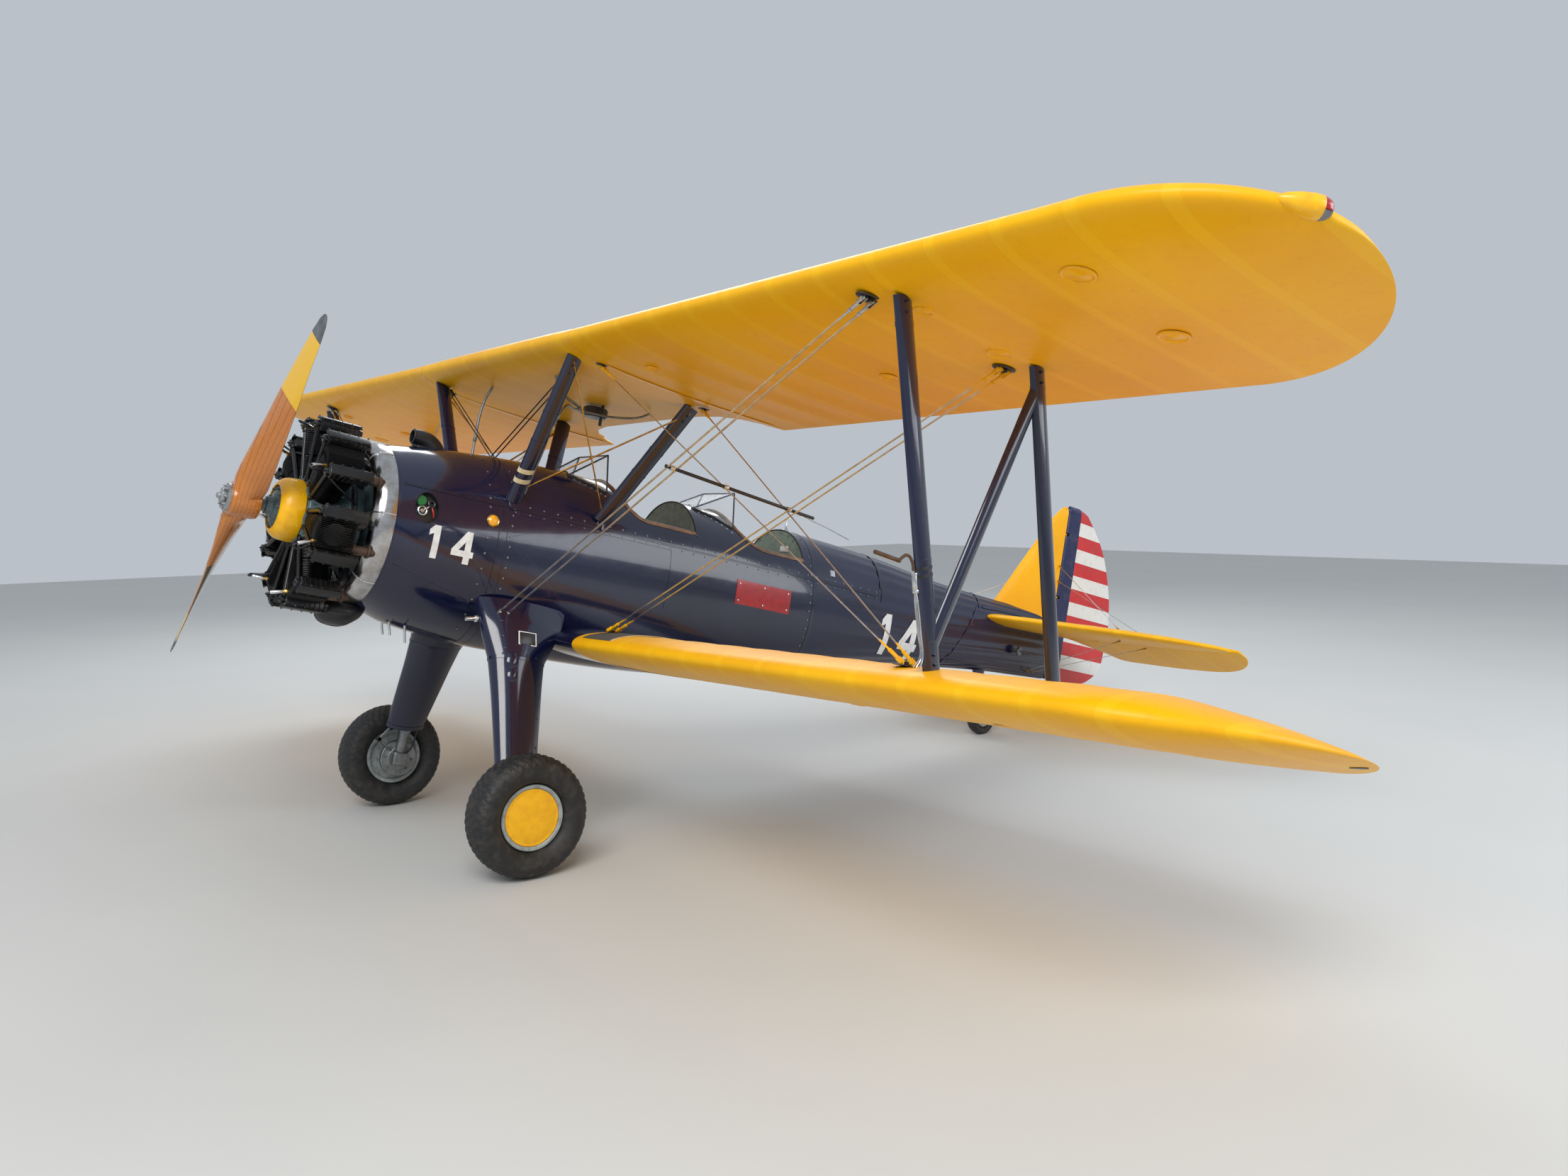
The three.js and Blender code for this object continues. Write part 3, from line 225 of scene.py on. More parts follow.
def tube(points, radius, sides=4, smooth=False, closed=False):
    """A round bar or hose along points: a line with a round bevel, then a mesh."""
    line = bpy.data.curves.new("tube", "CURVE")
    line.dimensions = "3D"
    line.bevel_depth = radius
    line.bevel_resolution = sides
    line.use_fill_caps = not closed
    line.resolution_u = 6
    if smooth:
        spline = line.splines.new("BEZIER")
        spline.bezier_points.add(len(points) - 1)
        for knot, place in zip(spline.bezier_points, points):
            knot.co = place
            knot.handle_left_type = knot.handle_right_type = "AUTO"
    else:
        spline = line.splines.new("POLY")
        spline.points.add(len(points) - 1)
        for knot, place in zip(spline.points, points):
            knot.co = (*place, 1)
    spline.use_cyclic_u = closed
    obj = bpy.data.objects.new("tube", line)
    bpy.context.collection.objects.link(obj)
    alone(obj)
    bpy.ops.object.convert(target="MESH")
    return outward(bpy.context.object)
print("turned parts and tubes ready")

# %% [markdown]
# A bar is a cylinder laid between two places, a peg is one that stands on the spot, and a block is a cube
# whose edges are bevelled, as machined or folded metal has no sharp edge. Scattered copies one modelled
# pattern to many places, each copy with its own points.

# %% Blocks, bars and pegs
def block(low, high, soft=0.002, segments=2):
    """A box between two corners, its edges bevelled."""
    low, high = Vector(low), Vector(high)
    obj = start("cube", size=1, location=(low + high) / 2, scale=high - low)
    freed(obj)
    return modified(obj, "BEVEL", width=soft, segments=segments) if soft else obj

def bar(a, b, radius, sides=12, soft=0.0):
    """A straight round bar with optional bevelled rims."""
    a, b = Vector(a), Vector(b)
    obj = start("cylinder", vertices=sides, radius=radius, depth=(b - a).length)
    freed(obj)
    if soft:
        modified(obj, "BEVEL", width=soft, segments=2, limit_method="ANGLE")
    return moved(obj, aim((a + b) / 2, b - a))

def peg(low, high, radius, sides=12, soft=0.0):
    """A bar along z, the usual start of a bolt."""
    return bar((0, 0, low), (0, 0, high), radius, sides, soft)

def scattered(pattern, matrices):
    """One small modelled part becomes many, all in its own mesh."""
    mesh = bmesh.new()
    for matrix in matrices:
        before = len(mesh.verts)
        mesh.from_mesh(pattern.data)
        mesh.verts.ensure_lookup_table()
        bmesh.ops.transform(mesh, matrix=matrix, verts=mesh.verts[before:])
    mesh.to_mesh(pattern.data)
    mesh.free()
    return pattern

print("shapes ready")

# %% [markdown]
# A finish is a small network of nodes. Written node by node it is long and hard to read, so one class wraps
# a socket and lets sums and products of sockets be written as Python does. `Finish` holds one material: its
# `node` method adds any node, and `paint` feeds the shader.

# %% Shader maths
class Signal:
    """One output of a node. Arithmetic on it adds Math nodes."""
    def __init__(self, finish, socket):
        self.finish, self.socket = finish, socket

    def math(self, operation, *others):
        return self.finish.node("ShaderNodeMath", {"operation": operation}, dict(enumerate([self, *others])))

    def __add__(self, other): return self.math("ADD", other)
    __radd__ = __add__
    def __mul__(self, other): return self.math("MULTIPLY", other)
    __rmul__ = __mul__
    def __sub__(self, other): return self.math("SUBTRACT", other)
    def __rsub__(self, other):
        return self.finish.node("ShaderNodeMath", {"operation": "SUBTRACT"}, {0: other, 1: self})

    def __truediv__(self, other): return self.math("DIVIDE", other)
    def __pow__(self, other): return self.math("POWER", other)
    def __gt__(self, other): return self.math("GREATER_THAN", other)
    def __lt__(self, other): return self.math("LESS_THAN", other)
    def __abs__(self): return self.math("ABSOLUTE")
    def wave(self): return self.math("SINE")
    def repeat(self, length): return self.math("PINGPONG", length)
    def floor(self): return self.math("FLOOR")
print("signals ready")

# %% [markdown]
# A finish wraps one material. Its helpers name what a painter would ask for: noise of a size in the
# object's own coordinates, a ramp from one value to another, a mix of two colours by a mask, and relief,
# which becomes the Bump node that feeds the normal.

# %% A finish and its nodes
class Finish:
    """A material whose network is built by name and by arithmetic."""
    def __init__(self, name):
        self.material = bpy.data.materials.new(name)
        self.material.use_nodes = True
        self.tree = self.material.node_tree
        self.skin = self.tree.nodes["Principled BSDF"]
        self.place = self.node("ShaderNodeTexCoord", outputs="Object")
        self.height = None

    def feed(self, socket, value):
        """Links a signal to a socket, or sets a plain value there."""
        if isinstance(value, Signal):
            self.tree.links.new(value.socket, socket)
        else:
            socket.default_value = value

    def node(self, kind, settings=None, values=None, outputs=0):
        made = self.tree.nodes.new(kind)
        for key, value in (settings or {}).items():
            setattr(made, key, value)
        for key, value in (values or {}).items():
            self.feed(made.inputs[key], value)
        return Signal(self, made.outputs[outputs])

    def level(self):
        """Object coordinates turned into the aeroplane's level frame: x to port, y aft, z up."""
        settings = {"vector_type": "TEXTURE"}
        values = {"Vector": self.place, "Location": HUB, "Rotation": Euler((-GROUND_ANGLE, 0, 0))}
        return self.node("ShaderNodeMapping", settings, values)

    def axes(self, vector):
        split = self.node("ShaderNodeSeparateXYZ", None, {0: vector})
        return [Signal(self, split.socket.node.outputs[i]) for i in range(3)]

    def noise(self, scale, detail=3.0, rough=0.5, vector=None):
        values = {"Vector": vector or self.place, "Scale": scale, "Detail": detail, "Roughness": rough}
        return self.node("ShaderNodeTexNoise", None, values)

    def ramp(self, signal, low, high, to_low=0.0, to_high=1.0):
        """The signal's stretch from low to high becomes to_low to to_high, clamped."""
        values = {"Value": signal, "From Min": low, "From Max": high, "To Min": to_low, "To Max": to_high}
        return self.node("ShaderNodeMapRange", {"clamp": True}, values)

    def mix(self, share, first, second):
        """From the first colour to the second; each is a signal or a colour's screen values, 0 to 255."""
        values = {0: share, 6: shade_of(first), 7: shade_of(second)}
        return self.node("ShaderNodeMix", {"data_type": "RGBA"}, values, outputs=2)

    def relief(self, signal, depth, strength=1.0):
        """Adds one layer of bump; layers stack."""
        values = {"Height": signal, "Distance": depth, "Strength": strength}
        if self.height:
            values["Normal"] = self.height
        self.height = self.node("ShaderNodeBump", None, values)

    def paint(self, **sockets):
        """Feeds the shader's sockets, underscores for spaces, and returns the material."""
        if self.height:
            sockets["Normal"] = self.height
        for key, value in sockets.items():
            self.feed(self.skin.inputs[key.replace("_", " ")], value)
        return self.material

def shade_of(colour):
    """A signal as it is; screen values, 0 to 255, as the linear colour that a shader takes."""
    if isinstance(colour, Signal):
        return colour
    def linear(value):
        share = value / 255
        return share / 12.92 if share <= 0.04045 else ((share + 0.055) / 1.055) ** 2.4
    return (*(linear(value) for value in colour), 1.0)

print("shader maths ready")

# %% [markdown]
# Gloss navy: the fuselage, the gear and the struts wear a deep blue enamel with a clear coat. Real enamel
# on hand-worked sheet is never flat, so a wide, shallow noise bends the reflections a little, and fine dust
# changes the roughness. The colour varies by a hair so that it isn't one value.

# %% Navy enamel
NAVY = (9, 15, 46)
NAVY_WORN = (16, 24, 58)
def navy_enamel(name, waviness, dust=0.10):
    finish = Finish(name)
    patches = finish.noise(1.6, 4)
    grime = finish.noise(38, 5, 0.6)
    finish.relief(finish.noise(3.2, 2), waviness)
    finish.relief(finish.noise(420, 2), 0.00004)
    colour = finish.mix(finish.ramp(patches, 0.35, 0.75), NAVY, NAVY_WORN)
    rough = finish.ramp(grime, 0.3, 0.8, 0.12, 0.12 + dust)
    finish.skin.inputs["Coat Roughness"].default_value = 0.04
    finish.skin.inputs["IOR"].default_value = 1.5
    return finish.paint(Base_Color=colour, Roughness=rough, Coat_Weight=0.6)

navy_panel = navy_enamel("navy_panel", 0.004)
navy_strut = navy_enamel("navy_strut", 0.0008)
print(navy_panel.name, navy_strut.name)

# %% [markdown]
# The rear fuselage is doped cloth over stringers: under the same blue there is a fine weave, and the cloth
# sags between its supports, which the surface itself shows. The finish only adds the weave.

# %% Navy doped cloth
def weave(finish, threads_per_metre, depth):
    """Crossed threads: two sine waves that take turns being on top."""
    x, y, z = finish.axes(finish.level())
    across = (x * threads_per_metre * math.pi).wave()
    along = ((y + z) * threads_per_metre * math.pi).wave()
    finish.relief(across * along, depth)

def navy_cloth():
    finish = Finish("navy_fabric")
    weave(finish, 620, 0.00006)
    patches = finish.noise(2.2, 4)
    colour = finish.mix(finish.ramp(patches, 0.3, 0.75), NAVY, NAVY_WORN)
    rough = finish.ramp(finish.noise(30, 4), 0.3, 0.8, 0.17, 0.3)
    finish.skin.inputs["Coat Roughness"].default_value = 0.1
    return finish.paint(Base_Color=colour, Roughness=rough, Coat_Weight=0.4)

navy_fabric = navy_cloth()
print(navy_fabric.name)

# %% [markdown]
# Chrome yellow dope: wings, ailerons, fin and tailplane. The cloth is stretched over ribs, so each rib is
# covered by a tape, a strip of cloth a little lighter than the bays and raised by its own thickness. Dust
# lies in patches on the cloth between the tapes. The tapes follow the level x for the wings, so one material
# serves every surface.

# %% Yellow doped cloth
YELLOW = (250, 188, 0)
YELLOW_DEEP = (240, 170, 0)
RIB_PITCH = 0.305  # metres between ribs
TAPE_WIDTH = 0.05
def yellow_cloth(name, pitch=RIB_PITCH, start_at=0.0):
    finish = Finish(name)
    x, y, z = finish.axes(finish.level())
    to_rib = (abs(x) - start_at).repeat(pitch / 2)
    tape = 1 - finish.ramp(to_rib, TAPE_WIDTH / 2 - 0.0008, TAPE_WIDTH / 2 + 0.0008)
    stitches = ((y * (2 * math.pi / 0.06)).wave() > 0.93) * (1 - finish.ramp(to_rib, 0.002, 0.004))
    weave(finish, 620, 0.00005)
    finish.relief(tape, 0.0004)
    finish.relief(stitches, 0.0006)
    cloudy = finish.ramp(finish.noise(1.4, 5), 0.3, 0.75)
    dusty = finish.ramp(finish.noise(24, 4), 0.55, 0.8) * 0.35
    colour = finish.mix(cloudy, YELLOW, YELLOW_DEEP)
    colour = finish.mix(tape * 0.25, colour, (255, 204, 30))
    colour = finish.mix(dusty * (1 - tape), colour, (226, 158, 6))
    rough = finish.ramp(finish.noise(60, 3), 0.3, 0.8, 0.38, 0.52)
    finish.skin.inputs["Coat Roughness"].default_value = 0.18
    finish.skin.inputs["Specular IOR Level"].default_value = 0.25
    return finish.paint(Base_Color=colour, Roughness=rough, Coat_Weight=0.1)

yellow_fabric = yellow_cloth("yellow_fabric")
tail_fabric = yellow_cloth("tail_fabric", 0.26, 0.1)
print(yellow_fabric.name, tail_fabric.name)

# %% [markdown]
# The rudder has one blue stripe along its hinge, then red and white stripes across. They are paint on
# cloth, so they are a pattern and not geometry: the height above the lowest edge, divided by the stripe's
# height, says which colour a point has.

# %% Rudder stripes
STRIPES = 13
RUDDER_LOW, RUDDER_HIGH = -0.1, 1.436
BLUE_STRIPE_END = 6.84
def striped_cloth():
    finish = Finish("rudder_stripes")
    x, y, z = finish.axes(finish.level())
    stripe_height = (RUDDER_HIGH - RUDDER_LOW) / STRIPES
    counted = (z - RUDDER_LOW) / (2 * stripe_height)
    red_or_white = (counted - counted.floor()) > 0.5
    weave(finish, 620, 0.00005)
    tape = 1 - finish.ramp((z - 0.05).repeat(0.15), 0.018, 0.0195)
    finish.relief(tape, 0.0004)
    red = finish.mix(finish.ramp(finish.noise(3, 4), 0.3, 0.7), (206, 36, 36), (188, 30, 32))
    colour = finish.mix(red_or_white, red, (226, 226, 222))
    colour = finish.mix(y < BLUE_STRIPE_END, colour, (14, 24, 74))
    grime = finish.ramp(finish.noise(18, 5), 0.5, 0.85) * 0.25
    colour = finish.mix(grime, colour, (120, 112, 100))
    finish.skin.inputs["Coat Roughness"].default_value = 0.12
    return finish.paint(Base_Color=colour, Roughness=0.3, Coat_Weight=0.25)

rudder_stripes = striped_cloth()
print(rudder_stripes.name, STRIPES, "stripes")

# %% [markdown]
# Metals and enamels for the rest. Bare steel gets a brushed noise stretched along z; the polished ring
# turns a little warmer in patches; the black enamel of the cylinders is dusty and half matt; plain gloss
# paints share one function that only takes a colour.

# %% Metals
def brushed(name, light, dark, rough=(0.22, 0.4), metallic=1.0, stretch=(90, 90, 9), depth=0.00005):
    finish = Finish(name)
    streaks = finish.node("ShaderNodeMapping", None, {"Vector": finish.place, "Scale": stretch})
    lines = finish.noise(4, 4, 0.6, streaks)
    spots = finish.noise(22, 5, 0.6)
    finish.relief(lines, depth)
    colour = finish.mix(finish.ramp(spots, 0.35, 0.75), light, dark)
    roughness = finish.ramp(lines, 0.3, 0.75, *rough)
    return finish.paint(Base_Color=colour, Roughness=roughness, Metallic=metallic)

bare_steel = brushed("bare_steel", (206, 208, 210), (158, 160, 162))
bright_steel = brushed("bright_steel", (226, 227, 229), (190, 192, 196), (0.22, 0.36))
polished_ring = brushed("polished_ring", (196, 196, 198), (160, 154, 148), (0.12, 0.28), depth=0.00004)
dull_alloy = brushed("dull_alloy", (150, 154, 156), (112, 116, 118), (0.35, 0.55))
brass = brushed("brass", (206, 168, 92), (160, 122, 60), (0.2, 0.38))
satin_steel = brushed("satin_steel", (188, 190, 191), (158, 160, 162), (0.34, 0.46), stretch=(20, 20, 4),
                      depth=0.00001)
burnt_pipe = brushed("burnt_pipe", (112, 92, 78), (72, 60, 54), (0.4, 0.6), 0.7)
dark_steel = brushed("dark_steel", (74, 76, 80), (42, 44, 48), (0.3, 0.5), 0.8)
print("metals:", bare_steel.name, polished_ring.name, brass.name)

# %% [markdown]
# The enamels of the small parts differ in their colour and shine only. One function makes them all: a flat
# colour with a slow change of tone, and a roughness that wanders a little, so that a plain fitting doesn't
# look like plastic.

# %% Paints
def enamel(name, light, dark, rough=(0.18, 0.34), coat=0.35, grain=26, depth=0.0001):
    finish = Finish(name)
    spots = finish.noise(grain, 5, 0.55)
    finish.relief(finish.noise(160, 2), depth)
    colour = finish.mix(finish.ramp(spots, 0.4, 0.75), light, dark)
    roughness = finish.ramp(finish.noise(14, 3), 0.3, 0.75, *rough)
    finish.skin.inputs["Coat Roughness"].default_value = 0.08
    return finish.paint(Base_Color=colour, Roughness=roughness, Coat_Weight=coat)

yellow_paint = enamel("yellow_paint", (250, 188, 0), (238, 168, 0), (0.3, 0.45), 0.15, depth=0.00005)
black_metal = enamel("black_metal", (20, 21, 24), (34, 35, 38), (0.3, 0.5), 0.15)
cylinder_black = enamel("cylinder_black", (9, 10, 12), (22, 22, 23), (0.26, 0.42), 0.12)
crankcase_teal = enamel("crankcase_teal", (84, 104, 108), (58, 74, 78), (0.3, 0.48), 0.2)
wheel_grey = enamel("wheel_grey", (158, 166, 166), (120, 124, 120), (0.35, 0.55), 0.1)
cockpit_green = enamel("cockpit_green", (126, 142, 128), (104, 118, 106), (0.4, 0.6), 0.1)
white_paint = enamel("white_paint", (232, 232, 230), (208, 208, 204), (0.25, 0.4), 0.2, depth=0.00003)
red_paint = enamel("red_paint", (176, 24, 26), (150, 18, 22), (0.25, 0.4), 0.25, depth=0.00003)
green_paint = enamel("green_paint", (28, 108, 60), (20, 80, 44), depth=0.00003)
cream_paint = enamel("cream_paint", (222, 206, 166), (190, 170, 128), (0.4, 0.6), 0.1)
walk_grey = enamel("walkway_grey", (88, 86, 80), (60, 58, 54), (0.75, 0.9), 0.0, 200, 0.0012)
print("paints ready")

# %% [markdown]
# The camera stands where the photographer stood: off the port bow, a little lower than the wing. It was
# solved from wheels, struts and wing tips whose real places are known, so the render and the photograph
# line up.

# %% Camera
IMAGE_WIDTH = 2212
FOCAL_PIXELS = 1675.3
SENSOR_MM = 36.0
CAMERA_YAW, CAMERA_PITCH, CAMERA_ROLL = 0.903, -0.075, -0.012
wheel_y = joints["left_wheel_spin"]["pos_m"][1]
camera_at = Vector((6.662, wheel_y - 2.727, 1.968))

def camera_turn():
    sine, cosine = math.sin(CAMERA_YAW), math.cos(CAMERA_YAW)
    ahead = Vector((-sine * math.cos(CAMERA_PITCH), cosine * math.cos(CAMERA_PITCH), math.sin(CAMERA_PITCH)))
    level_right = Vector((cosine, sine, 0))
    level_up = level_right.cross(ahead)
    right = level_right * math.cos(CAMERA_ROLL) + level_up * math.sin(CAMERA_ROLL)
    up = level_up * math.cos(CAMERA_ROLL) - level_right * math.sin(CAMERA_ROLL)
    return Matrix((right, up, -ahead)).transposed()

lens = bpy.data.cameras.new("camera")
lens.sensor_width = SENSOR_MM
lens.lens = FOCAL_PIXELS / IMAGE_WIDTH * SENSOR_MM
lens.clip_end = 200
camera = bpy.data.objects.new("camera", lens)
bpy.context.collection.objects.link(camera)
camera.matrix_world = Matrix.Translation(camera_at) @ camera_turn().to_4x4()
bpy.context.scene.camera = camera
print("lens", round(lens.lens, 2), "mm")

# %% [markdown]
# The photograph has open shade: a wide bright sky, no hard sun, and light thrown back by the ground. A pale
# floor and a large soft key from high on the port bow give the same, with a long fill from the side so that
# the gloss paint has something to show.

# %% Floor and light
FLOOR_SIZE = 60
floor = start("grid", x_subdivisions=8, y_subdivisions=8, size=FLOOR_SIZE, location=(0, 0, 0))
floor.name = "floor"
floor_finish = Finish("floor")
floor_tint = floor_finish.mix(floor_finish.noise(0.6, 3), (206, 206, 202), (198, 199, 197))
floor.data.materials.append(floor_finish.paint(Base_Color=floor_tint, Roughness=0.75))

def soft_light(name, place, target, size, watts, tint):
    lamp = bpy.data.lights.new(name, "AREA")
    lamp.shape = "RECTANGLE"
    lamp.size, lamp.size_y = size
    lamp.energy = watts
    lamp.color = tint
    obj = bpy.data.objects.new(name, lamp)
    bpy.context.collection.objects.link(obj)
    obj.matrix_world = aim(place, Vector(place) - Vector(target))
    return obj

soft_light("key", (9, -9, 11), (0, 0, 1), (9, 7), 1500, (1.0, 0.985, 0.96))
soft_light("fill", (10, 6, 5), (0, 1, 1.2), (8, 5), 380, (0.93, 0.96, 1.0))
soft_light("rim", (-9, 5, 9), (0, 0, 1.5), (8, 6), 700, (0.95, 0.97, 1.0))

world = bpy.data.worlds.new("studio")
bpy.context.scene.world = world
world.use_nodes = True
background = world.node_tree.nodes["Background"]
background.inputs["Color"].default_value = (0.80, 0.86, 0.94, 1)
background.inputs["Strength"].default_value = 0.62
bpy.context.scene.view_settings.view_transform = "Standard"
print("floor and lights set")

# %% [markdown]
# A wing is cloth drawn over ribs. Seen close it isn't a smooth extrusion: the cloth dips a millimetre or
# two between the ribs, and the tips are bows that the cloth follows. A subdivided box would never give the
# nose its curve, so a flat grid is added, one row for each station and one column for each place round the
# section, and then wrapped: every point is moved to where the section, the plan shape and the sag put it.

# %% The section and the two wings
CHORD = 1.524
SECTION = {"camber": 0.02, "camber_at": 0.4, "thickness": 0.13, "blunt": 0.003}
UPPER = {"half": 4.902, "lead_y": 1.157, "lead_z": 1.137, "incidence": 4.4, "dihedral": 0.4, "joint": 1.016,
         "tip_from": 4.070, "tip_lift": 0.050, "tip_thins": 0.1}
LOWER = {"half": 4.700, "lead_y": 1.672, "lead_z": -0.453, "incidence": 2.9, "dihedral": 1.43, "joint": 0.752,
         "tip_from": 4.215, "tip_lift": 0.032, "tip_thins": 0.5}
UPPER_BOWS = {"lead_from": 4.265, "trail_from": 4.070, "widest": 0.414}
LOWER_BOWS = {"lead_from": 4.120, "trail_from": 4.215, "widest": 0.62}
AILERON = {"inner": 2.060, "outer": 4.210, "hinge": 0.795, "clearance": 0.008}
CLOTH_SAG = 0.0042

def section_heights(share):
    """Upper and lower surface over the chord line, as shares of the chord."""
    camber, at = SECTION["camber"], SECTION["camber_at"]
    curve = (0.2969 * math.sqrt(share) - 0.126 * share - 0.3516 * share**2 + 0.2843 * share**3
             - 0.1036 * share**4)
    half = 5 * SECTION["thickness"] * curve + SECTION["blunt"] / 2 * share
    if share < at:
        middle = camber / at**2 * (2 * at * share - share**2)
    else:
        middle = camber / (1 - at) ** 2 * (1 - 2 * at + 2 * at * share - share**2)
    return middle + half, middle - half

def wing_point(wing, x, share, height, lead=0.0, chord=CHORD):
    tilt = math.radians(wing["incidence"])
    past_tip = max(0, abs(x) - wing["tip_from"]) / (wing["half"] - wing["tip_from"])
    straight = max(0, abs(x) - wing["joint"]) * math.tan(math.radians(wing["dihedral"]))
    rise = straight + wing["tip_lift"] * past_tip**2
    along, up = lead + share * chord, height * chord * (1 - wing["tip_thins"] * past_tip**2)
    y = wing["lead_y"] + along * math.cos(tilt) + up * math.sin(tilt)
    z = wing["lead_z"] + rise - along * math.sin(tilt) + up * math.cos(tilt)
    return Vector((x, y, z))

def plan(wing, bows, x):
    """How far the leading edge is set back at x, and the chord there."""
    def bow(begin):
        share = max(0.0, (abs(x) - begin) / (wing["half"] - begin))
        return 1 - math.sqrt(max(0.0, 1 - share**2))
    lead = bows["widest"] * CHORD * bow(bows["lead_from"])
    trail = (1 - bows["widest"]) * CHORD * bow(bows["trail_from"])
    return lead, CHORD - lead - trail

def sag_between_ribs(x, share):
    """The cloth's dip, nothing at a rib, the nose or the trailing edge."""
    between = math.sin(math.pi * (abs(x) % RIB_PITCH) / RIB_PITCH) ** 2
    rise, fall = min(1.0, max(0.0, (share - 0.12) / 0.1)), min(1.0, (1 - share) / 0.1)
    return CLOTH_SAG / CHORD * between * rise * fall

print("section", round((section_heights(0.3)[0] - section_heights(0.3)[1]) * CHORD * 1000), "mm thick")

# %% [markdown]
# Most skins of this aeroplane are one kind of mesh: rings of points, one behind the other. A grid is added
# flat, its points are moved by a function of two shares, and the two long edges are merged. The ends are
# then filled. That is how a wing, a tyre, a scoop and a propeller blade can share one tool.

# %% Wrap a grid round a section
def wrapped(columns, rows, place, caps=True, closes=None):
    """A grid whose points go to place(u, v). u runs round the section and meets itself, v along the span.
    Where the section ends apart from its beginning, at a blunt trailing edge, the last column closes it."""
    obj = start("grid", x_subdivisions=columns, y_subdivisions=rows, size=1)
    closes = caps if closes is None else closes
    blunt = closes and (place(0.0, 0.5) - place(1.0, 0.5)).length > 1e-4
    stretch = columns / (columns - 1) if blunt else 1.0
    for point in obj.data.vertices:
        u, v = round((point.co.x + 0.5) * stretch, 6), round(point.co.y + 0.5, 6)
        point.co = place(0.0 if u > 1 else max(0.0, u), min(1.0, max(0.0, v)))
    outward(obj, 2e-5)
    if caps:
        pick(obj, "EDGE", lambda edge: edge.is_boundary)
        bpy.ops.mesh.edge_face_add()
        close(obj)
        outward(obj, 2e-5)
    return obj

def round_the_section(u):
    """Share of the chord and which surface: from the trailing edge over the top, round the nose and back."""
    swing = 1 - 2 * u
    share = abs(swing)
    share = 1 - math.cos(share * math.pi / 2) if share < 1 else 1.0
    return share, u < 0.5

def wing_panel(wing, bows, begin, rows=176, columns=60):
    tip = wing["half"] - 0.0004
    def place(u, v):
        x = begin + (tip - begin) * math.sin(v * math.pi / 2) ** 0.9
        share, on_top = round_the_section(u)
        top, bottom = section_heights(share)
        dip = sag_between_ribs(x, share)
        lead, chord = plan(wing, bows, x)
        return wing_point(wing, x, share, top - dip if on_top else bottom + dip, lead, chord)
    return wrapped(columns, rows, place)

upper = wing_panel(UPPER, UPPER_BOWS, UPPER["joint"] + 0.001)
print("upper panel:", len(upper.data.polygons), "faces")

# %% [markdown]
# The upper panels are simple: one panel and its mirror image. On the lower wing the aileron's bay is sawn
# out with a boolean, as a builder would leave the bay open, and the wall that is left closes it.

# %% Upper and lower panels
PORTSIDE, STARBOARD = Matrix.Identity(4), Matrix.Scale(-1, 4, PORT)
SIDES = {"left": PORTSIDE, "right": STARBOARD}

def cut_by(obj, cutter, operation="DIFFERENCE"):
    modified(obj, "BOOLEAN", object=cutter, operation=operation, solver="EXACT")
    bpy.data.objects.remove(cutter)
    return obj

for side, mirror in SIDES.items():
    panel = copy_of(upper, mirror)
    piece(panel, f"upper_wing_skin_{side}", "yellow_fabric", yellow_fabric, 40)
    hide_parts(f"upper_wing_{side}")
bpy.data.objects.remove(upper)

def aileron_hinge(x):
    top, bottom = section_heights(AILERON["hinge"])
    return wing_point(LOWER, x, AILERON["hinge"], (top + bottom) / 2)

hinge_in, hinge_out = aileron_hinge(AILERON["inner"]), aileron_hinge(AILERON["outer"])
hinge_top, hinge_bottom = section_heights(AILERON["hinge"])
nose_radius = (hinge_top - hinge_bottom) / 2 * CHORD - 0.001
bay_front = hinge_in.y - nose_radius - AILERON["clearance"]

lower = wing_panel(LOWER, LOWER_BOWS, LOWER["joint"] + 0.001)
bay = block((AILERON["inner"], bay_front, -0.8), (AILERON["outer"], bay_front + 0.9, 0.2), soft=0)
cut_by(lower, bay)
eyes = []
for share in (0.15, 0.85):
    eye_at = hinge_in.lerp(hinge_out, share)
    along = (hinge_out - hinge_in).normalized()
    eye = bar(eye_at - along * 0.007, eye_at + along * 0.007, 0.013, 16, 0.001)
    arm = block((eye_at.x - 0.006, bay_front - 0.02, eye_at.z - 0.009),
                (eye_at.x + 0.006, eye_at.y, eye_at.z + 0.009))
    eyes += [eye, arm]
lower = joined(lower, *eyes)
for side, mirror in SIDES.items():
    panel = copy_of(lower, mirror)
    piece(panel, f"lower_wing_skin_{side}", "yellow_fabric", yellow_fabric, 40)
    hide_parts(f"lower_wing_{side}")
bpy.data.objects.remove(lower)
print("lower panels cut for the ailerons, nose radius", round(nose_radius * 1000, 1), "mm")

# %% [markdown]
# An aileron is the piece of the same section that was cut from the wing, with a round nose about its hinge,
# so the gap stays even as it turns. It has a slot where each of the wing's hinge eyes reaches in, and
# carries its own pin there.

# %% Ailerons
EYE_SLOT = 0.026
def aileron_skin():
    inner, outer = AILERON["inner"] + AILERON["clearance"], AILERON["outer"] - AILERON["clearance"]
    arc_share = 0.3  # of the way round that belongs to the nose arc
    def place(u, v):
        x = inner + (outer - inner) * v
        middle = aileron_hinge(x)
        if abs(u - 0.5) < arc_share / 2:
            angle = (u - 0.5) / arc_share * math.pi
            ahead, rise = math.cos(angle), -math.sin(angle)
            return middle + Vector((0, -ahead * nose_radius, rise * nose_radius))
        way = (abs(u - 0.5) - arc_share / 2) / (0.5 - arc_share / 2)
        share = AILERON["hinge"] + (1 - AILERON["hinge"]) * way
        top, bottom = section_heights(share)
        dip = sag_between_ribs(x, share) * (1 if way < 0.99 else 0)
        return wing_point(LOWER, x, share, top - dip if u < 0.5 else bottom + dip)
    return wrapped(48, 110, place)

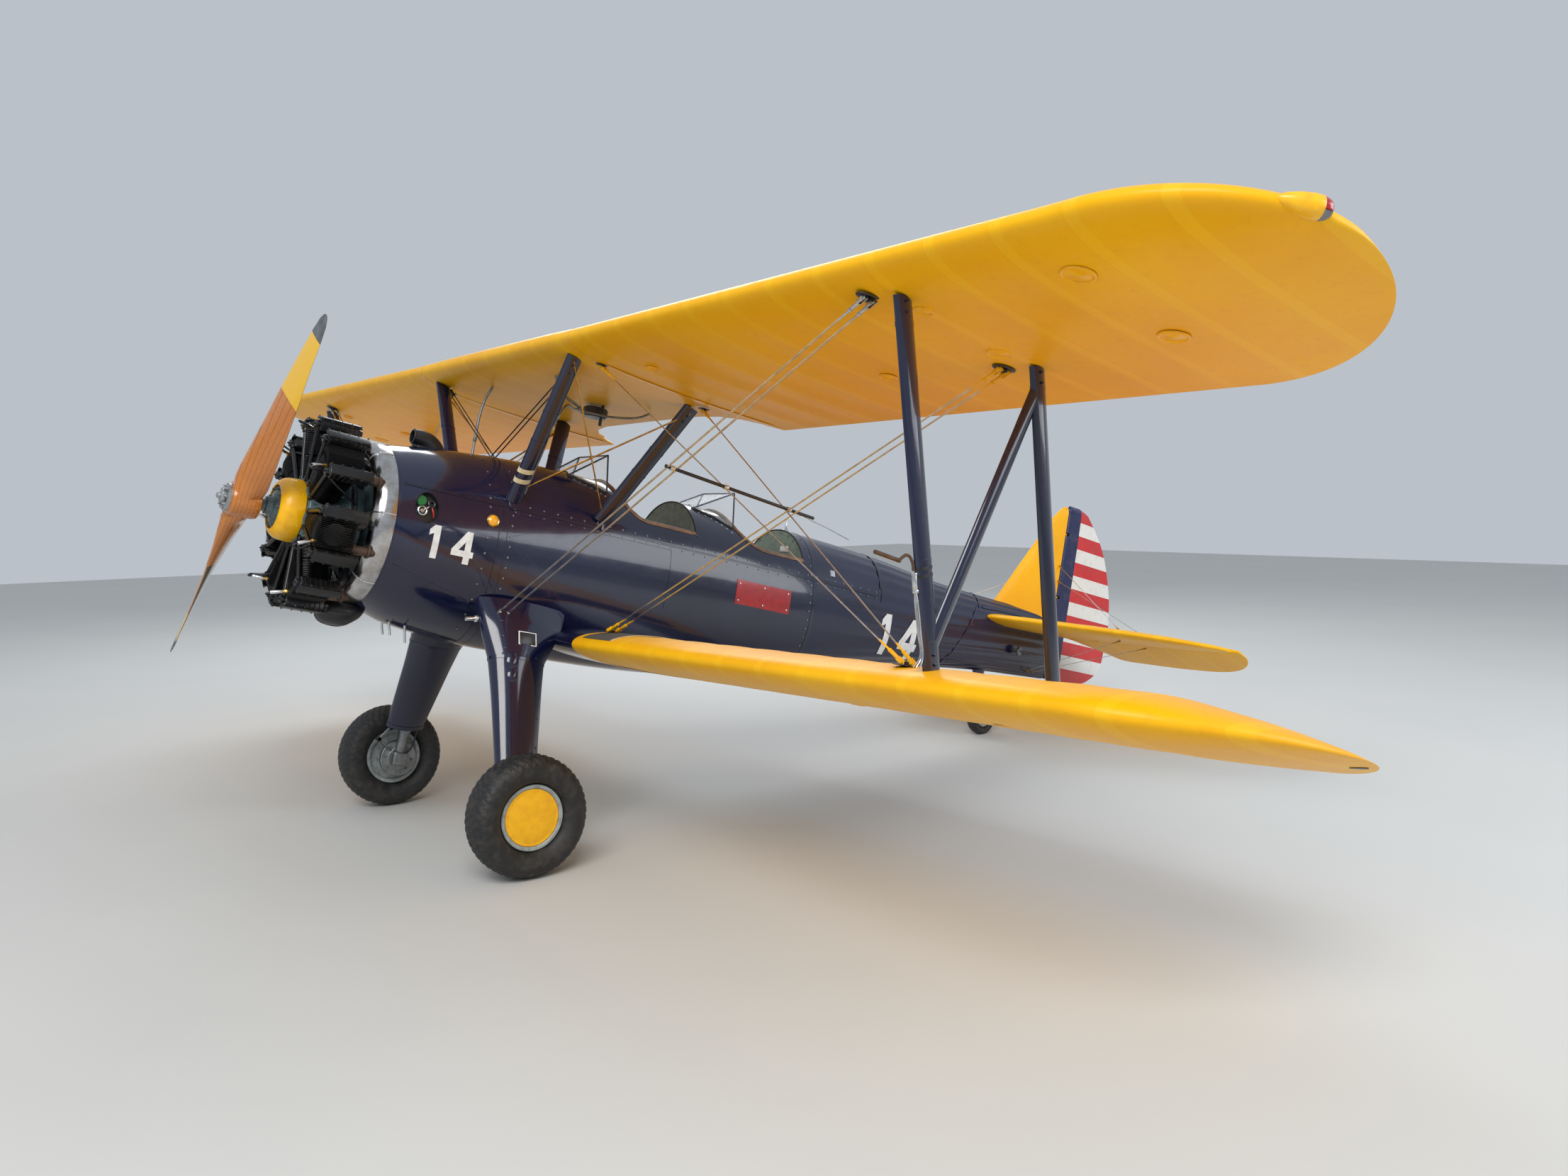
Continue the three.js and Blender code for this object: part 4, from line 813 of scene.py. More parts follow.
aileron = aileron_skin()
for share in (0.15, 0.85):
    eye_at = hinge_in.lerp(hinge_out, share)
    low = (eye_at.x - EYE_SLOT / 2, eye_at.y - 0.09, eye_at.z - 0.08)
    cut_by(aileron, block(low, (eye_at.x + EYE_SLOT / 2, eye_at.y + 0.024, eye_at.z + 0.08), soft=0))
    along = (hinge_out - hinge_in).normalized()
    aileron = joined(aileron, bar(eye_at - along * 0.02, eye_at + along * 0.02, 0.005, 12))
for side, mirror in SIDES.items():
    flap = copy_of(aileron, mirror)
    piece(flap, f"aileron_skin_{side}", "yellow_fabric", yellow_fabric, 40, body=f"{side}_aileron")
    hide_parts(f"aileron_{side}")
bpy.data.objects.remove(aileron)
print("ailerons done")

# %% [markdown]
# The centre section keeps the wing's nose but its trailing edge is drawn in, so that both seats can see up.
# The plan is a table of chords, and the rear of the section thins with the chord. It ends flush with the
# panels, where a narrow gap strip of metal covers the joint on the real aeroplane, so the strips come with
# it.

# %% Centre section
CENTRE_CHORDS = [(0.0, 1.190), (0.560, 1.195), (0.740, 1.230), (0.870, 1.310), (0.960, 1.420), (1.012, 1.524)]

def centre_chord(x):
    x = abs(x)
    for (x0, c0), (x1, c1) in zip(CENTRE_CHORDS, CENTRE_CHORDS[1:]):
        if x <= x1:
            return c0 + (c1 - c0) * (x - x0) / (x1 - x0)
    return CENTRE_CHORDS[-1][1]

def centre_place(u, v):
    end = CENTRE_CHORDS[-1][0]
    x = end * (2 * v - 1)
    share, on_top = round_the_section(u)
    top, bottom = section_heights(share)
    chord = centre_chord(x)
    thin = 1 + (chord / CHORD - 1) * share
    return wing_point(UPPER, x, share * chord / CHORD, (top if on_top else bottom) * thin)

centre = wrapped(72, 120, centre_place)
piece(centre, "centre_section_skin", "yellow_fabric", yellow_fabric, 40)
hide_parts("wing_centre_section")

def gap_strip(wing, x, width=0.045, proud=0.0012):
    """A thin band that hugs the section at a joint between two panels."""
    def place(u, v):
        share, on_top = round_the_section(0.02 + 0.96 * u)
        top, bottom = section_heights(share)
        lift = proud / CHORD
        return wing_point(wing, x + (v - 0.5) * width, share, top + lift if on_top else bottom - lift, -proud)
    strip = wrapped(90, 2, place, caps=False)
    return modified(strip, "SOLIDIFY", thickness=proud, offset=-1)

strips = [gap_strip(wing, x) for wing, x in ((UPPER, -1.014), (UPPER, 1.014), (LOWER, -0.752),
                                             (LOWER, 0.752))]
piece(joined(*strips), "wing_gap_strips", "yellow_paint", yellow_paint)
print("centre section and gap strips done")

# %% [markdown]
# The fuselage is round on top, almost flat at the sides and full below. Its section at any place is a
# rounded rectangle whose squareness changes along the length, so a table of stations and one curve give the
# skin. The table runs through the same stations as the solid; between them the values follow a smooth
# curve, because gloss paint shows every kink in its reflections.

# %% Stations of the skin
STATIONS = [
    # y, half width, top, widest line, bottom, squareness above, squareness below
    (0.660, 0.455, 0.463, 0.008, -0.447, 2.0, 2.0),
    (0.850, 0.456, 0.500, 0.005, -0.518, 2.05, 2.1),
    (1.262, 0.452, 0.548, 0.0, -0.574, 2.1, 2.3),
    (1.600, 0.449, 0.570, 0.0, -0.586, 2.15, 2.4),
    (2.200, 0.443, 0.573, 0.0, -0.590, 2.15, 2.5),
    (2.700, 0.436, 0.573, 0.0, -0.568, 2.15, 2.5),
    (3.200, 0.422, 0.573, 0.0, -0.520, 2.15, 2.4),
    (3.650, 0.402, 0.573, 0.010, -0.446, 2.15, 2.3),
    (4.400, 0.322, 0.550, 0.030, -0.318, 2.2, 2.2),
    (5.163, 0.228, 0.489, 0.060, -0.198, 2.2, 2.2),
    (5.800, 0.145, 0.469, 0.100, -0.140, 2.2, 2.2),
    (6.300, 0.082, 0.462, 0.130, -0.118, 2.2, 2.2),
    (6.650, 0.040, 0.440, 0.150, -0.104, 2.2, 2.2),
]
FIREWALL_Y, SEAT_BAY_END_Y, TAIL_POST_Y = 1.262, 3.650, 6.650

def neighbours(rows, i):
    """The rows before, at, after and two after i; the ends are repeated."""
    return [rows[max(0, min(len(rows) - 1, k))] for k in (i - 1, i, i + 1, i + 2)]

def station(y):
    """The row of values at y, on a smooth curve through the table."""
    i = 0
    while i + 2 < len(STATIONS) and y > STATIONS[i + 1][0]:
        i += 1
    before, low, high, after = neighbours(STATIONS, i)
    span = high[0] - low[0]
    share = (y - low[0]) / span
    values = []
    for k in range(1, 7):
        slope_low = (high[k] - before[k]) / max(high[0] - before[0], 1e-6) * span
        slope_high = (after[k] - low[k]) / max(after[0] - low[0], 1e-6) * span
        a = 2 * share**3 - 3 * share**2 + 1
        b = share**3 - 2 * share**2 + share
        values.append(a * low[k] + b * slope_low + (1 - a) * high[k] + (share**3 - share**2) * slope_high)
    return values

def skin_ring(y, angle, grow=0.0):
    """A point on the skin; the angle runs from port over the top."""
    half, top, wide, bottom, above, below = station(y)
    upper_half = math.sin(angle) >= 0
    power = 2 / (above if upper_half else below)
    height = (top - wide if upper_half else wide - bottom) + grow
    x = (half + grow) * math.copysign(abs(math.cos(angle)) ** power, math.cos(angle))
    z = wide + height * math.copysign(abs(math.sin(angle)) ** power, math.sin(angle))
    return Vector((x, y, z))

def skin_at(y, z, side=1, grow=0.0):
    """The place and the outward direction on the skin at a height; side 1 is port."""
    half, top, wide, bottom, above, below = station(y)
    if z >= wide:
        angle = math.asin(min(1.0, ((z - wide) / (top - wide)) ** (above / 2)))
    else:
        angle = -math.asin(min(1.0, ((wide - z) / (wide - bottom)) ** (below / 2)))
    spot, step = skin_ring(y, angle, grow), 0.004
    around = skin_ring(y, angle + 0.01) - skin_ring(y, angle - 0.01)
    along = skin_ring(y + step, angle) - skin_ring(y - step, angle)
    normal = around.cross(along).normalized()
    if normal.x < 0:
        normal = -normal
    return Vector((spot.x * side, spot.y, spot.z)), Vector((normal.x * side, normal.y, normal.z))

spot, normal = skin_at(2.0, 0.2)
print("skin at y 2.0, z 0.2:", [round(value, 3) for value in spot])

# %% [markdown]
# Nose cowl and cockpit part are beaten sheet; the tail part is cloth over long stringers, so its skin dips
# between them like the wing's. All three are the same wrapped grid, with more rows where the curve is
# quick.

# %% Three lengths of skin
STRINGERS = 28
STRINGER_SAG = 0.0045
def skin_length(begin, end, rows, columns=112, grow=0.0, stringers=False):
    def place(u, v):
        y = begin + (end - begin) * v
        angle = 2 * math.pi * u
        if not stringers:
            return skin_ring(y, angle, grow)
        fade = min(1.0, (y - begin) / 0.7)
        return skin_ring(y, angle, grow - STRINGER_SAG * fade * math.sin(angle * STRINGERS / 2) ** 2)
    return wrapped(columns, rows, place)

cowl = skin_length(0.6604, FIREWALL_Y - 0.0004, 30)
piece(cowl, "nose_cowl_skin", "navy_panel", navy_panel, 40)
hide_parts("nose_cowl")

tail = skin_length(SEAT_BAY_END_Y + 0.0004, TAIL_POST_Y, 110, 168, stringers=True)
piece(tail, "rear_fuselage_skin", "navy_fabric", navy_fabric, 40)
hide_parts("fuselage_rear")
print("cowl", len(cowl.data.polygons), "tail", len(tail.data.polygons), "faces")

# %% [markdown]
# Each seat has an opening whose side view is a slope from the deck down to a level sill, ending at an
# upright bulkhead. So the cut is a side view pushed across the whole width: a face is drawn from the
# slope's points, extruded, and taken out of the skin with a boolean. The inside of the skin then gets the
# cockpit's own paint.

# %% Cockpit part with its two openings
COCKPITS = {
    # name: front edge, length of the slope, rear edge
    "front": (2.030, 0.220, 2.620),
    "rear": (2.900, 0.320, 3.540),
}
SILL_Z, WALL = 0.353, 0.018
SLOPE_TOP_Z = 0.640

def slope_points(front, slope, steps=12):
    """The cut's front edge from the deck down to the sill, a quarter of an ellipse."""
    points = []
    for i in range(steps + 1):
        angle = math.pi / 2 * i / steps
        y = front + slope * (1 - math.cos(angle))
        points.append((y, SLOPE_TOP_Z - (SLOPE_TOP_Z - SILL_Z) * math.sin(angle)))
    return points

def opening_cutter(front, slope, rear):
    outline = slope_points(front, slope) + [(rear, SILL_Z), (rear, 0.8), (front, 0.8)]
    obj = line_mesh([(-0.5, y, z) for y, z in outline])
    pick(obj, "VERT", lambda point: True)
    bpy.ops.mesh.edge_face_add()
    bpy.ops.mesh.extrude_region_move(TRANSFORM_OT_translate={"value": (1.0, 0, 0)})
    close(obj)
    return outward(obj)

cabin = skin_length(FIREWALL_Y, SEAT_BAY_END_Y, 120)
hollow = skin_length(FIREWALL_Y + 0.04, SEAT_BAY_END_Y - 0.05, 60, 84, -WALL)
for front, slope, rear in COCKPITS.values():
    cut_by(hollow, block((-0.5, rear, 0.3), (0.5, rear + 0.014, 0.7), soft=0))
cut_by(cabin, hollow)
for cockpit in COCKPITS.values():
    cut_by(cabin, opening_cutter(*cockpit))

def is_inside(face):
    """True for the walls that look into the cockpits."""
    y = min(max(face.center.y, 0.67), 6.6)
    half, top, wide, bottom, above, below = station(y)
    up = face.center.z >= wide
    height, power = (top - wide, above) if up else (wide - bottom, below)
    reach = (abs(face.center.x) / half) ** power + (abs(face.center.z - wide) / height) ** power
    return reach < 0.975

piece(cabin, "cockpit_skin", "navy_panel", [navy_panel, cockpit_green], 35, level=False)
for face in cabin.data.polygons:
    face.material_index = 1 if is_inside(face) else 0
moved(cabin, LEVEL)
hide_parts("fuselage_front")
print("cabin:", len(cabin.data.polygons), "faces")

# %% [markdown]
# Over the sheet lie the things that make it an aeroplane's: the band round the firewall, hinge strips along
# the edges of the panels, seams and rows of screws. Thin black strips along the seams are painted shade,
# for the shadow in the gaps between panels. A strip is a narrow grid laid on the skin and given a
# thickness; a screw is one modelled head, copied along a line with its axis on the skin's own direction.

# %% Strips and screws on the skin
SCREW_LIFT = 0.0015
def skin_strip(line, width, thickness=0.0016, side=1, lift=0.0, rows=60):
    """line(t) gives (y, z) for t from 0 to 1; the strip lies along it."""
    def place(u, v):
        y0, z0 = line(max(0.0, v - 0.01))
        y1, z1 = line(min(1.0, v + 0.01))
        length = math.hypot(y1 - y0, z1 - z0)
        y, z = line(v)
        shift = (u - 0.5) * width
        spot, normal = skin_at(y - (z1 - z0) / length * shift, z + (y1 - y0) / length * shift, side, lift)
        return spot + normal * thickness
    strip = wrapped(2, rows, place, caps=False)
    return modified(strip, "SOLIDIFY", thickness=thickness, offset=-1)

def straight(y0, z0, y1, z1):
    return lambda t: (y0 + (y1 - y0) * t, z0 + (z1 - z0) * t)

def band_round(y, width, thickness=0.0016, grow=0.0, from_angle=0.0, to_angle=2 * math.pi):
    """A band that goes round the fuselage at y."""
    def place(u, v):
        return skin_ring(y + (v - 0.5) * width, from_angle + (to_angle - from_angle) * u, grow + thickness)
    strip = wrapped(120, 2, place, caps=False)
    return modified(strip, "SOLIDIFY", thickness=thickness, offset=-1)

def screw_head(radius=0.006, height=0.0022):
    """A slotted, domed head, its foot at the origin."""
    head = start("cylinder", vertices=12, radius=radius, depth=height, location=(0, 0, height / 2))
    freed(head)
    pick(head, "FACE", lambda face: face.normal.z > 0.9)
    bpy.ops.mesh.inset(thickness=radius * 0.35, depth=0)
    bpy.ops.transform.translate(value=(0, 0, radius * 0.18))
    close(head)
    return head

def screws_at(spots, radius=0.006, lift=0.0):
    """Screws at places, each a spot and the direction it looks in."""
    return scattered(screw_head(radius), [aim(spot + Vector(normal) * lift, normal) for spot,
                                          normal in spots])

def screws_along(line, count, side=1, radius=0.006):
    return screws_at([skin_at(*line(i / (count - 1)), side) for i in range(count)], radius, SCREW_LIFT)

UPPER_SEAM_Z = 0.245
SCREW_ROWS = [
    # y, from z, to z, how many
    (1.325, 0.20, -0.46, 12), (1.325, 0.27, 0.52, 5), (3.60, 0.20, -0.46, 12), (3.60, 0.27, 0.52, 5),
    (1.185, 0.22, -0.48, 9), (1.185, 0.27, 0.50, 4),
]
strips, screws, gap_shade_strips = [], [], []
for side in (1, -1):
    upper_seam = straight(0.69, UPPER_SEAM_Z, 4.30, UPPER_SEAM_Z)
    strips.append(skin_strip(upper_seam, 0.016, 0.003, side, rows=160))
    # black strips along each seam: painted shade for the shadow in the panel gaps
    gap_shade_strips.append(skin_strip(upper_seam, 0.004, 0.0036, side, rows=160))
    gap_shade_strips.append(skin_strip(straight(4.345, 0.20, 4.345, 0.36), 0.004, 0.0022, side, rows=20))
    for y0, z0, y1, z1 in ((1.36, -0.16, 2.42, -0.16), (2.42, -0.16, 2.42, 0.22), (3.66, 0.16, 4.30, 0.16)):
        gap_shade_strips.append(skin_strip(straight(y0, z0, y1, z1), 0.0035, 0.0006, side))
    strips.append(skin_strip(straight(0.70, -0.20, 1.22, -0.34), 0.014, 0.003, side))
    screws.append(screws_along(straight(1.34, UPPER_SEAM_Z + 0.022, 4.28, UPPER_SEAM_Z + 0.022), 34, side,
                               0.0055))
    screws.append(screws_along(straight(1.34, UPPER_SEAM_Z - 0.022, 4.28, UPPER_SEAM_Z - 0.022), 34, side,
                               0.0045))
    for y, z0, z1, count in SCREW_ROWS:
        screws.append(screws_along(straight(y, z0, y, z1), count, side))
strips += [band_round(1.275, 0.045), band_round(0.685, 0.03), band_round(3.640, 0.03, 0.0012)]
strips.append(band_round(4.345, 0.03, 0.0015, from_angle=0.5, to_angle=math.pi - 0.5))
piece(joined(*strips), "skin_seam_strips", "navy_panel", navy_strut)
# black bands round the fuselage: painted shade in the gaps at the panel joints
gap_shade_strips += [band_round(at, 0.0035, thickness) for at,
         thickness in ((1.2505, 0.002), (1.2995, 0.002), (3.6235, 0.0015))]
gap_shade_strips.append(band_round(4.331, 0.004, 0.0019, from_angle=0.5, to_angle=math.pi - 0.5))
piece(joined(*gap_shade_strips), "seam_gap_shade", "black_metal", black_metal)
piece(joined(*screws), "skin_screws", "bare_steel", dull_alloy)
print("strips and screws on the skin")

# %% [markdown]
# The engine hangs open in front: seven black finned cylinders round a grey-green crankcase. A cylinder is a
# turned part whose profile runs in and out for every fin, so one spin gives barrel and fins together. The
# two rocker boxes, their covers and bolts, the pushrod tubes and the plugs are modelled once at the top
# cylinder, joined to one pattern, and copied round the shaft.

# %% Crankcase
ENGINE_Y = 0.365
CYLINDERS = 7
ROCKER_ANGLE = math.radians(13.5)
AHEAD, ABOVE = Vector((0, -1, 0)), Vector((0, 0, 1))
THRUST = Vector((0, 1, 0))

def round_shaft(angle, radius, y, across=0.0):
    """A place at a radius from the shaft, the angle measured from straight up towards port."""
    x = radius * math.sin(angle) + across * math.cos(angle)
    return Vector((x, y, radius * math.cos(angle) - across * math.sin(angle)))

crankcase = turned([
    # radius, distance aft of the propeller
    (0, 0.062), (0.028, 0.062), (0.029, 0.119), (0.048, 0.120), (0.050, 0.150), (0.085, 0.160),
    (0.121, 0.178),
    (0.121, 0.284), (0.170, 0.286), (0.182, 0.300), (0.182, 0.436), (0.205, 0.446), (0.255, 0.476),
    (0.262, 0.486), (0.262, 0.556), (0.240, 0.566),
    (0.150, 0.596), (0.140, 0.602), (0.322, 0.645), (0.325, 0.659), (0, 0.659),
], axis=THRUST, steps=48)
modified(crankcase, "BEVEL", width=0.003, segments=2, limit_method="ANGLE")

case_bolts = []
stud = joined(peg(-0.004, 0.010, 0.006, 6, 0.001), peg(0, 0.016, 0.0035, 8))
for ring_radius, y, count in ((0.150, 0.285, 14), (0.222, 0.456, 21), (0.100, 0.166, 10)):
    case_bolts += [aim(round_shaft(angle, ring_radius, y), AHEAD) for angle in turns(count, 0.5)]
bolts = scattered(stud, case_bolts)

PAD_SECTION = [(0, 0.155), (0.088, 0.158), (0.090, 0.176), (0.082, 0.180), (0, 0.181)]
pads = [turned(PAD_SECTION, (0, ENGINE_Y, 0), round_shaft(angle, 1, 0), 32) for angle in turns(CYLINDERS)]
piece(joined(crankcase, bolts, *pads), "crankcase", "engine_metal", crankcase_teal, 30)
print("crankcase:", len(case_bolts), "studs")

# %% [markdown]
# The top cylinder is modelled with everything that belongs to it: barrel and fins, head, two rocker boxes
# with their bolts, and the two pushrod tubes. The pattern is then copied seven times, each copy turned by a
# seventh of a turn about the thrust line.

# %% One cylinder at the top, then seven
def finned_profile():
    """Radius and height of barrel and head, in and out for every fin."""
    profile = [(0, 0.178), (0.078, 0.178), (0.078, 0.186), (0.066, 0.190)]
    fins = [(0.194 + 0.0088 * i, 0.064, 0.083 + 0.0007 * i) for i in range(13)]
    fins += [(0.316 + 0.0105 * i, 0.078, 0.096 + 0.0012 * min(i, 6)) for i in range(13)]
    for height, core, rim in fins:
        profile += [(core, height), (rim, height + 0.0012), (rim, height + 0.0030), (core, height + 0.0044)]
    return profile + [(0.074, 0.455), (0.060, 0.470), (0, 0.474)]

BOX_LUGS = [ENGINE_Y + y for y in (-0.084, -0.030, 0.022, 0.074, 0.124)]
BOX_RIBS = [ENGINE_Y + y for y in (-0.060, -0.034, -0.008, 0.018, 0.044, 0.070, 0.096)]
def rocker_box(side):
    """One box on the head, its cover with bolts, and the nut where the pushrod tube enters."""
    turn = Matrix.Rotation(side * ROCKER_ANGLE, 4, THRUST)
    front, rear, reach = ENGINE_Y - 0.096, ENGINE_Y + 0.136, 0.500
    body = block((-0.026, front + 0.012, 0.455), (0.026, rear - 0.012, reach + 0.020), 0.010, 3)
    cover = block((-0.028, front + 0.004, reach + 0.021), (0.028, rear - 0.004, reach + 0.032), 0.008, 3)
    flange = block((-0.030, front + 0.001, reach + 0.015), (0.030, rear - 0.001, reach + 0.0215), 0.003, 2)
    lugs = scattered(peg(0, 0.009, 0.0105, 8, 0.001),
                     [Matrix.Translation((x, y, reach + 0.0145)) for x in (-0.027, 0.027) for y in BOX_LUGS])
    ribs = [block((-0.0285, y - 0.0022, 0.462), (0.0285, y + 0.0022, reach + 0.015), 0.001, 1)
            for y in BOX_RIBS]
    boss = bar((0, front - 0.010, reach - 0.012), (0, front + 0.03, reach - 0.012), 0.021, 20, 0.003)
    rear_boss = bar((0, rear - 0.03, reach - 0.012), (0, rear + 0.008, reach - 0.012), 0.021, 20, 0.003)
    head = joined(peg(0, 0.008, 0.0062, 6, 0.001), peg(0.006, 0.012, 0.0032, 8))
    spots = [aim((x, y, reach + 0.023), ABOVE) for x in (-0.030, 0.030) for y in BOX_LUGS]
    spots.append(aim((0, front - 0.008, reach - 0.012), AHEAD))
    nuts = scattered(head, spots)
    box = joined(body, cover, flange, lugs, boss, rear_boss, nuts, *ribs)
    return moved(box, turn)

def plug_and_tube(side):
    turn = Matrix.Rotation(side * ROCKER_ANGLE, 4, THRUST)
    tube_line = [(0, ENGINE_Y - 0.070, 0.176), (0, ENGINE_Y - 0.086, 0.470)]
    pushrod = tube(tube_line, 0.0105, 5)
    collar_low = bar((0, ENGINE_Y - 0.069, 0.172), (0, ENGINE_Y - 0.071, 0.200), 0.016, 16, 0.002)
    collar_high = bar((0, ENGINE_Y - 0.084, 0.455), (0, ENGINE_Y - 0.087, 0.482), 0.017, 16, 0.002)
    return moved(joined(pushrod, collar_low, collar_high), turn)

barrel = turned(finned_profile(), (0, ENGINE_Y, 0), ABOVE, 32)
head_core = block((-0.058, ENGINE_Y - 0.056, 0.425), (0.058, ENGINE_Y + 0.082, 0.466), 0.012, 3)
head_fins = [block((x - 0.0013, ENGINE_Y - 0.088, 0.430),
                   (x + 0.0013, ENGINE_Y + 0.104, 0.492 - abs(x) * 0.2), 0.0008, 1)
             for x in [0.0095 * i for i in range(-8, 9)]]
pattern = joined(barrel, head_core, *head_fins, rocker_box(1), rocker_box(-1), plug_and_tube(1),
                 plug_and_tube(-1))
around = [Matrix.Rotation(angle, 4, THRUST) for angle in turns(CYLINDERS)]
cylinders = scattered(pattern, around)
piece(cylinders, "finned_cylinders", "engine_metal", cylinder_black, 30)
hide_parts("engine")
print("cylinders:", len(cylinders.data.polygons), "faces")

# %% [markdown]
# Every cylinder has a plug in front with a bright socket, whose dark lead loops to the harness ring behind
# the crankcase. The brown stub that carries the exhaust goes aft into the polished ring.

# %% Plugs, leads and exhaust stubs
def behind_head(*rows):
    """Places beside and behind the top cylinder: across, distance aft of its middle, height."""
    return [Vector((x, ENGINE_Y + y, z)) for x, y, z in rows]

def front_plug():
    at, way = Vector((0.052, ENGINE_Y - 0.082, 0.452)), Vector((0.35, -1, 0.12)).normalized()
    end = at + way * 0.030
    return joined(bar(at, at + way * 0.020, 0.011, 6, 0.001),
                  bar(at + way * 0.018, end, 0.008, 16, 0.001)), end, way

shell, plug_end, way = front_plug()
plugs = scattered(shell, around)
piece(plugs, "spark_plugs", "bare_steel", brass)

PLUG_SOCKET = 0.060
insulator = bar(plug_end - way * 0.002, plug_end + way * PLUG_SOCKET, 0.0095, 20, 0.002)
piece(scattered(insulator, around), "plug_sockets", "engine_metal", bright_steel)

lead_start = plug_end + way * (PLUG_SOCKET - 0.004)
lead_line = [lead_start, lead_start + way * 0.02 + Vector((0.010, 0, 0.004))]
lead_line += behind_head((0.088, -0.090, 0.440), (0.112, -0.030, 0.395), (0.118, 0.060, 0.330),
                         (0.105, 0.130, 0.262))
lead = tube(lead_line, 0.0055, 3, smooth=True)
leads = scattered(lead, around)
harness = turned([(0.250, 0.492), (0.262, 0.484), (0.274, 0.492), (0.274, 0.510), (0.262, 0.518),
                  (0.250, 0.510),
                  (0.250, 0.492)], axis=THRUST, steps=64)
piece(joined(leads, harness), "ignition_leads", "engine_metal", dark_steel)

stub_line = behind_head((0.046, 0.030, 0.428), (0.064, 0.078, 0.430), (0.066, 0.130, 0.432),
                        (0.065, 0.185, 0.428),
                        (0.064, 0.245, 0.412))
stub_clamp = bar(*behind_head((0.063, 0.105, 0.430), (0.064, 0.122, 0.429)), 0.033, 24, 0.003)
stubs = scattered(joined(tube(stub_line, 0.027, 6, smooth=True), stub_clamp), around)
piece(stubs, "exhaust_stubs", "engine_metal", burnt_pipe)

intake_line = behind_head((-0.050, 0.070, 0.425), (-0.062, 0.135, 0.418), (-0.060, 0.172, 0.330),
                          (-0.030, 0.165, 0.235))
intake = tube(intake_line, 0.021, 6, smooth=True)
piece(scattered(intake, around), "intake_pipes", "engine_metal", black_metal)
print("plugs, leads, stubs and intakes done")

# %% [markdown]
# The exhaust ring is a hollow collector of polished sheet, made in short lengths that are clamped together.
# It is spun from its section, then the round inlets get dark rims and the clamps become thin bands.

# %% Polished exhaust ring
RING_Z = 0.008
RING_SECTION = [(0.332, 0.600), (0.350, 0.572), (0.372, 0.555), (0.388, 0.549), (0.404, 0.550),
                (0.422, 0.558),
                (0.440, 0.578), (0.451, 0.603), (0.455, 0.630), (0.455, 0.6598), (0.400, 0.6598),
                (0.340, 0.640),
                (0.332, 0.600)]
ring = turned(RING_SECTION, (0, 0, RING_Z), THRUST, 128)
piece(ring, "exhaust_ring_skin", "polished_ring", polished_ring, 50)
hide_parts("exhaust_ring")

clamps = []
middle = Vector((0, 0, RING_Z))
outline = [(radius * 1.004, y - 0.0012) for radius, y in RING_SECTION[1:10]]
for angle in turns(CYLINDERS, 0.62):
    clamps.append(tube([middle + round_shaft(angle, radius, y) for radius, y in outline], 0.0035, 2))
    bolt_at = middle + round_shaft(angle, 0.446, 0.585)
    clamps.append(bar(bolt_at - Vector((0, 0.006, 0)), bolt_at + Vector((0, 0.006, 0)), 0.006, 6, 0.001))
piece(joined(*clamps), "ring_clamps", "polished_ring", bright_steel)

RIM_RING = [(0.029, -0.006), (0.037, -0.004), (0.038, 0.004), (0.031, 0.014), (0.029, 0.014), (0.029, -0.006)]
rims = [turned(RIM_RING, round_shaft(angle, 0.423, ENGINE_Y + 0.196, 0.064), THRUST, 32)
        for angle in turns(CYLINDERS)]
piece(joined(*rims), "inlet_rims", "engine_metal", burnt_pipe)

dome = turned([(0.121, 0.1635), (0.130, 0.1637), (0.140, 0.168), (0.153, 0.181), (0.1625, 0.194),
               (0.168, 0.212),
               (0.171, 0.240), (0.172, 0.276), (0.170, 0.282), (0.164, 0.282), (0.162, 0.276), (0.161, 0.240),
               (0.156, 0.206), (0.140, 0.186), (0.121, 0.176), (0.121, 0.1635)], axis=THRUST, steps=96)
dome_screws = screws_at([(round_shaft(angle, 0.1705, 0.262), round_shaft(angle, 1, 0))
                         for angle in turns(12)], 0.0045)
piece(joined(dome, dome_screws), "nose_dome_skin", "yellow_paint", yellow_paint)
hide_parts("nose_dome")
print("ring, clamps and dome done")

# %% [markdown]
# The propeller is planks of wood glued side by side and carved, so its finish is rings of a few flat layers
# cut through at an angle. The blade is a wrapped grid along a table of stations, twisted by its pitch. Tips
# and blades are painted yellow towards the tips and dark on their rear faces, and a riveted sheath covers
# each tip.

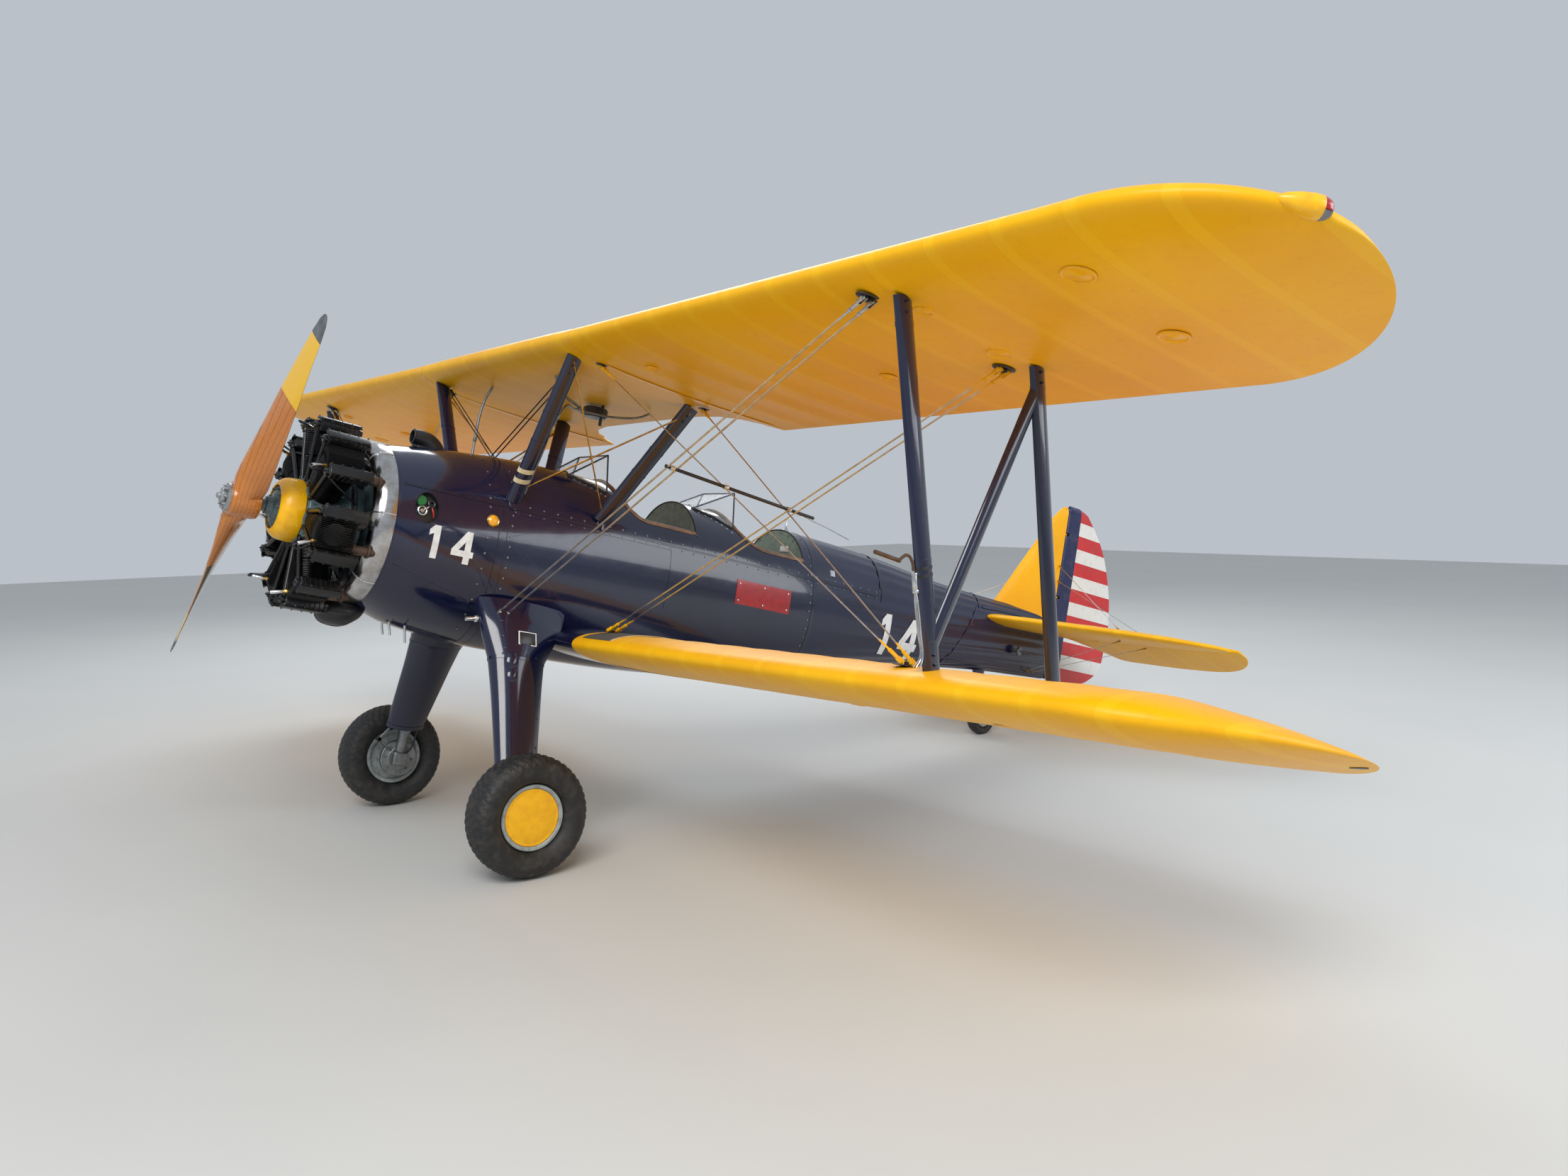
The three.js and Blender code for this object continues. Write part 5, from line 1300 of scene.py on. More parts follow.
# %% Wood and blade
WOOD_LIGHT, WOOD_DARK = (208, 130, 44), (178, 100, 28)
PLANK = 0.019
def varnished_wood(name="varnished_wood"):
    finish = Finish(name)
    x, y, z = finish.axes(finish.level())
    wobble = finish.noise(5, 2)
    layer = (y + wobble * 0.006) / PLANK
    plank_tone = layer - layer.floor()
    joint = 1 - finish.ramp(abs(plank_tone - 0.5), 0.44, 0.47)
    which = (layer.floor() * 0.37).wave()
    stretched = finish.node("ShaderNodeMapping", None, {"Vector": finish.place, "Scale": (7, 60, 7)})
    grain = finish.noise(9, 6, 0.65, stretched)
    finish.relief(grain, 0.00008)
    colour = finish.mix(finish.ramp(grain, 0.3, 0.7), WOOD_LIGHT, WOOD_DARK)
    colour = finish.mix(finish.ramp(which, -1, 1) * 0.45, colour, (190, 110, 34))
    colour = finish.mix((1 - joint) * 0.75, colour, (108, 56, 18))
    radius = (x * x + z * z) ** 0.5
    facing = finish.node("ShaderNodeTexCoord", outputs="Normal")
    aftward = finish.node("ShaderNodeVectorMath", {"operation": "DOT_PRODUCT"}, {0: facing, 1: AFT},
                          outputs="Value")
    colour = finish.mix(finish.ramp(radius + x * 0.12, 0.779, 0.781), colour, (236, 184, 16))
    colour = finish.mix((radius > 0.450) * (aftward > 0.1), colour, (70, 72, 62))
    finish.skin.inputs["Coat Roughness"].default_value = 0.05
    rough = finish.ramp(grain, 0.3, 0.8, 0.2, 0.32)
    return finish.paint(Base_Color=colour, Roughness=rough, Coat_Weight=0.8)

wood = varnished_wood()
print("planks of wood ready")

# %% [markdown]
# The blade is a table of stations, each with its chord, thickness and pitch at a radius. Its section is
# full towards the leading edge and thin behind. A frame at each radius says which way the chord and the
# thickness lie, and the tip sheaths and their rivets use the same frame later.

# %% The blade's stations
BLADE_ANGLE = 0.781
BLADE = [
    # radius, chord, thickness, pitch in degrees, how far aft the middle of the chord lies
    (0.040, 0.150, 0.156, 62, 0.013), (0.070, 0.160, 0.142, 59, 0.013), (0.090, 0.168, 0.124, 56, 0.013),
    (0.120, 0.177, 0.098, 53, 0.013), (0.150, 0.184, 0.080, 50, 0.013),
    (0.300, 0.188, 0.052, 38, 0.012), (0.500, 0.184, 0.033, 28, 0.009), (0.750, 0.172, 0.021, 20.5, 0.004),
    (0.980, 0.134, 0.014, 16, 0), (1.120, 0.104, 0.010, 14.5, 0), (1.200, 0.074, 0.008, 14, 0),
    (1.235, 0.040, 0.006, 13.5, 0), (1.243, 0.016, 0.004, 13.5, 0),
]
BAR_SECTION = [
    # share of the chord from the middle, share of the thickness
    (-0.5, 0.0), (-0.47, 0.2), (-0.40, 0.37), (-0.28, 0.47), (-0.05, 0.5), (0.25, 0.36), (0.42, 0.16),
    (0.5, 0.04),
    (0.5, -0.04), (0.42, -0.16), (0.25, -0.36), (-0.05, -0.5), (-0.28, -0.47), (-0.40, -0.37), (-0.47, -0.2),
]

def blade_row(radius):
    for low, high in zip(BLADE, BLADE[1:]):
        if radius <= high[0]:
            share = (radius - low[0]) / (high[0] - low[0])
            return [a + (b - a) * share for a, b in zip(low[1:], high[1:])]
    return list(BLADE[-1][1:])

def blade_frame(turn, radius):
    """At a radius: the blade's middle, the ways to its leading edge and out of its face, chord, thickness."""
    chord, thick, pitch, aft = blade_row(radius)
    pitch = math.radians(pitch)
    out = round_shaft(turn, 1, 0)
    lead = Vector((-math.cos(turn), 0, math.sin(turn))) * math.cos(pitch) + Vector((0, -math.sin(pitch), 0))
    return out * radius + THRUST * aft, lead, out.cross(lead), chord, thick

def blade_shape(turn, begin=0.04, finish_at=1.2395, grow=0.0, rows=90):
    def place(u, v):
        middle, lead, face, chord, thick = blade_frame(turn, begin + (finish_at - begin) * v)
        index = u * len(BAR_SECTION)
        a, b = BAR_SECTION[int(index) % len(BAR_SECTION)], BAR_SECTION[(int(index) + 1) % len(BAR_SECTION)]
        share = index - int(index)
        along, across = a[0] + (b[0] - a[0]) * share, a[1] + (b[1] - a[1]) * share
        return middle - lead * along * (chord + 2 * grow) + face * across * (thick + 2 * grow)
    return wrapped(len(BAR_SECTION) * 3, rows, place)
print("blade angle", round(math.degrees(BLADE_ANGLE), 1), "degrees")

# %% [markdown]
# The boss is a turned drum with room for the hub. The two blades are joined to it with a boolean, because
# the real propeller is one block of wood, and three plain bodies then cut the shaft's hole and the two flat
# faces.

# %% Two blades and a boss
boss = turned([(0.031, -0.062), (0.080, -0.062), (0.086, -0.058), (0.092, -0.040), (0.092, 0.066),
               (0.086, 0.084),
               (0.080, 0.0876), (0.031, 0.0876), (0.031, -0.062)], axis=THRUST, steps=64)
blades = [blade_shape(BLADE_ANGLE), blade_shape(BLADE_ANGLE + math.pi)]
shaft_room = bar((0, -0.2, 0), (0, 0.2, 0), 0.031, 48)
front_room = bar((0, -0.2, 0), (0, -0.0622, 0), 0.120, 48)
rear_room = bar((0, 0.0878, 0), (0, 0.2, 0), 0.090, 48)
prop = blades[0]
for other in (blades[1], boss):
    cut_by(prop, other, "UNION")
for room in (shaft_room, front_room, rear_room):
    cut_by(prop, room)
pick(prop, "EDGE", lambda edge: edge.is_boundary)
bpy.ops.mesh.fill_holes(sides=8)
close(prop)
piece(prop, "propeller_wood", "varnished_wood", wood, 40, body="propeller")
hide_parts("propeller")
print("propeller:", len(prop.data.polygons), "faces")

# %% [markdown]
# A sheath is thin metal round the tip of each blade, held by rivets. It is the blade's own shape once more,
# over its outer end and a little thicker, so it can't part from the wood. The rivet is one small ball,
# copied to both faces.

# %% Tip sheaths
BLADE_TURNS = (BLADE_ANGLE, BLADE_ANGLE + math.pi)
sheaths = [blade_shape(turn, 1.107, 1.2402, 0.0008, rows=24) for turn in BLADE_TURNS]
tip_rivet = start("uv_sphere", segments=8, ring_count=5, radius=0.0035)
freed(tip_rivet)
rivets = []
for turn in BLADE_TURNS:
    for radius in [1.118 + 0.018 * i for i in range(5)]:
        middle, lead, face, chord, thick = blade_frame(turn, radius)
        rivets += [Matrix.Translation(middle + lead * 0.40 * chord + face * sign * thick * 0.37)
                   for sign in (-1, 1)]
sheath = joined(*sheaths, scattered(tip_rivet, rivets))
piece(sheath, "blade_sheaths", "bare_steel", dull_alloy, 40, body="propeller")
print("sheaths with", len(rivets), "rivets")

# %% [markdown]
# A steel hub goes through the wood: in front of it are a flange that clamps the boss, and the shaft's end
# with its nut. One bolt is modelled and copied eight times round the shaft.

# %% Hub
def hub_parts():
    flange = turned([(0, -0.122), (0.008, -0.122), (0.014, -0.119), (0.016, -0.106), (0.028, -0.102),
                     (0.030, -0.098),
                     (0.030, -0.082), (0.036, -0.080), (0.070, -0.080), (0.074, -0.077), (0.074, -0.0626),
                     (0.0305, -0.0624), (0.0305, 0.0594), (0, 0.0594)], axis=THRUST, steps=64)
    nut = start("cylinder", vertices=6, radius=0.040, depth=0.020, location=(0, 0, 0))
    freed(nut)
    modified(nut, "BEVEL", width=0.002, segments=2)
    moved(nut, aim((0, -0.092, 0), AHEAD))
    bolt = joined(peg(0, 0.009, 0.0095, 6, 0.0012), peg(0.008, 0.017, 0.0055, 12, 0.001))
    bolts = scattered(bolt, [aim(round_shaft(angle, 0.056, -0.080), AHEAD) for angle in turns(8)])
    return joined(flange, nut, bolts)

hub = hub_parts()
piece(hub, "hub_and_nut", "bare_steel", satin_steel, 30, body="propeller")
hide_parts("propeller_hub")
print("hub done")

# %% [markdown]
# Each main leg is a streamlined fairing round a shock strut. A streamlined section is blunt in front and
# thin behind; one formula gives it, and a grid wrapped between rows of sections gives shoulders, legs and
# struts.

# %% Streamlined shapes
WIDEST_SHARE = 0.42
def streamline(u):
    """Along and across, as shares of chord and thickness, from the nose round and back."""
    angle = 2 * math.pi * u
    share = (1 - math.cos(angle)) / 2
    if share < WIDEST_SHARE:
        thick = math.sqrt(max(0.0, 1 - (1 - share / WIDEST_SHARE) ** 2))
    else:
        thick = 1 - 0.92 * ((share - WIDEST_SHARE) / (1 - WIDEST_SHARE)) ** 2
    return share - 0.5, math.copysign(thick / 2, math.sin(angle))

def along_rows(rows, v):
    """Values on a smooth curve through a short list of rows, v from 0 to 1."""
    place = v * (len(rows) - 1)
    i = min(int(place), len(rows) - 2)
    t = place - i
    a, b, c, d = neighbours(rows, i)
    return [0.5 * (2 * q + (r - p) * t + (2 * p - 5 * q + 4 * r - s) * t * t + (3 * q - p - 3 * r + s) * t**3)
            for p, q, r, s in zip(a, b, c, d)]

LEAN = 0.35  # how the level sections lean with the leg
def leg_body(rows, columns=56, steps=40):
    """Rows are x, y, z, chord and thickness from the top down."""
    def place(u, v):
        x, y, z, chord, thick = along_rows(rows, v)
        along, across = streamline(u)
        return Vector((x + across * thick, y + along * chord, z + across * thick * LEAN))
    return wrapped(columns, steps, place)

SHOULDER = [
    # x, y, z, chord, thickness
    (0.395, 1.490, -0.290, 0.560, 0.130), (0.470, 1.470, -0.420, 0.500, 0.175),
    (0.574, 1.434, -0.608, 0.336, 0.160),
]
LEG = [
    (0.574, 1.434, -0.6085, 0.336, 0.160), (0.632, 1.433, -0.745, 0.306, 0.146),
    (0.690, 1.432, -0.880, 0.284, 0.135),
    (0.806, 1.428, -1.160, 0.240, 0.112),
]
STUB_CHORDS = [0.380, 0.7515]
def wing_stub():
    def place(u, v):
        x = STUB_CHORDS[0] + (STUB_CHORDS[1] - STUB_CHORDS[0]) * v
        share, on_top = round_the_section(u)
        top, bottom = section_heights(share)
        return wing_point(LOWER, x, share, top if on_top else bottom)
    return wrapped(64, 10, place)

def leg_ring(row, height=0.010, proud=0.004):
    """A clamp band round the leg at one row."""
    x, y, z, chord, thick = row
    rows = [(x - 0.4 * dz, y, z + dz, chord + 2 * proud, thick + 2 * proud) for dz in (height, 0, -height)]
    return leg_body(rows, 56, 6)

for side, mirror in SIDES.items():
    shoulder = moved(joined(leg_body(SHOULDER), leg_ring(SHOULDER[2], 0.007, 0.003)), mirror)
    stub = moved(wing_stub(), mirror)
    piece(joined(shoulder, stub), f"root_fairing_skin_{side}", "navy_panel", navy_strut, 40)
    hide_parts(f"root_fairing_{side}")
    leg = joined(leg_body(LEG), leg_ring(LEG[3], 0.012, 0.004))
    moved(leg, mirror)
    piece(leg, f"gear_leg_skin_{side}", "navy_strut", navy_strut, 40)
    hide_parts(f"gear_leg_{side}")
print("legs and shoulders done")

# %% [markdown]
# Small things on the legs: screws along the fairing's seams, a bare black plate with a pale border where a
# maker would rivet a data plate, domed bulges over the shock strut's fittings and a short tie-down stub in
# front.

# %% Fittings on the legs
def leg_face(rows, v, share, side=1, lift=0.0):
    """A place on a leg's outer face and its outward direction; share runs from nose to tail."""
    x, y, z, chord, thick = along_rows(rows, v)
    u = math.acos(1 - 2 * share) / (2 * math.pi)
    along, across = streamline(u)
    spot = Vector((x + (across + lift / thick) * thick, y + along * chord, z + across * thick * LEAN))
    along2, across2 = streamline(u + 0.004)
    slope = (across2 - across) * thick / ((along2 - along) * chord + 1e-9)
    normal = Vector((1, -slope, LEAN)).normalized()
    return Vector((spot.x * side, spot.y, spot.z)), Vector((normal.x * side, normal.y, normal.z))

LEG_SCREWS = [
    # rows, places down the leg, shares of the chord
    (SHOULDER, (0.93,), (0.16, 0.35, 0.55, 0.75, 0.92)), (SHOULDER, (0.35, 0.5, 0.65, 0.8), (0.88,)),
    (SHOULDER, (0.3, 0.5, 0.7, 0.85), (0.20,)), (LEG, (0.12, 0.3, 0.5, 0.7, 0.86), (0.92,)),
    (LEG, (0.95,), (0.2, 0.45, 0.7, 0.9)),
]
PLATE_PLACE = (SHOULDER, 0.70, 0.52)
fittings, plates, tie_downs, borders = [], [], [], []
for side in (1, -1):
    spots = [leg_face(rows, v, share, side) for rows, downs, shares in LEG_SCREWS for v in downs
             for share in shares]
    fittings.append(screws_at(spots, 0.0058))
    for v, size in ((0.07, 0.040), (0.24, 0.036)):
        spot, normal = leg_face(LEG, v, 0.30, side)
        bulge = start("uv_sphere", segments=28, ring_count=14, radius=size)
        freed(bulge)
        moved(bulge, aim(spot - normal * 0.012, normal) @ Matrix.Diagonal((1, 1.35, 0.55, 1)))
        fittings.append(bulge)
    spot, normal = leg_face(*PLATE_PLACE, side)
    base = block((-0.034, -0.052, 0), (0.034, 0.052, 0.002), 0.001)
    plates.append(moved(base, aim(spot + normal * 0.001, normal, math.radians(90))))
    x, y, z = 0.452 * side, 1.215, -0.405
    tie_downs += [bar((x, y, z), (x + 0.015 * side, y - 0.075, z - 0.012), 0.012, 20, 0.002),
                  bar((x, y, z), (x + 0.004 * side, y - 0.016, z - 0.003), 0.020, 20, 0.003)]
    grown = aim(spot, normal) @ Matrix.Diagonal((1.14, 1.14, 0.6, 1)) @ aim(spot, normal).inverted()
    borders.append(copy_of(base, grown))
piece(joined(*fittings), "leg_fittings", "navy_strut", navy_strut, 40)
piece(joined(*tie_downs), "tie_down_stubs", "bare_steel", bright_steel)
piece(joined(*plates), "blank_plates", "black_metal", black_metal)
piece(joined(*borders), "plate_borders", "navy_strut", white_paint)
print("leg fittings done")

# %% [markdown]
# Wheels: a spun rim with a deep bowl, a drum brake behind it, and a plain disc cap in yellow. The tyre is a
# wrapped grid whose tread is pressed in where two families of slanting grooves cross, which leaves
# diamonds.

# %% Wheels and caps
WHEEL_AT = LEVEL.inverted() @ Vector(joints["left_wheel_spin"]["pos_m"])
RIM_FACE = WHEEL_AT.x - 0.071

def round_wheel(angle, radius, x):
    """A place at a radius from the main wheel's axle."""
    return Vector((x, WHEEL_AT.y + radius * math.cos(angle), WHEEL_AT.z + radius * math.sin(angle)))

RIM_SECTION = [
    # radius, distance from the inner face
    (0.0245, 0.0), (0.060, 0.0), (0.066, 0.004), (0.072, 0.030), (0.146, 0.034), (0.150, 0.030),
    (0.152, 0.006),
    (0.160, 0.001), (0.172, 0.0), (0.175, 0.004), (0.174, 0.012), (0.164, 0.015), (0.160, 0.020),
    (0.160, 0.122),
    (0.164, 0.127), (0.174, 0.130), (0.175, 0.138), (0.172, 0.142), (0.160, 0.141), (0.153, 0.136),
    (0.150, 0.112),
    (0.0245, 0.108), (0.0245, 0.0),
]
CAP_SECTION = [
    (0, 0), (0.1505, 0), (0.1515, 0.002), (0.1500, 0.0045), (0.140, 0.0055), (0.136, 0.0045), (0.132, 0.0060),
    (0.040, 0.0085), (0.036, 0.0080), (0, 0.0090),
]

TYRE_SIDE = [
    # height above the seat as a share, share of half the width
    (0, 0.5), (0.1, 0.52), (0.19, 0.77), (0.4, 0.97), (0.62, 1.0), (0.82, 0.89), (0.945, 0.6), (1, 0.22),
]
print("wheel sections ready, rim face at", round(RIM_FACE, 3))

# %% [markdown]
# The tyre's section is a table of one side, mirrored. The tread isn't a texture: a point that is near a
# line of either of two slanting families is pressed towards the axle. The grid has about six rows for each
# groove.

# %% The tyre
def tyre_body(at, radius, seat, width, diamonds, groove, columns=64, rows=288):
    loop = [(up, -out) for up, out in TYRE_SIDE] + [(up, out) for up, out in reversed(TYRE_SIDE)]
    def place(u, v):
        up, out = along_rows(loop, u)
        up = min(1.0, up)
        angle = 2 * math.pi * v
        spread = abs(out)
        pressed = 0.0
        if up > 0.66:
            for lean in (1, -1):
                phase = v * diamonds + lean * out * 1.5
                near = abs(phase - round(phase))
                pressed = max(pressed, min(1.0, max(0.0, (0.17 - near) / 0.05)))
            pressed *= min(1.0, (up - 0.66) / 0.06)
        rings = 0.0006 * math.sin(up * 90) if 0.25 < up < 0.6 else 0.0
        r = seat + (radius - seat) * up - groove * pressed + rings
        return at + Vector((out * width / 2, r * math.cos(angle), r * math.sin(angle)))
    return wrapped(columns, rows, place, caps=False, closes=True)
print("tyre function ready")

# %% [markdown]
# The rubber is nearly black, dusty and dull, with a fine grain. Each wheel is then put together at the port
# side, moved to its side by the mirror, and rides on the body that spins.

# %% Rubber, and both wheels
def rubber():
    finish = Finish("rubber")
    dust = finish.ramp(finish.noise(22, 5, 0.6), 0.45, 0.8)
    finish.relief(finish.noise(520, 3), 0.00015)
    colour = finish.mix(dust, (30, 31, 33), (66, 62, 56))
    return finish.paint(Base_Color=colour, Roughness=finish.ramp(dust, 0, 1, 0.55, 0.8))

tyre_rubber = rubber()
for side, mirror in SIDES.items():
    wheel = turned(RIM_SECTION, (RIM_FACE, WHEEL_AT.y, WHEEL_AT.z), PORT, 96)
    nut_spots = [round_wheel(angle, 0.105, RIM_FACE + 0.036) for angle in turns(9)]
    rim_nuts = scattered(peg(0, 0.010, 0.008, 6, 0.001), [aim(spot, -PORT) for spot in nut_spots])
    wheel = moved(joined(wheel, rim_nuts), mirror)
    piece(wheel, f"wheel_rim_{side}", "wheel_grey", wheel_grey, 30, body=f"{side}_wheel")
    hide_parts(f"wheel_{side}")
    cap = turned(CAP_SECTION, (1.058, WHEEL_AT.y, WHEEL_AT.z), PORT, 96)
    cap_screws = screws_at([(round_wheel(angle, 0.143, 1.063), PORT) for angle in turns(8)], 0.0045)
    cap = moved(joined(cap, cap_screws), mirror)
    piece(cap, f"cap_disc_{side}", "yellow_paint", yellow_paint, 30, body=f"{side}_wheel")
    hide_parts(f"hub_cap_{side}")
    tyre = tyre_body(WHEEL_AT, 0.325, 0.1604, 0.221, 46, 0.0045)
    tyre = moved(tyre, mirror)
    piece(tyre, f"tyre_tread_{side}", "tyre", tyre_rubber, 40, body=f"{side}_wheel")
    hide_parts(f"tyre_{side}")
print("wheels done, tyre", len(tyre.data.polygons), "faces")

# %% [markdown]
# Below the leg are the bright piston of the shock strut, the knuckle with the stub axle, the round brake
# with its bolts, and two jointed links that keep the wheel from twisting. The brake's line runs down beside
# them. All of them stay on the airframe.

# %% Axles, brakes and links
def axle_parts():
    at = lambda x: Vector((x, WHEEL_AT.y, WHEEL_AT.z))
    piston = bar((0.801, 1.432, -1.150), (0.846, 1.440, -1.370), 0.034, 40, 0.002)
    collar = bar((0.808, 1.433, -1.185), (0.812, 1.434, -1.205), 0.041, 40, 0.003)
    shaft = bar(at(0.810), at(1.045), 0.0235, 32, 0.002)
    drum = turned([(0.024, -0.012), (0.070, -0.012), (0.080, -0.006), (0.112, -0.002), (0.118, 0.004),
                   (0.118, 0.022),
                   (0.112, 0.024), (0.024, 0.024), (0.024, -0.012)], at(0.842), PORT, 72)
    knuckle = block((0.802, 1.395, -1.425), (0.846, 1.488, -1.335), 0.012, 3)
    bolt = joined(peg(0, 0.009, 0.0075, 6, 0.001), peg(0.008, 0.014, 0.004, 8))
    bolts = scattered(bolt, [aim(round_wheel(angle, 0.090, 0.836), -PORT) for angle in turns(8)])
    return joined(piston, collar, shaft, drum, knuckle, bolts)

def link_arm(a, b, wide=0.030, thick=0.012):
    """A forged arm: two plates that taper from the eye at each end."""
    a, b = Vector(a), Vector(b)
    length = (b - a).length
    arm = start("cube", size=1)
    freed(arm)
    moved(arm, Matrix.Diagonal((thick, wide, length, 1)))
    pick(arm, "VERT", lambda point: point.co.z > 0)
    bpy.ops.transform.resize(value=(1, 0.6, 1))
    close(arm)
    modified(arm, "BEVEL", width=0.004, segments=3)
    turn = (b - a).to_track_quat("Z", "X").to_matrix().to_4x4()
    moved(arm, Matrix.Translation((a + b) / 2) @ turn)
    eyes = [bar(end - Vector((0.022, 0, 0)), end + Vector((0.022, 0, 0)), 0.014, 20, 0.002) for end in (a, b)]
    return joined(arm, *eyes)

LINK_KNEE = (0.812, 1.275, -1.265)
BRAKE_LINE = [(0.800, 1.520, -1.120), (0.806, 1.512, -1.200), (0.812, 1.505, -1.290), (0.824, 1.478, -1.350)]
for side, mirror in SIDES.items():
    links = [link_arm(LINK_KNEE, (0.806, 1.345, -1.170)), link_arm(LINK_KNEE, (0.846, 1.400, -1.350))]
    whole = moved(joined(axle_parts(), *links), mirror)
    piece(whole, f"axle_and_brake_{side}", "bare_steel", dull_alloy, 30)
    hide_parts(f"axle_{side}")
    hose = moved(tube(BRAKE_LINE, 0.006, 3, smooth=True), mirror)
    piece(hose, f"brake_line_{side}", "black_metal", black_metal)
print("axles, brakes and links done")

# %% [markdown]
# Struts are steel tubes with a streamlined section, so each is the same wrapped grid from end to end. They
# are set a little into the wing or the skin. Clamps, plates and bolts dress the ends.

# %% Struts
STRUT_X = 3.356
STRUT_CHORD, STRUT_THICK = 0.092, 0.038
CABANE_THICK = 0.044
def strut_body(a, b, chord, thick, columns=40, rows=16):
    a, b = Vector(a), Vector(b)
    direction = (b - a).normalized()
    aft = (THRUST - direction * direction.y).normalized()
    across_way = direction.cross(aft)
    def place(u, v):
        along, across = streamline(u)
        return a.lerp(b, v) + aft * along * chord + across_way * across * thick
    return wrapped(columns, rows, place)

def under_upper(x, share, drop=0.0):
    return wing_point(UPPER, x, share, section_heights(share)[1]) - Vector((0, 0, drop))

def on_lower(x, share, lift=0.0):
    return wing_point(LOWER, x, share, section_heights(share)[0]) + Vector((0, 0, lift))
print("strut section", STRUT_CHORD, "by", STRUT_THICK)

# %% [markdown]
# A strut ends in a fitting that is held by through-bolts, and bands go round it where something is clamped
# to it. A band is the strut's own section, a little larger, so it fits at any place along it. On each side
# two uprights and a diagonal then make one N.

# %% Bands, bolts and interplane struts
def dark_band(a, b, share, chord, thick, length=0.028, proud=0.002):
    """A clamp round a strut at a share of its length."""
    a, b = Vector(a), Vector(b)
    middle, way = a.lerp(b, share), (b - a).normalized()
    return strut_body(middle - way * length / 2, middle + way * length / 2, chord + 2 * proud,
                      thick + 2 * proud, 40, 2)

def bolt_pattern():
    return joined(peg(-0.003, 0.006, 0.0070, 6, 0.001), peg(0.005, 0.010, 0.0040, 10))

def strut_bolts(a, b, shares, thick):
    """Bolts on the strut's outer face."""
    a, b = Vector(a), Vector(b)
    way = (b - a).normalized()
    out = way.cross((THRUST - way * way.y).normalized())
    if out.x < 0:
        out = -out
    return scattered(bolt_pattern(), [aim(a.lerp(b, share) + out * thick / 2, out) for share in shares])

for side, mirror in SIDES.items():
    feet = [on_lower(STRUT_X, share, -0.004) for share in (0.1, 0.615)]
    tops = [under_upper(STRUT_X, share, -0.004) for share in (0.131, 0.665)]
    bars = [strut_body(feet[0], tops[0], STRUT_CHORD, STRUT_THICK),
            strut_body(feet[1], tops[1], STRUT_CHORD, STRUT_THICK),
            strut_body(feet[0].lerp(tops[0], 0.06), feet[1].lerp(tops[1], 0.94), 0.070, 0.032)]
    bolts = [strut_bolts(feet[0], tops[0], (0.018, 0.045, 0.955, 0.982), STRUT_THICK),
             strut_bolts(feet[1], tops[1], (0.02, 0.05, 0.95, 0.98), STRUT_THICK)]
    clamps = [dark_band(feet[k], tops[k], share, STRUT_CHORD, STRUT_THICK, 0.02)
              for k, share in ((0, 0.075), (0, 0.30), (0, 0.925), (1, 0.935))]
    whole = moved(joined(*bars, *bolts, *clamps), mirror)
    piece(whole, f"interplane_struts_{side}", "navy_strut", navy_strut, 35)
    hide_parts(f"interplane_strut_{side}")
print("interplane struts done")

# %% [markdown]
# Four shorter struts carry the centre section above the fuselage. They lean outwards from the deck, and two
# cream straps go round each front one.

# %% Cabane struts
CABANES = {
    # name: foot, x at the top, share of the chord at the top, chord
    "front": ((0.400, 1.322, 0.296), 0.897, 0.088, 0.092),
    "rear": ((0.398, 1.902, 0.300), 0.788, 0.646, 0.105),
}
cream_clamps = []
for name, (foot, top_x, share, chord) in CABANES.items():
    top = under_upper(top_x, share)
    foot = Vector(foot)
    way = (top - foot).normalized()
    for side, mirror in SIDES.items():
        parts = [strut_body(foot - way * 0.012, top + way * 0.012, chord, CABANE_THICK),
                 strut_bolts(foot, top, (0.06, 0.10, 0.90, 0.95), CABANE_THICK)]
        parts += [dark_band(foot, top, place, chord, CABANE_THICK, 0.014) for place in (0.42, 0.62)]
        foot_spot, foot_way = skin_at(foot.y, foot.z - 0.012)
        parts.append(moved(peg(-0.002, 0.007, 0.05, 32, 0.003),
                           aim(foot_spot, foot_way) @ Matrix.Diagonal((0.55, 1.15, 1, 1))))
        whole = moved(joined(*parts), mirror)
        piece(whole, f"cabane_{name}_{side}", "navy_strut", navy_strut, 35)
        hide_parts(f"cabane_strut_{name}_{side}")
        if name == "front":
            for place in (0.14, 0.21):
                strap = dark_band(foot, top, place, chord, CABANE_THICK, 0.026, 0.0035)
                cream_clamps.append(moved(strap, mirror))
piece(joined(*cream_clamps), "cabane_straps", "navy_strut", cream_paint)
print("struts done")

# %% [markdown]
# The bracing wires are flat, streamlined steel with round threaded ends. A fork screws onto each end, held
# by a nut, and a pin joins the fork to a plate on the wing. So a wire is a thin streamlined bar plus two
# modelled ends that point along it.

# %% Wires with forks
WIRE_CHORD, WIRE_THICK = 0.013, 0.0045
def fork_end(scale=1.0):
    """A fork at the origin whose wire leaves along z."""
    barrel = peg(0.030, 0.075, 0.0085, 16, 0.001)
    nut = peg(0.077, 0.088, 0.0095, 6, 0.001)
    thread = peg(0.07, 0.155, 0.0048, 12)
    cheeks = [block((x - 0.0025, -0.010, -0.014), (x + 0.0025, 0.010, 0.034), 0.002)
              for x in (-0.0075, 0.0075)]
    pin = bar((-0.016, 0, 0), (0.016, 0, 0), 0.0048, 12, 0.001)
    head = bar((0.012, 0, 0), (0.017, 0, 0), 0.008, 6, 0.001)
    fork = joined(barrel, nut, thread, *cheeks, pin, head)
    return moved(fork, Matrix.Scale(scale, 4))

def brace_wire(a, b, chord=WIRE_CHORD, thick=WIRE_THICK, scale=1.0):
    a, b = Vector(a), Vector(b)
    way = (b - a).normalized()
    body = strut_body(a + way * 0.14 * scale, b - way * 0.14 * scale, chord, thick, 12, 2)
    ends = [moved(fork_end(scale), aim(a, way)), moved(fork_end(scale), aim(b, -way))]
    return body, joined(*ends)

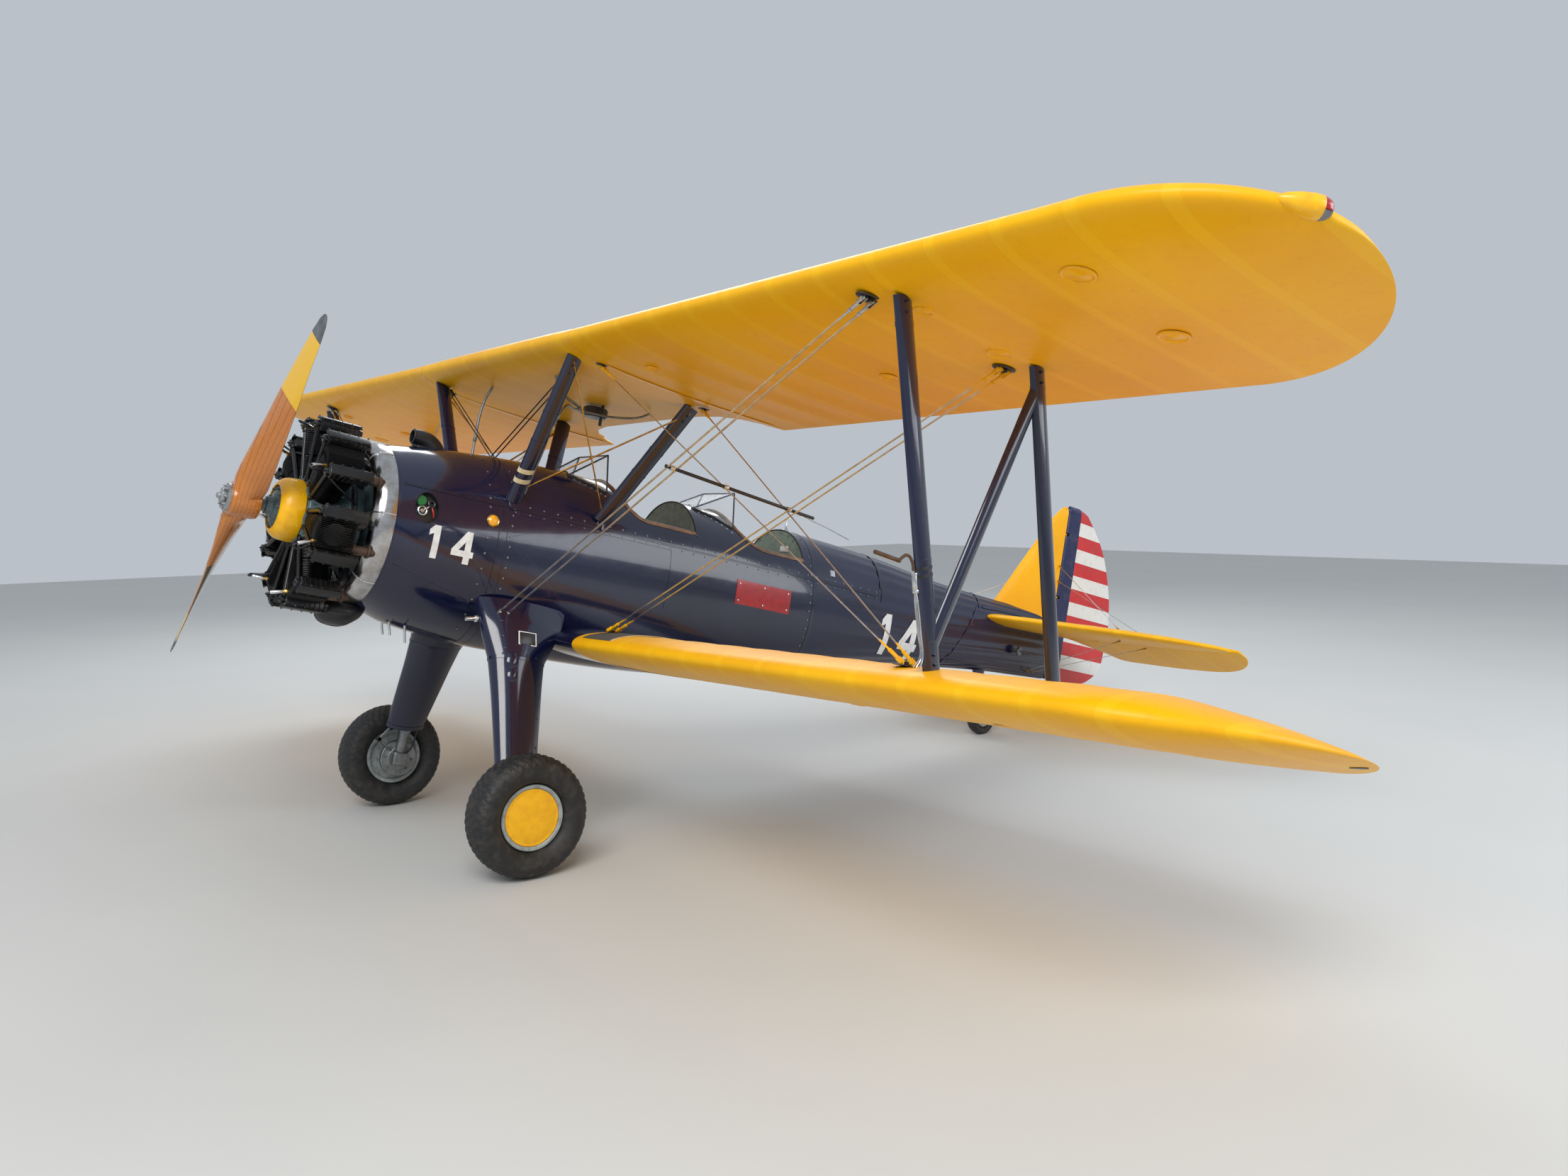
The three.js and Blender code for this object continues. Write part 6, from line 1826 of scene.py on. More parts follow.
GEAR_FITTING = Vector((0.452, 1.330, -0.385))
WIRES = {
    # name: (one end, other end, distance between the pair)
    "flying_wire_front": (GEAR_FITTING, under_upper(3.206, 0.108, 0.012), 0.050),
    "flying_wire_rear": (on_lower(0.800, 0.13, 0.014), under_upper(3.200, 0.645, 0.012), 0.050),
}
LANDING = [(on_lower(3.160, 0.118, 0.014), under_upper(1.000, 0.165, 0.012)),
           (on_lower(3.222, 0.118, 0.014), under_upper(0.896, 0.660, 0.012))]

DOWN = Vector((0, 0, -1))
steel_ends, yellow_ends, bases = [], [], []
print("wires to hang on each side:", len(WIRES) * 2 + len(LANDING))

# %% [markdown]
# Each wire's pin goes through a lug that stands on an oval plate on the wing. The wires of a pair run side
# by side, so the loop shifts one pattern fore and aft and mirrors the lot to starboard.

# %% Plates, and every wire in its place
def base_plate(at, normal, size):
    plate = turned([(0, 0), (1, 0), (1, 0.0025), (0.93, 0.004), (0, 0.004)], steps=28)
    lug = block((-0.008, -0.016, 0), (0.008, 0.016, 0.020), 0.003)
    moved(plate, Matrix.Diagonal((size[0], size[1], 1, 1)))
    return moved(joined(plate, lug), aim(at, normal, math.radians(90)))

for side, mirror in SIDES.items():
    for name, (low, high, spread) in WIRES.items():
        bodies = []
        for shift in (-0.5, 0.5):
            offset = Vector((0, spread * shift, 0))
            body, ends = brace_wire(low + offset, high + offset)
            bodies.append(body)
            (yellow_ends if name.endswith("rear") else steel_ends).append(moved(ends, mirror))
        bases.append(moved(base_plate(high + ABOVE * 0.012, DOWN, (0.062, 0.040)), mirror))
        wires = moved(joined(*bodies), mirror)
        piece(wires, f"{name}_{side}_pair", "bare_steel", bare_steel)
        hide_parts(f"{name}_{side}")
    bodies = []
    for low, high in LANDING:
        body, ends = brace_wire(low, high)
        bodies.append(body)
        yellow_ends.append(moved(ends, mirror))
        bases.append(moved(base_plate(high + ABOVE * 0.012, DOWN, (0.035, 0.028)), mirror))
    foot = (LANDING[0][0] + LANDING[1][0]) / 2 - ABOVE * 0.014
    bases.append(moved(base_plate(foot, ABOVE, (0.075, 0.045)), mirror))
    foot = WIRES["flying_wire_rear"][0] - ABOVE * 0.014
    bases.append(moved(base_plate(foot, ABOVE, (0.06, 0.04)), mirror))
    wires = moved(joined(*bodies), mirror)
    piece(wires, f"landing_wires_{side}", "bare_steel", bare_steel)
    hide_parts(f"landing_wire_{side}")
piece(joined(*steel_ends), "wire_forks_steel", "bare_steel", bare_steel, 30)
piece(joined(*yellow_ends), "wire_forks_yellow", "yellow_paint", yellow_paint, 30)
piece(joined(*bases), "wire_base_plates", "black_metal", dark_steel, 30)
print("bracing wires with", len(WIRES) * 4 + 4, "wires and their forks")

# %% [markdown]
# Where the wires cross, a dark wooden rod ties them together so that they don't hum: it is clipped to each
# wire. Between the cabane struts run two crossed pairs of thin wires and single ties; they keep the upper
# wing from swaying.

# %% Spreader rod and cabane wires
rods, clips, dark_wires, bright_ties = [], [], [], []
SPREADER = ((2.000, 1.285, 0.434), (2.060, 2.160, 0.372))
for side in (1, -1):
    a, b = (Vector((x * side, y, z)) for x, y, z in SPREADER)
    rods.append(bar(a, b, 0.0085, 14, 0.003))
    half_clip = (b - a).normalized() * 0.012
    for share in (0.045, 0.39, 0.82):
        at = a.lerp(b, share)
        clips.append(bar(at - half_clip, at + half_clip, 0.0125, 14, 0.002))
piece(joined(*rods), "wire_spreaders", "varnished_wood", black_metal)
piece(joined(*clips), "spreader_clips", "bare_steel", bright_steel)

front_top, rear_top = under_upper(0.897, 0.088, 0.03), under_upper(0.788, 0.646, 0.03)
front_foot, rear_foot = Vector(CABANES["front"][0]), Vector(CABANES["rear"][0])
TIES = [
    # one end, other end, width and thickness of the wire
    (front_top, rear_foot + Vector((0.03, -0.03, 0.05)), 0.009, 0.0035),
    (front_foot + Vector((0.03, 0.02, 0.06)), rear_top, 0.012, 0.006),
]

def on_the_side(point, side):
    return Vector((point.x * side, point.y, point.z))

for side in (1, -1):
    for a, b, wide, thick in TIES:
        bright_ties += brace_wire(on_the_side(a, side), on_the_side(b, side), wide, thick, 0.6)
    for shift in (-0.014, 0.014):
        low = Vector((-0.395 * side, 1.330 + shift, 0.330))
        high = on_the_side(under_upper(0.860, 0.110, 0.02), side) + THRUST * shift
        dark_wires += brace_wire(low, high, 0.009, 0.005, 0.6)
piece(joined(*bright_ties), "cabane_ties", "bare_steel", brass, 30)
piece(joined(*dark_wires), "cabane_cross_wires", "bare_steel", dark_steel, 30)
print("spreaders and cabane wires done")

# %% [markdown]
# A windscreen is three flat panes in a thin frame, with a dark sealing strip where they stand on the deck.
# The panes meet a curved deck, so the foot of the strip is found by walking down each pane until it crosses
# the skin; the screws beside it follow the same line.

# %% Glass and the deck's height
def clear_glass():
    finish = Finish("clear_pane")
    smudge = finish.ramp(finish.noise(9, 5, 0.6), 0.42, 0.75)
    tint = finish.mix(smudge, (226, 236, 236), (240, 240, 236))
    return finish.paint(Base_Color=tint, Roughness=finish.ramp(smudge, 0, 1, 0.14, 0.24),
                        Alpha=finish.ramp(smudge, 0, 1, 0.10, 0.17), Coat_Weight=0.0)

clear_pane = clear_glass()
print("glass ready")

# %% [markdown]
# The windscreens, their screws and the aerial stand on a curved deck. Its height at any place comes from
# the fuselage's own sections, so what stands on it has no gap below.

# %% The deck's height
def deck_height(x, y):
    half, top, wide, bottom, above, below = station(y)
    return wide + (top - wide) * max(0.0, 1 - (abs(x) / half) ** above) ** (1 / above)

def on_deck(x, y, lift=0.0):
    """A place on the upper skin over x and y, and its outward direction."""
    step = 0.004
    spot = Vector((x, y, deck_height(x, y)))
    across = Vector((2 * step, 0, deck_height(x + step, y) - deck_height(x - step, y)))
    along = Vector((0, 2 * step, deck_height(x, y + step) - deck_height(x, y - step)))
    normal = across.cross(along).normalized()
    return spot + normal * lift, normal
print("deck height at the rear screen", round(deck_height(0, 2.662), 3))

# %% [markdown]
# Each screen is given by a few points of its port side: the foot, the top corner and the rear foot. The
# mirror gives the others. The seal follows the line where the glass comes up through the deck.

# %% Windscreens
WINDSCREENS = {
    # name: foot of the middle pane, top edge y and z, rear foot of the side pane y and z
    "front": (1.735, 1.985, 0.722, 1.975, 0.402), "rear": (2.662, 2.975, 0.706, 2.942, 0.421),
}
PANE_THICK, FOOT_X, TOP_X, REAR_X = 0.004, 0.170, 0.185, 0.290

def flat_pane(corners):
    """A glass plate from its corners, taken in order."""
    a, b, c = corners[:3]
    push = (b - a).cross(c - a).normalized() * PANE_THICK
    obj = line_mesh(corners)
    pick(obj, "VERT", lambda point: True)
    bpy.ops.mesh.edge_face_add()
    bpy.ops.mesh.extrude_region_move(TRANSFORM_OT_translate={"value": push})
    close(obj)
    outward(obj)
    return modified(obj, "BEVEL", width=0.0012, segments=2)

def crossing(low, high, steps=40):
    """Where the line from low to high comes up through the deck."""
    for i in range(steps + 1):
        place = low.lerp(high, i / steps)
        if place.z >= deck_height(place.x, place.y) - 0.001:
            return place
    return high

def mirror_x(point):
    return on_the_side(point, -1)

for name, (foot, top_y, top_z, rear_y, rear_z) in WINDSCREENS.items():
    low = Vector((FOOT_X, foot, station(foot)[1] - 0.040))
    high, rear = Vector((TOP_X, top_y, top_z)), Vector((REAR_X, rear_y, rear_z))
    panes = [flat_pane([mirror_x(low), low, high, mirror_x(high)]), flat_pane([low, rear, high])]
    panes.append(copy_of(panes[1], STARBOARD))
    glazing = piece(joined(*panes), f"windscreen_panes_{name}", "clear_pane", clear_pane, 30)
    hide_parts(f"windscreen_{name}")
    seal = [crossing(low.lerp(rear, i / 14), high) for i in range(15)]
    middle = [crossing(mirror_x(low).lerp(low, i / 10), mirror_x(high).lerp(high, i / 10))
              for i in range(1, 10)]
    line = [mirror_x(place) for place in reversed(seal)] + middle + seal
    frames = [tube([mirror_x(seal[0]), mirror_x(high), high, seal[0]], 0.0055, 3),
              bar(high, seal[-1], 0.0055, 12), bar(mirror_x(high), mirror_x(seal[-1]), 0.0055, 12)]
    piece(joined(*frames), f"windscreen_frame_{name}", "navy_strut", navy_strut, 40)
    seal_tube = tube(line, 0.009, 3)
    piece(seal_tube, f"windscreen_seal_{name}", "black_metal", black_metal, 50)
    heads = []
    for place in line[::2]:
        shift = Vector((0.024 * math.copysign(min(1, abs(place.x) / 0.17), place.x), -0.020, 0))
        heads.append(on_deck(place.x + shift.x, place.y + shift.y, 0.001))
    screws = screws_at(heads, 0.0055)
    piece(screws, f"windscreen_screws_{name}", "bare_steel", bright_steel)
print("windscreens done")

# %% [markdown]
# Round each opening runs a padded roll of brown leather that keeps elbows off the cut metal. It is a tube
# laid along the opening's own edge, subdivided and creased by displacement, with a cord of stitches along
# it. The bulkheads behind the seats are plain painted plates with a rolled edge.

# %% Leather rolls
def leather():
    finish = Finish("leather_roll")
    grain = finish.noise(420, 4, 0.6)
    wear = finish.ramp(finish.noise(14, 4, 0.6), 0.4, 0.7)
    finish.relief(grain, 0.0006)
    finish.relief(finish.noise(60, 3, 0.5), 0.0015)
    colour = finish.mix(wear, (104, 76, 58), (146, 112, 88))
    return finish.paint(Base_Color=colour, Roughness=finish.ramp(wear, 0, 1, 0.45, 0.7))

leather_roll = leather()
print("leather ready")

# %% [markdown]
# The roll follows the opening's edge exactly, so its line is computed from the same numbers that cut the
# skin. It runs from the rear port corner forward, over the deck and back on the other side, and the roll
# and its stitches are laid along it.

# %% The line of the rim
def rim_line(front, slope, rear):
    """The opening's edge from the rear port corner forward, over the deck and back on the other side."""
    profile = slope_points(front, slope, 40)
    port = []
    for i in range(26):
        y = rear - 0.006 + (profile[-1][0] - rear + 0.006) * i / 25
        port.append((y, SILL_Z))
    port += list(reversed(profile))[1:]
    line = []
    for y, z in port:
        half, top, wide, bottom, above, below = station(y)
        if z >= top - 0.0005:
            break
        x = half * (1 - ((z - wide) / (top - wide)) ** above) ** (1 / above)
        line.append(Vector((x, y, z)))
    last = line[-1]
    across = [last.x * (1 - 2 * k / 12) for k in range(1, 12)]
    bridge = [Vector((x, last.y, deck_height(x, last.y))) for x in across]
    return line + bridge + [mirror_x(place) for place in reversed(line)]

wrinkles = bpy.data.textures.new("wrinkles", "CLOUDS")
wrinkles.noise_scale = 0.035
for name, (front, slope, rear) in COCKPITS.items():
    line = rim_line(front, slope, rear)
    inward = [Vector((place.x * 0.985, place.y, place.z + 0.004)) for place in line]
    roll = tube(inward, 0.0135, 4)
    roll.name = f"coaming_{name}"
    modified(roll, "SUBSURF", levels=1)
    modified(roll, "DISPLACE", texture=wrinkles, strength=0.005, mid_level=0.55)
    piece(roll, f"coaming_{name}", None, leather_roll, 60)
    stitch = peg(-0.004, 0.004, 0.0011, 6)
    spots = []
    for a, b in zip(inward, inward[1:]):
        way = (b - a).normalized()
        turn = way.to_track_quat("Z", "Y").to_matrix().to_4x4()
        for k in range(max(1, int((b - a).length / 0.012))):
            out = Vector((math.copysign(0.0130, a.x), 0, -0.005))
            spots.append(Matrix.Translation(a + way * 0.012 * k + out) @ turn)
    piece(scattered(stitch, spots), f"coaming_stitches_{name}", None, cream_paint, 40)
print("leather rolls done")

# %% [markdown]
# Behind each seat a flat wall closes the bay. It is a plate in the shape of the skin's own arch above the
# sills, drawn in a little, with a dark beading along its edge and a row of screws.

# %% Bulkheads behind the seats
def arch_line(y, shrink, steps=40):
    """The skin's own arch at y from sill to sill, drawn in a little."""
    line = []
    half, top, wide, bottom, above, below = station(y)
    first = math.asin(min(1.0, ((SILL_Z - 0.01 - wide) / (top - wide)) ** (above / 2)))
    for i in range(steps + 1):
        angle = first + (math.pi - 2 * first) * i / steps
        line.append(skin_ring(y, angle, -shrink))
    return line

faces_made = []
for name, (front, slope, rear) in COCKPITS.items():
    arch = arch_line(rear - 0.0035, 0.004)
    plate = line_mesh(arch)
    pick(plate, "VERT", lambda point: True)
    bpy.ops.mesh.edge_face_add()
    bpy.ops.mesh.extrude_region_move(TRANSFORM_OT_translate={"value": (0, 0.003, 0)})
    close(plate)
    outward(plate)
    edge = tube(arch_line(rear - 0.002, 0.002), 0.006, 3)
    piece(plate, f"bulkhead_plate_{name}", "cockpit_green", cockpit_green, 40)
    piece(edge, f"bulkhead_edge_{name}", "navy_strut", black_metal, 50)
    heads = [(place + Vector((0, -0.006, 0)), (0, -1, 0)) for place in arch_line(rear, 0.022)[2:-2:4]]
    faces_made.append(screws_at(heads, 0.0045))
label = block((0.06, 3.5315, 0.415), (0.15, 3.5355, 0.455), 0.001)
piece(joined(*faces_made), "bulkhead_screws", "bare_steel", dull_alloy)
piece(label, "blank_label", "cockpit_green", white_paint)
print("bulkheads done")

# %% [markdown]
# Dashboards: black crackle panels with round dials. A dial is a turned bezel, a dark face, twelve ticks
# with the long ones at the quarters, and a needle.

# %% Dials
DIALS = [
    # x, z, radius, needle angle in degrees
    (-0.100, 0.420, 0.040, 40), (0.100, 0.420, 0.040, 200), (0.0, 0.400, 0.040, 120),
    (-0.205, 0.320, 0.030, 310),
    (-0.100, 0.315, 0.036, 160), (0.0, 0.300, 0.036, 80), (0.100, 0.315, 0.036, 250),
    (0.205, 0.320, 0.030, 15),
    (-0.150, 0.215, 0.028, 95), (0.150, 0.215, 0.028, 330), (0.0, 0.205, 0.030, 220),
]
PANEL_FACE = 0.044  # ahead of the opening's front edge
bezels, dial_faces, marks = [], [], []
for front, slope, rear in COCKPITS.values():
    y = front - PANEL_FACE
    for x, z, radius, angle in DIALS:
        at = (x, y, z)
        bezels.append(turned([(radius * 0.86, 0.0), (radius * 0.86, 0.006), (radius * 0.94, 0.009),
                              (radius, 0.006),
                              (radius, 0.0), (radius * 0.86, 0.0)], at, (0, 1, 0), 36))
        dial_faces.append(bar((x, y, z), (x, y + 0.003, z), radius * 0.88, 36))
        for k in range(12):
            turn = Matrix.Translation((x, y + 0.0042, z)) @ Matrix.Rotation(math.radians(30 * k), 4, "Y")
            length = radius * (0.20 if k % 3 == 0 else 0.11)
            tick = block((-radius * 0.02, -0.0006, radius * 0.82 - length),
                         (radius * 0.02, 0.0006, radius * 0.82), 0)
            marks.append(moved(tick, turn))
        needle = block((-radius * 0.03, 0, -radius * 0.18), (radius * 0.03, 0.0012, radius * 0.68), 0.0003)
        turn = Matrix.Translation((x, y + 0.0045, z)) @ Matrix.Rotation(math.radians(angle), 4, "Y")
        marks.append(moved(needle, turn))
        marks.append(bar((x, y + 0.003, z), (x, y + 0.0065, z), radius * 0.09, 16))
piece(joined(*bezels), "dial_bezels", "black_metal", dark_steel)
piece(joined(*dial_faces), "dial_faces", "black_metal", black_metal)
piece(joined(*marks), "dial_marks", "black_metal", white_paint, 0)
print(len(DIALS) * 2, "dials")

# %% [markdown]
# Seats: a bucket of pressed sheet that stays as the frame made it, and on it a crowned seat pad, a back pad
# and webbing. The pads are closed boxes, subdivided and drawn out in the middle by a smooth curve in the
# mesh, with sunk seams pressed along two lines.

# %% Seat pads and belts
def canvas(name, light, dark):
    finish = Finish(name)
    weave(finish, 1400, 0.0003)
    patches = finish.ramp(finish.noise(18, 4), 0.4, 0.7)
    return finish.paint(Base_Color=finish.mix(patches, light, dark),
                        Roughness=finish.ramp(patches, 0, 1, 0.78, 0.92))

pad_canvas = canvas("pad_canvas", (112, 104, 74), (92, 86, 62))
belt_webbing = canvas("belt_webbing", (176, 166, 134), (148, 138, 108))
print("canvas and webbing ready")

# %% [markdown]
# A pad is a crowned cushion: a subdivided block whose top swells and whose sides pull in between the
# corners, with two sewn channels pressed in. The belts lie over it as flat webbing with a buckle. The stick
# gets a grip and a pleated boot, and the throttle sits on the port wall.

# %% Pads, belts and sticks
BELT_WIDTH = 0.042
GRIP_SECTION = [
    # radius, height
    (0.0, 0.0), (0.012, 0.0), (0.016, 0.008), (0.0145, 0.030), (0.0175, 0.060), (0.0155, 0.090),
    (0.019, 0.115),
    (0.014, 0.128), (0, 0.131),
]
BOOT_SECTION = [
    (0, 0), (0.052, 0.0), (0.050, 0.006), (0.036, 0.020), (0.040, 0.028), (0.027, 0.042), (0.030, 0.050),
    (0.016, 0.066), (0.0135, 0.070), (0, 0.070),
]

def pad(size, crown, place):
    """A cushion about its own middle, swollen by crown, with two sewn channels."""
    obj = start("cube", size=1)
    pick(obj, "FACE", lambda face: True)
    bpy.ops.mesh.subdivide(number_cuts=18)
    close(obj)
    wide, long, thick = size
    for point in obj.data.vertices:
        x, y, z = point.co * 2
        pinch = 1 - 0.05 * (1 - max(0, 1 - z * z))
        pinch = pinch - 0.035 * (1 - abs(x) ** 3) * abs(y) ** 8 - 0.035 * (1 - abs(y) ** 3) * abs(x) ** 8
        swell = (1 - x**4) * (1 - y**4)
        seam = sum(math.exp(-((y - line) / 0.045) ** 2) for line in (-7 / 19, 7 / 19)) * 0.30 * (1 - x**10)
        rise = z * (thick / 2 * (0.55 + 0.45 * (1 - abs(x) ** 6) * (1 - abs(y) ** 6)) + crown
                    * max(0, swell - seam))
        point.co = Vector((x * wide / 2 * pinch, y * long / 2 * pinch, rise))
    modified(obj, "SUBSURF", levels=1)
    modified(obj, "DISPLACE", texture=wrinkles, strength=0.004, mid_level=0.5)
    return moved(obj, place)

for name, (front, slope, rear) in COCKPITS.items():
    seat_front, seat_back = rear - 0.430, rear - 0.024
    back_face = seat_back - 0.022
    under = Matrix.Translation((0, (seat_front + back_face) / 2 - 0.01, -0.140))
    seat_pad = pad((0.370, 0.330, 0.060), 0.012, under)
    behind = Matrix.Translation((0, back_face - 0.036, 0.045)) @ Matrix.Rotation(math.radians(90), 4, "X")
    back_pad = pad((0.350, 0.310, 0.050), 0.010, behind)
    for obj, label_of in ((seat_pad, "seat_pad"), (back_pad, "back_pad")):
        piece(obj, f"{label_of}_{name}", None, pad_canvas, 60)
    straps = []
    for side in (-1, 1):
        lap = [(side * 0.200, back_face - 0.05, -0.125), (side * 0.150, back_face - 0.12, -0.088),
               (side * 0.080, seat_front + 0.13, -0.084), (side * 0.030, seat_front + 0.10, -0.086)]
        shoulder = [(side * 0.090, back_face + 0.012, 0.225), (side * 0.090, back_face - 0.035, 0.232),
                    (side * 0.088, back_face - 0.078, 0.150), (side * 0.086, back_face - 0.085, 0.000)]
        for route, wide_way in ((lap, THRUST), (shoulder, PORT)):
            def place(u, v, route=route, wide_way=wide_way):
                return Vector(along_rows(route, v)) + wide_way * (u - 0.5) * BELT_WIDTH
            strap = wrapped(4, 40, place, caps=False)
            straps.append(modified(strap, "SOLIDIFY", thickness=0.0028, offset=0))
    piece(joined(*straps), f"belts_{name}", None, belt_webbing, 40)
    buckle = joined(block((-0.030, seat_front + 0.080, -0.082), (0.030, seat_front + 0.122, -0.074), 0.003),
                    block((-0.012, seat_front + 0.088, -0.075), (0.012, seat_front + 0.114, -0.069), 0.002))
    piece(buckle, f"belt_buckle_{name}", "bare_steel", bright_steel)
    stick_y = front + 0.050
    grip = turned(GRIP_SECTION, (0, stick_y + 0.0282, 0.045), (0, 0.064, 1), 28)
    boot = turned(BOOT_SECTION, (0, stick_y, -0.401), (0, 0.064, 1), 32)
    piece(joined(grip, boot), f"stick_grip_{name}", "black_metal", tyre_rubber, 40)
    quadrant = block((0.330, front + 0.14, 0.180), (0.348, front + 0.26, 0.250), 0.006, 3)
    levers = []
    for y in (front + 0.15, front + 0.18):
        levers.append(bar((0.330, y + 0.03, 0.21), (0.318, y, 0.29), 0.004, 12))
        levers.append(freed(start("uv_sphere", segments=20, ring_count=12, radius=0.011,
                                  location=(0.318, y, 0.296))))
    piece(joined(quadrant, *levers), f"throttle_{name}", "black_metal", black_metal)
print("seats, belts, sticks and throttles done")

# %% [markdown]
# Tail surfaces are thin frames under cloth: a blunt nose, nearly flat sides and a rounded bow for an edge.
# Each is a wrapped grid over a short table, the same tables as the solids. The cloth dips a little between
# the ribs.

# %% Tail shapes
FIN_ROWS = [
    # z, leading edge y
    (0.380, 5.840), (0.473, 5.904), (0.800, 6.132), (1.065, 6.320), (1.251, 6.449), (1.371, 6.558),
    (1.415, 6.618),
]
RUDDER_ROWS = [
    # z, trailing edge y
    (-0.100, 6.930), (-0.083, 7.188), (-0.016, 7.332), (0.063, 7.415), (0.150, 7.454), (0.320, 7.464),
    (0.492, 7.473),
    (0.748, 7.420), (1.016, 7.302), (1.161, 7.205), (1.276, 7.095), (1.360, 6.997), (1.405, 6.935),
    (1.436, 6.810),
]
TAILPLANE_ROWS = [
    # x, leading edge y, half thickness
    (0.020, 5.666, 0.046), (0.500, 5.815, 0.044), (1.000, 5.985, 0.040), (1.320, 6.135, 0.034),
    (1.540, 6.300, 0.026),
    (1.680, 6.470, 0.018), (1.740, 6.590, 0.012),
]
ELEVATOR_ROWS = [
    # x, trailing edge y, half thickness at the hinge
    (0.125, 6.790, 0.026), (0.230, 6.928, 0.026), (0.335, 7.066, 0.026), (0.440, 7.200, 0.026),
    (0.720, 7.226, 0.026),
    (1.000, 7.235, 0.026), (1.350, 7.205, 0.025), (1.560, 7.120, 0.022), (1.700, 6.990, 0.016),
    (1.770, 6.860, 0.011),
    (1.785, 6.790, 0.008),
]
RUDDER_HINGE_Y, FIN_END_Y = 6.682, 6.648
ELEVATOR_HINGE_Y, TAILPLANE_END_Y, TAILPLANE_Z = 6.700, 6.660, 0.305
DROOP = math.radians(15)
TAIL_RIBS, TAIL_SAG = 0.26, 0.0016
EYE_HALF, EYE_SLOT_HALF, EYE_RADIUS, PIN_RADIUS = 0.007, 0.013, 0.013, 0.005
print("tail tables ready, droop", round(math.degrees(DROOP)), "degrees")

# %% [markdown]
# A tail surface has a round nose and nearly flat sides. One function gives half the thickness at each share
# of the chord, and another the dip of the cloth between two ribs. The fin is the simplest of them: its rear
# edge is straight and carries the rudder's hinge eyes.

# %% A tail section, and the fin
def nosed(share, front_half, rear_half, nose=0.32):
    """Half the thickness at a share of the chord, blunt in front."""
    rise = math.sqrt(max(0.0, 1 - (1 - min(1.0, share / nose)) ** 2))
    if share < nose:
        return front_half * rise
    return front_half + (rear_half - front_half) * (share - nose) / (1 - nose)

def dip(along, share, start_at=0.0):
    """The cloth's sag between ribs."""
    window = min(1.0, max(0.0, share - 0.08) / 0.1) * min(1.0, (1 - share) / 0.08)
    return TAIL_SAG * window * math.sin(math.pi * ((along - start_at) % TAIL_RIBS) / TAIL_RIBS) ** 2

def tail_section(u):
    """Share of the chord and the side, from the rear edge round the nose and back."""
    share = 1 - math.cos(abs(1 - 2 * u) * math.pi / 2) if u not in (0, 1) else 1.0
    return share, 1 if u < 0.5 else -1

def fin_skin():
    def place(u, v):
        z, front = along_rows(FIN_ROWS, v)
        chord = FIN_END_Y - front
        share, side = tail_section(u)
        half = nosed(share, min(0.034, 0.010 + chord * 0.06), 0.028 * min(1, chord / 0.09))
        return Vector((side * max(0.0, half - dip(z, share, 0.06)), front + share * chord, z))
    return wrapped(52, 116, place)

def eye(at, along, arm_to):
    eye_bar = bar(at - along * EYE_HALF, at + along * EYE_HALF, EYE_RADIUS, 18, 0.001)
    low = Vector([min(a, b) for a, b in zip(at - along * EYE_HALF, arm_to - along * EYE_HALF)])
    high = Vector([max(a, b) for a, b in zip(at + along * EYE_HALF, arm_to + along * EYE_HALF)])
    thick = Vector((0.009, 0, 0)) if along.z else Vector((0, 0, 0.009))
    return joined(eye_bar, block(low - thick, high + thick, 0.001))

RUDDER_EYES = [0.080, 0.620, 1.180]
fin_eyes = [eye(Vector((0, RUDDER_HINGE_Y, z)), ABOVE, Vector((0, FIN_END_Y - 0.03, z))) for z in RUDDER_EYES]
fin = joined(fin_skin(), *fin_eyes[1:])
piece(fin, "fin_skin", "yellow_fabric", tail_fabric, 40)
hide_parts("fin")
piece(fin_eyes[0], "rudder_foot_eye", "navy_strut", navy_strut)
print("fin done")

# %% [markdown]
# A surface that moves has a half-round nose centred on its hinge. The rudder's table starts from the hinge
# line, and a slot is cut into its nose at each eye so that it can turn without touching the fin. A pin
# stays in it.

# %% The rudder
def moving_skin(rows, point, steps, start_at, end_half=0.004):
    """A hinged surface: a round nose about the hinge, then flat sides to the bow. Rows are the place along
    the hinge, the reach behind it and half the thickness there; point(row, ahead, side) places them."""
    arc_share = 0.26  # of the way round that belongs to the nose arc
    def place(u, v):
        row = along_rows(rows, v)
        reach, hinge_half = row[1:]
        if abs(u - 0.5) < arc_share / 2:
            angle = (u - 0.5) / arc_share * math.pi
            return point(row, -math.cos(angle) * hinge_half, -math.sin(angle) * hinge_half)
        way = (abs(u - 0.5) - arc_share / 2) / (0.5 - arc_share / 2)
        half = end_half + (hinge_half - end_half) * (1 - way**1.4)
        side = 1 if u < 0.5 else -1
        return point(row, way * reach, side * max(0.001, half - dip(row[0], way, start_at)))
    return wrapped(48, steps, place)

def closing(z):
    """How the rudder's thickness fades at its foot and its head."""
    to_end = min(z - RUDDER_LOW, RUDDER_HIGH - z) / 0.05
    return min(1.0, math.sqrt(max(0.0, 1 - (1 - min(1.0, to_end)) ** 2)) + 0.15)

def hinge_cut(flap, along, at):
    """A slot for one eye and the pin through it."""
    wide = Vector((0.06, 0, 0)) if along.z else Vector((0, 0, 0.1))
    slot = along * EYE_SLOT_HALF + wide
    cut_by(flap, block(at - slot - THRUST * 0.06, at + slot + THRUST * 0.02, 0))
    return joined(flap, bar(at - along * 0.02, at + along * 0.02, PIN_RADIUS, 12))

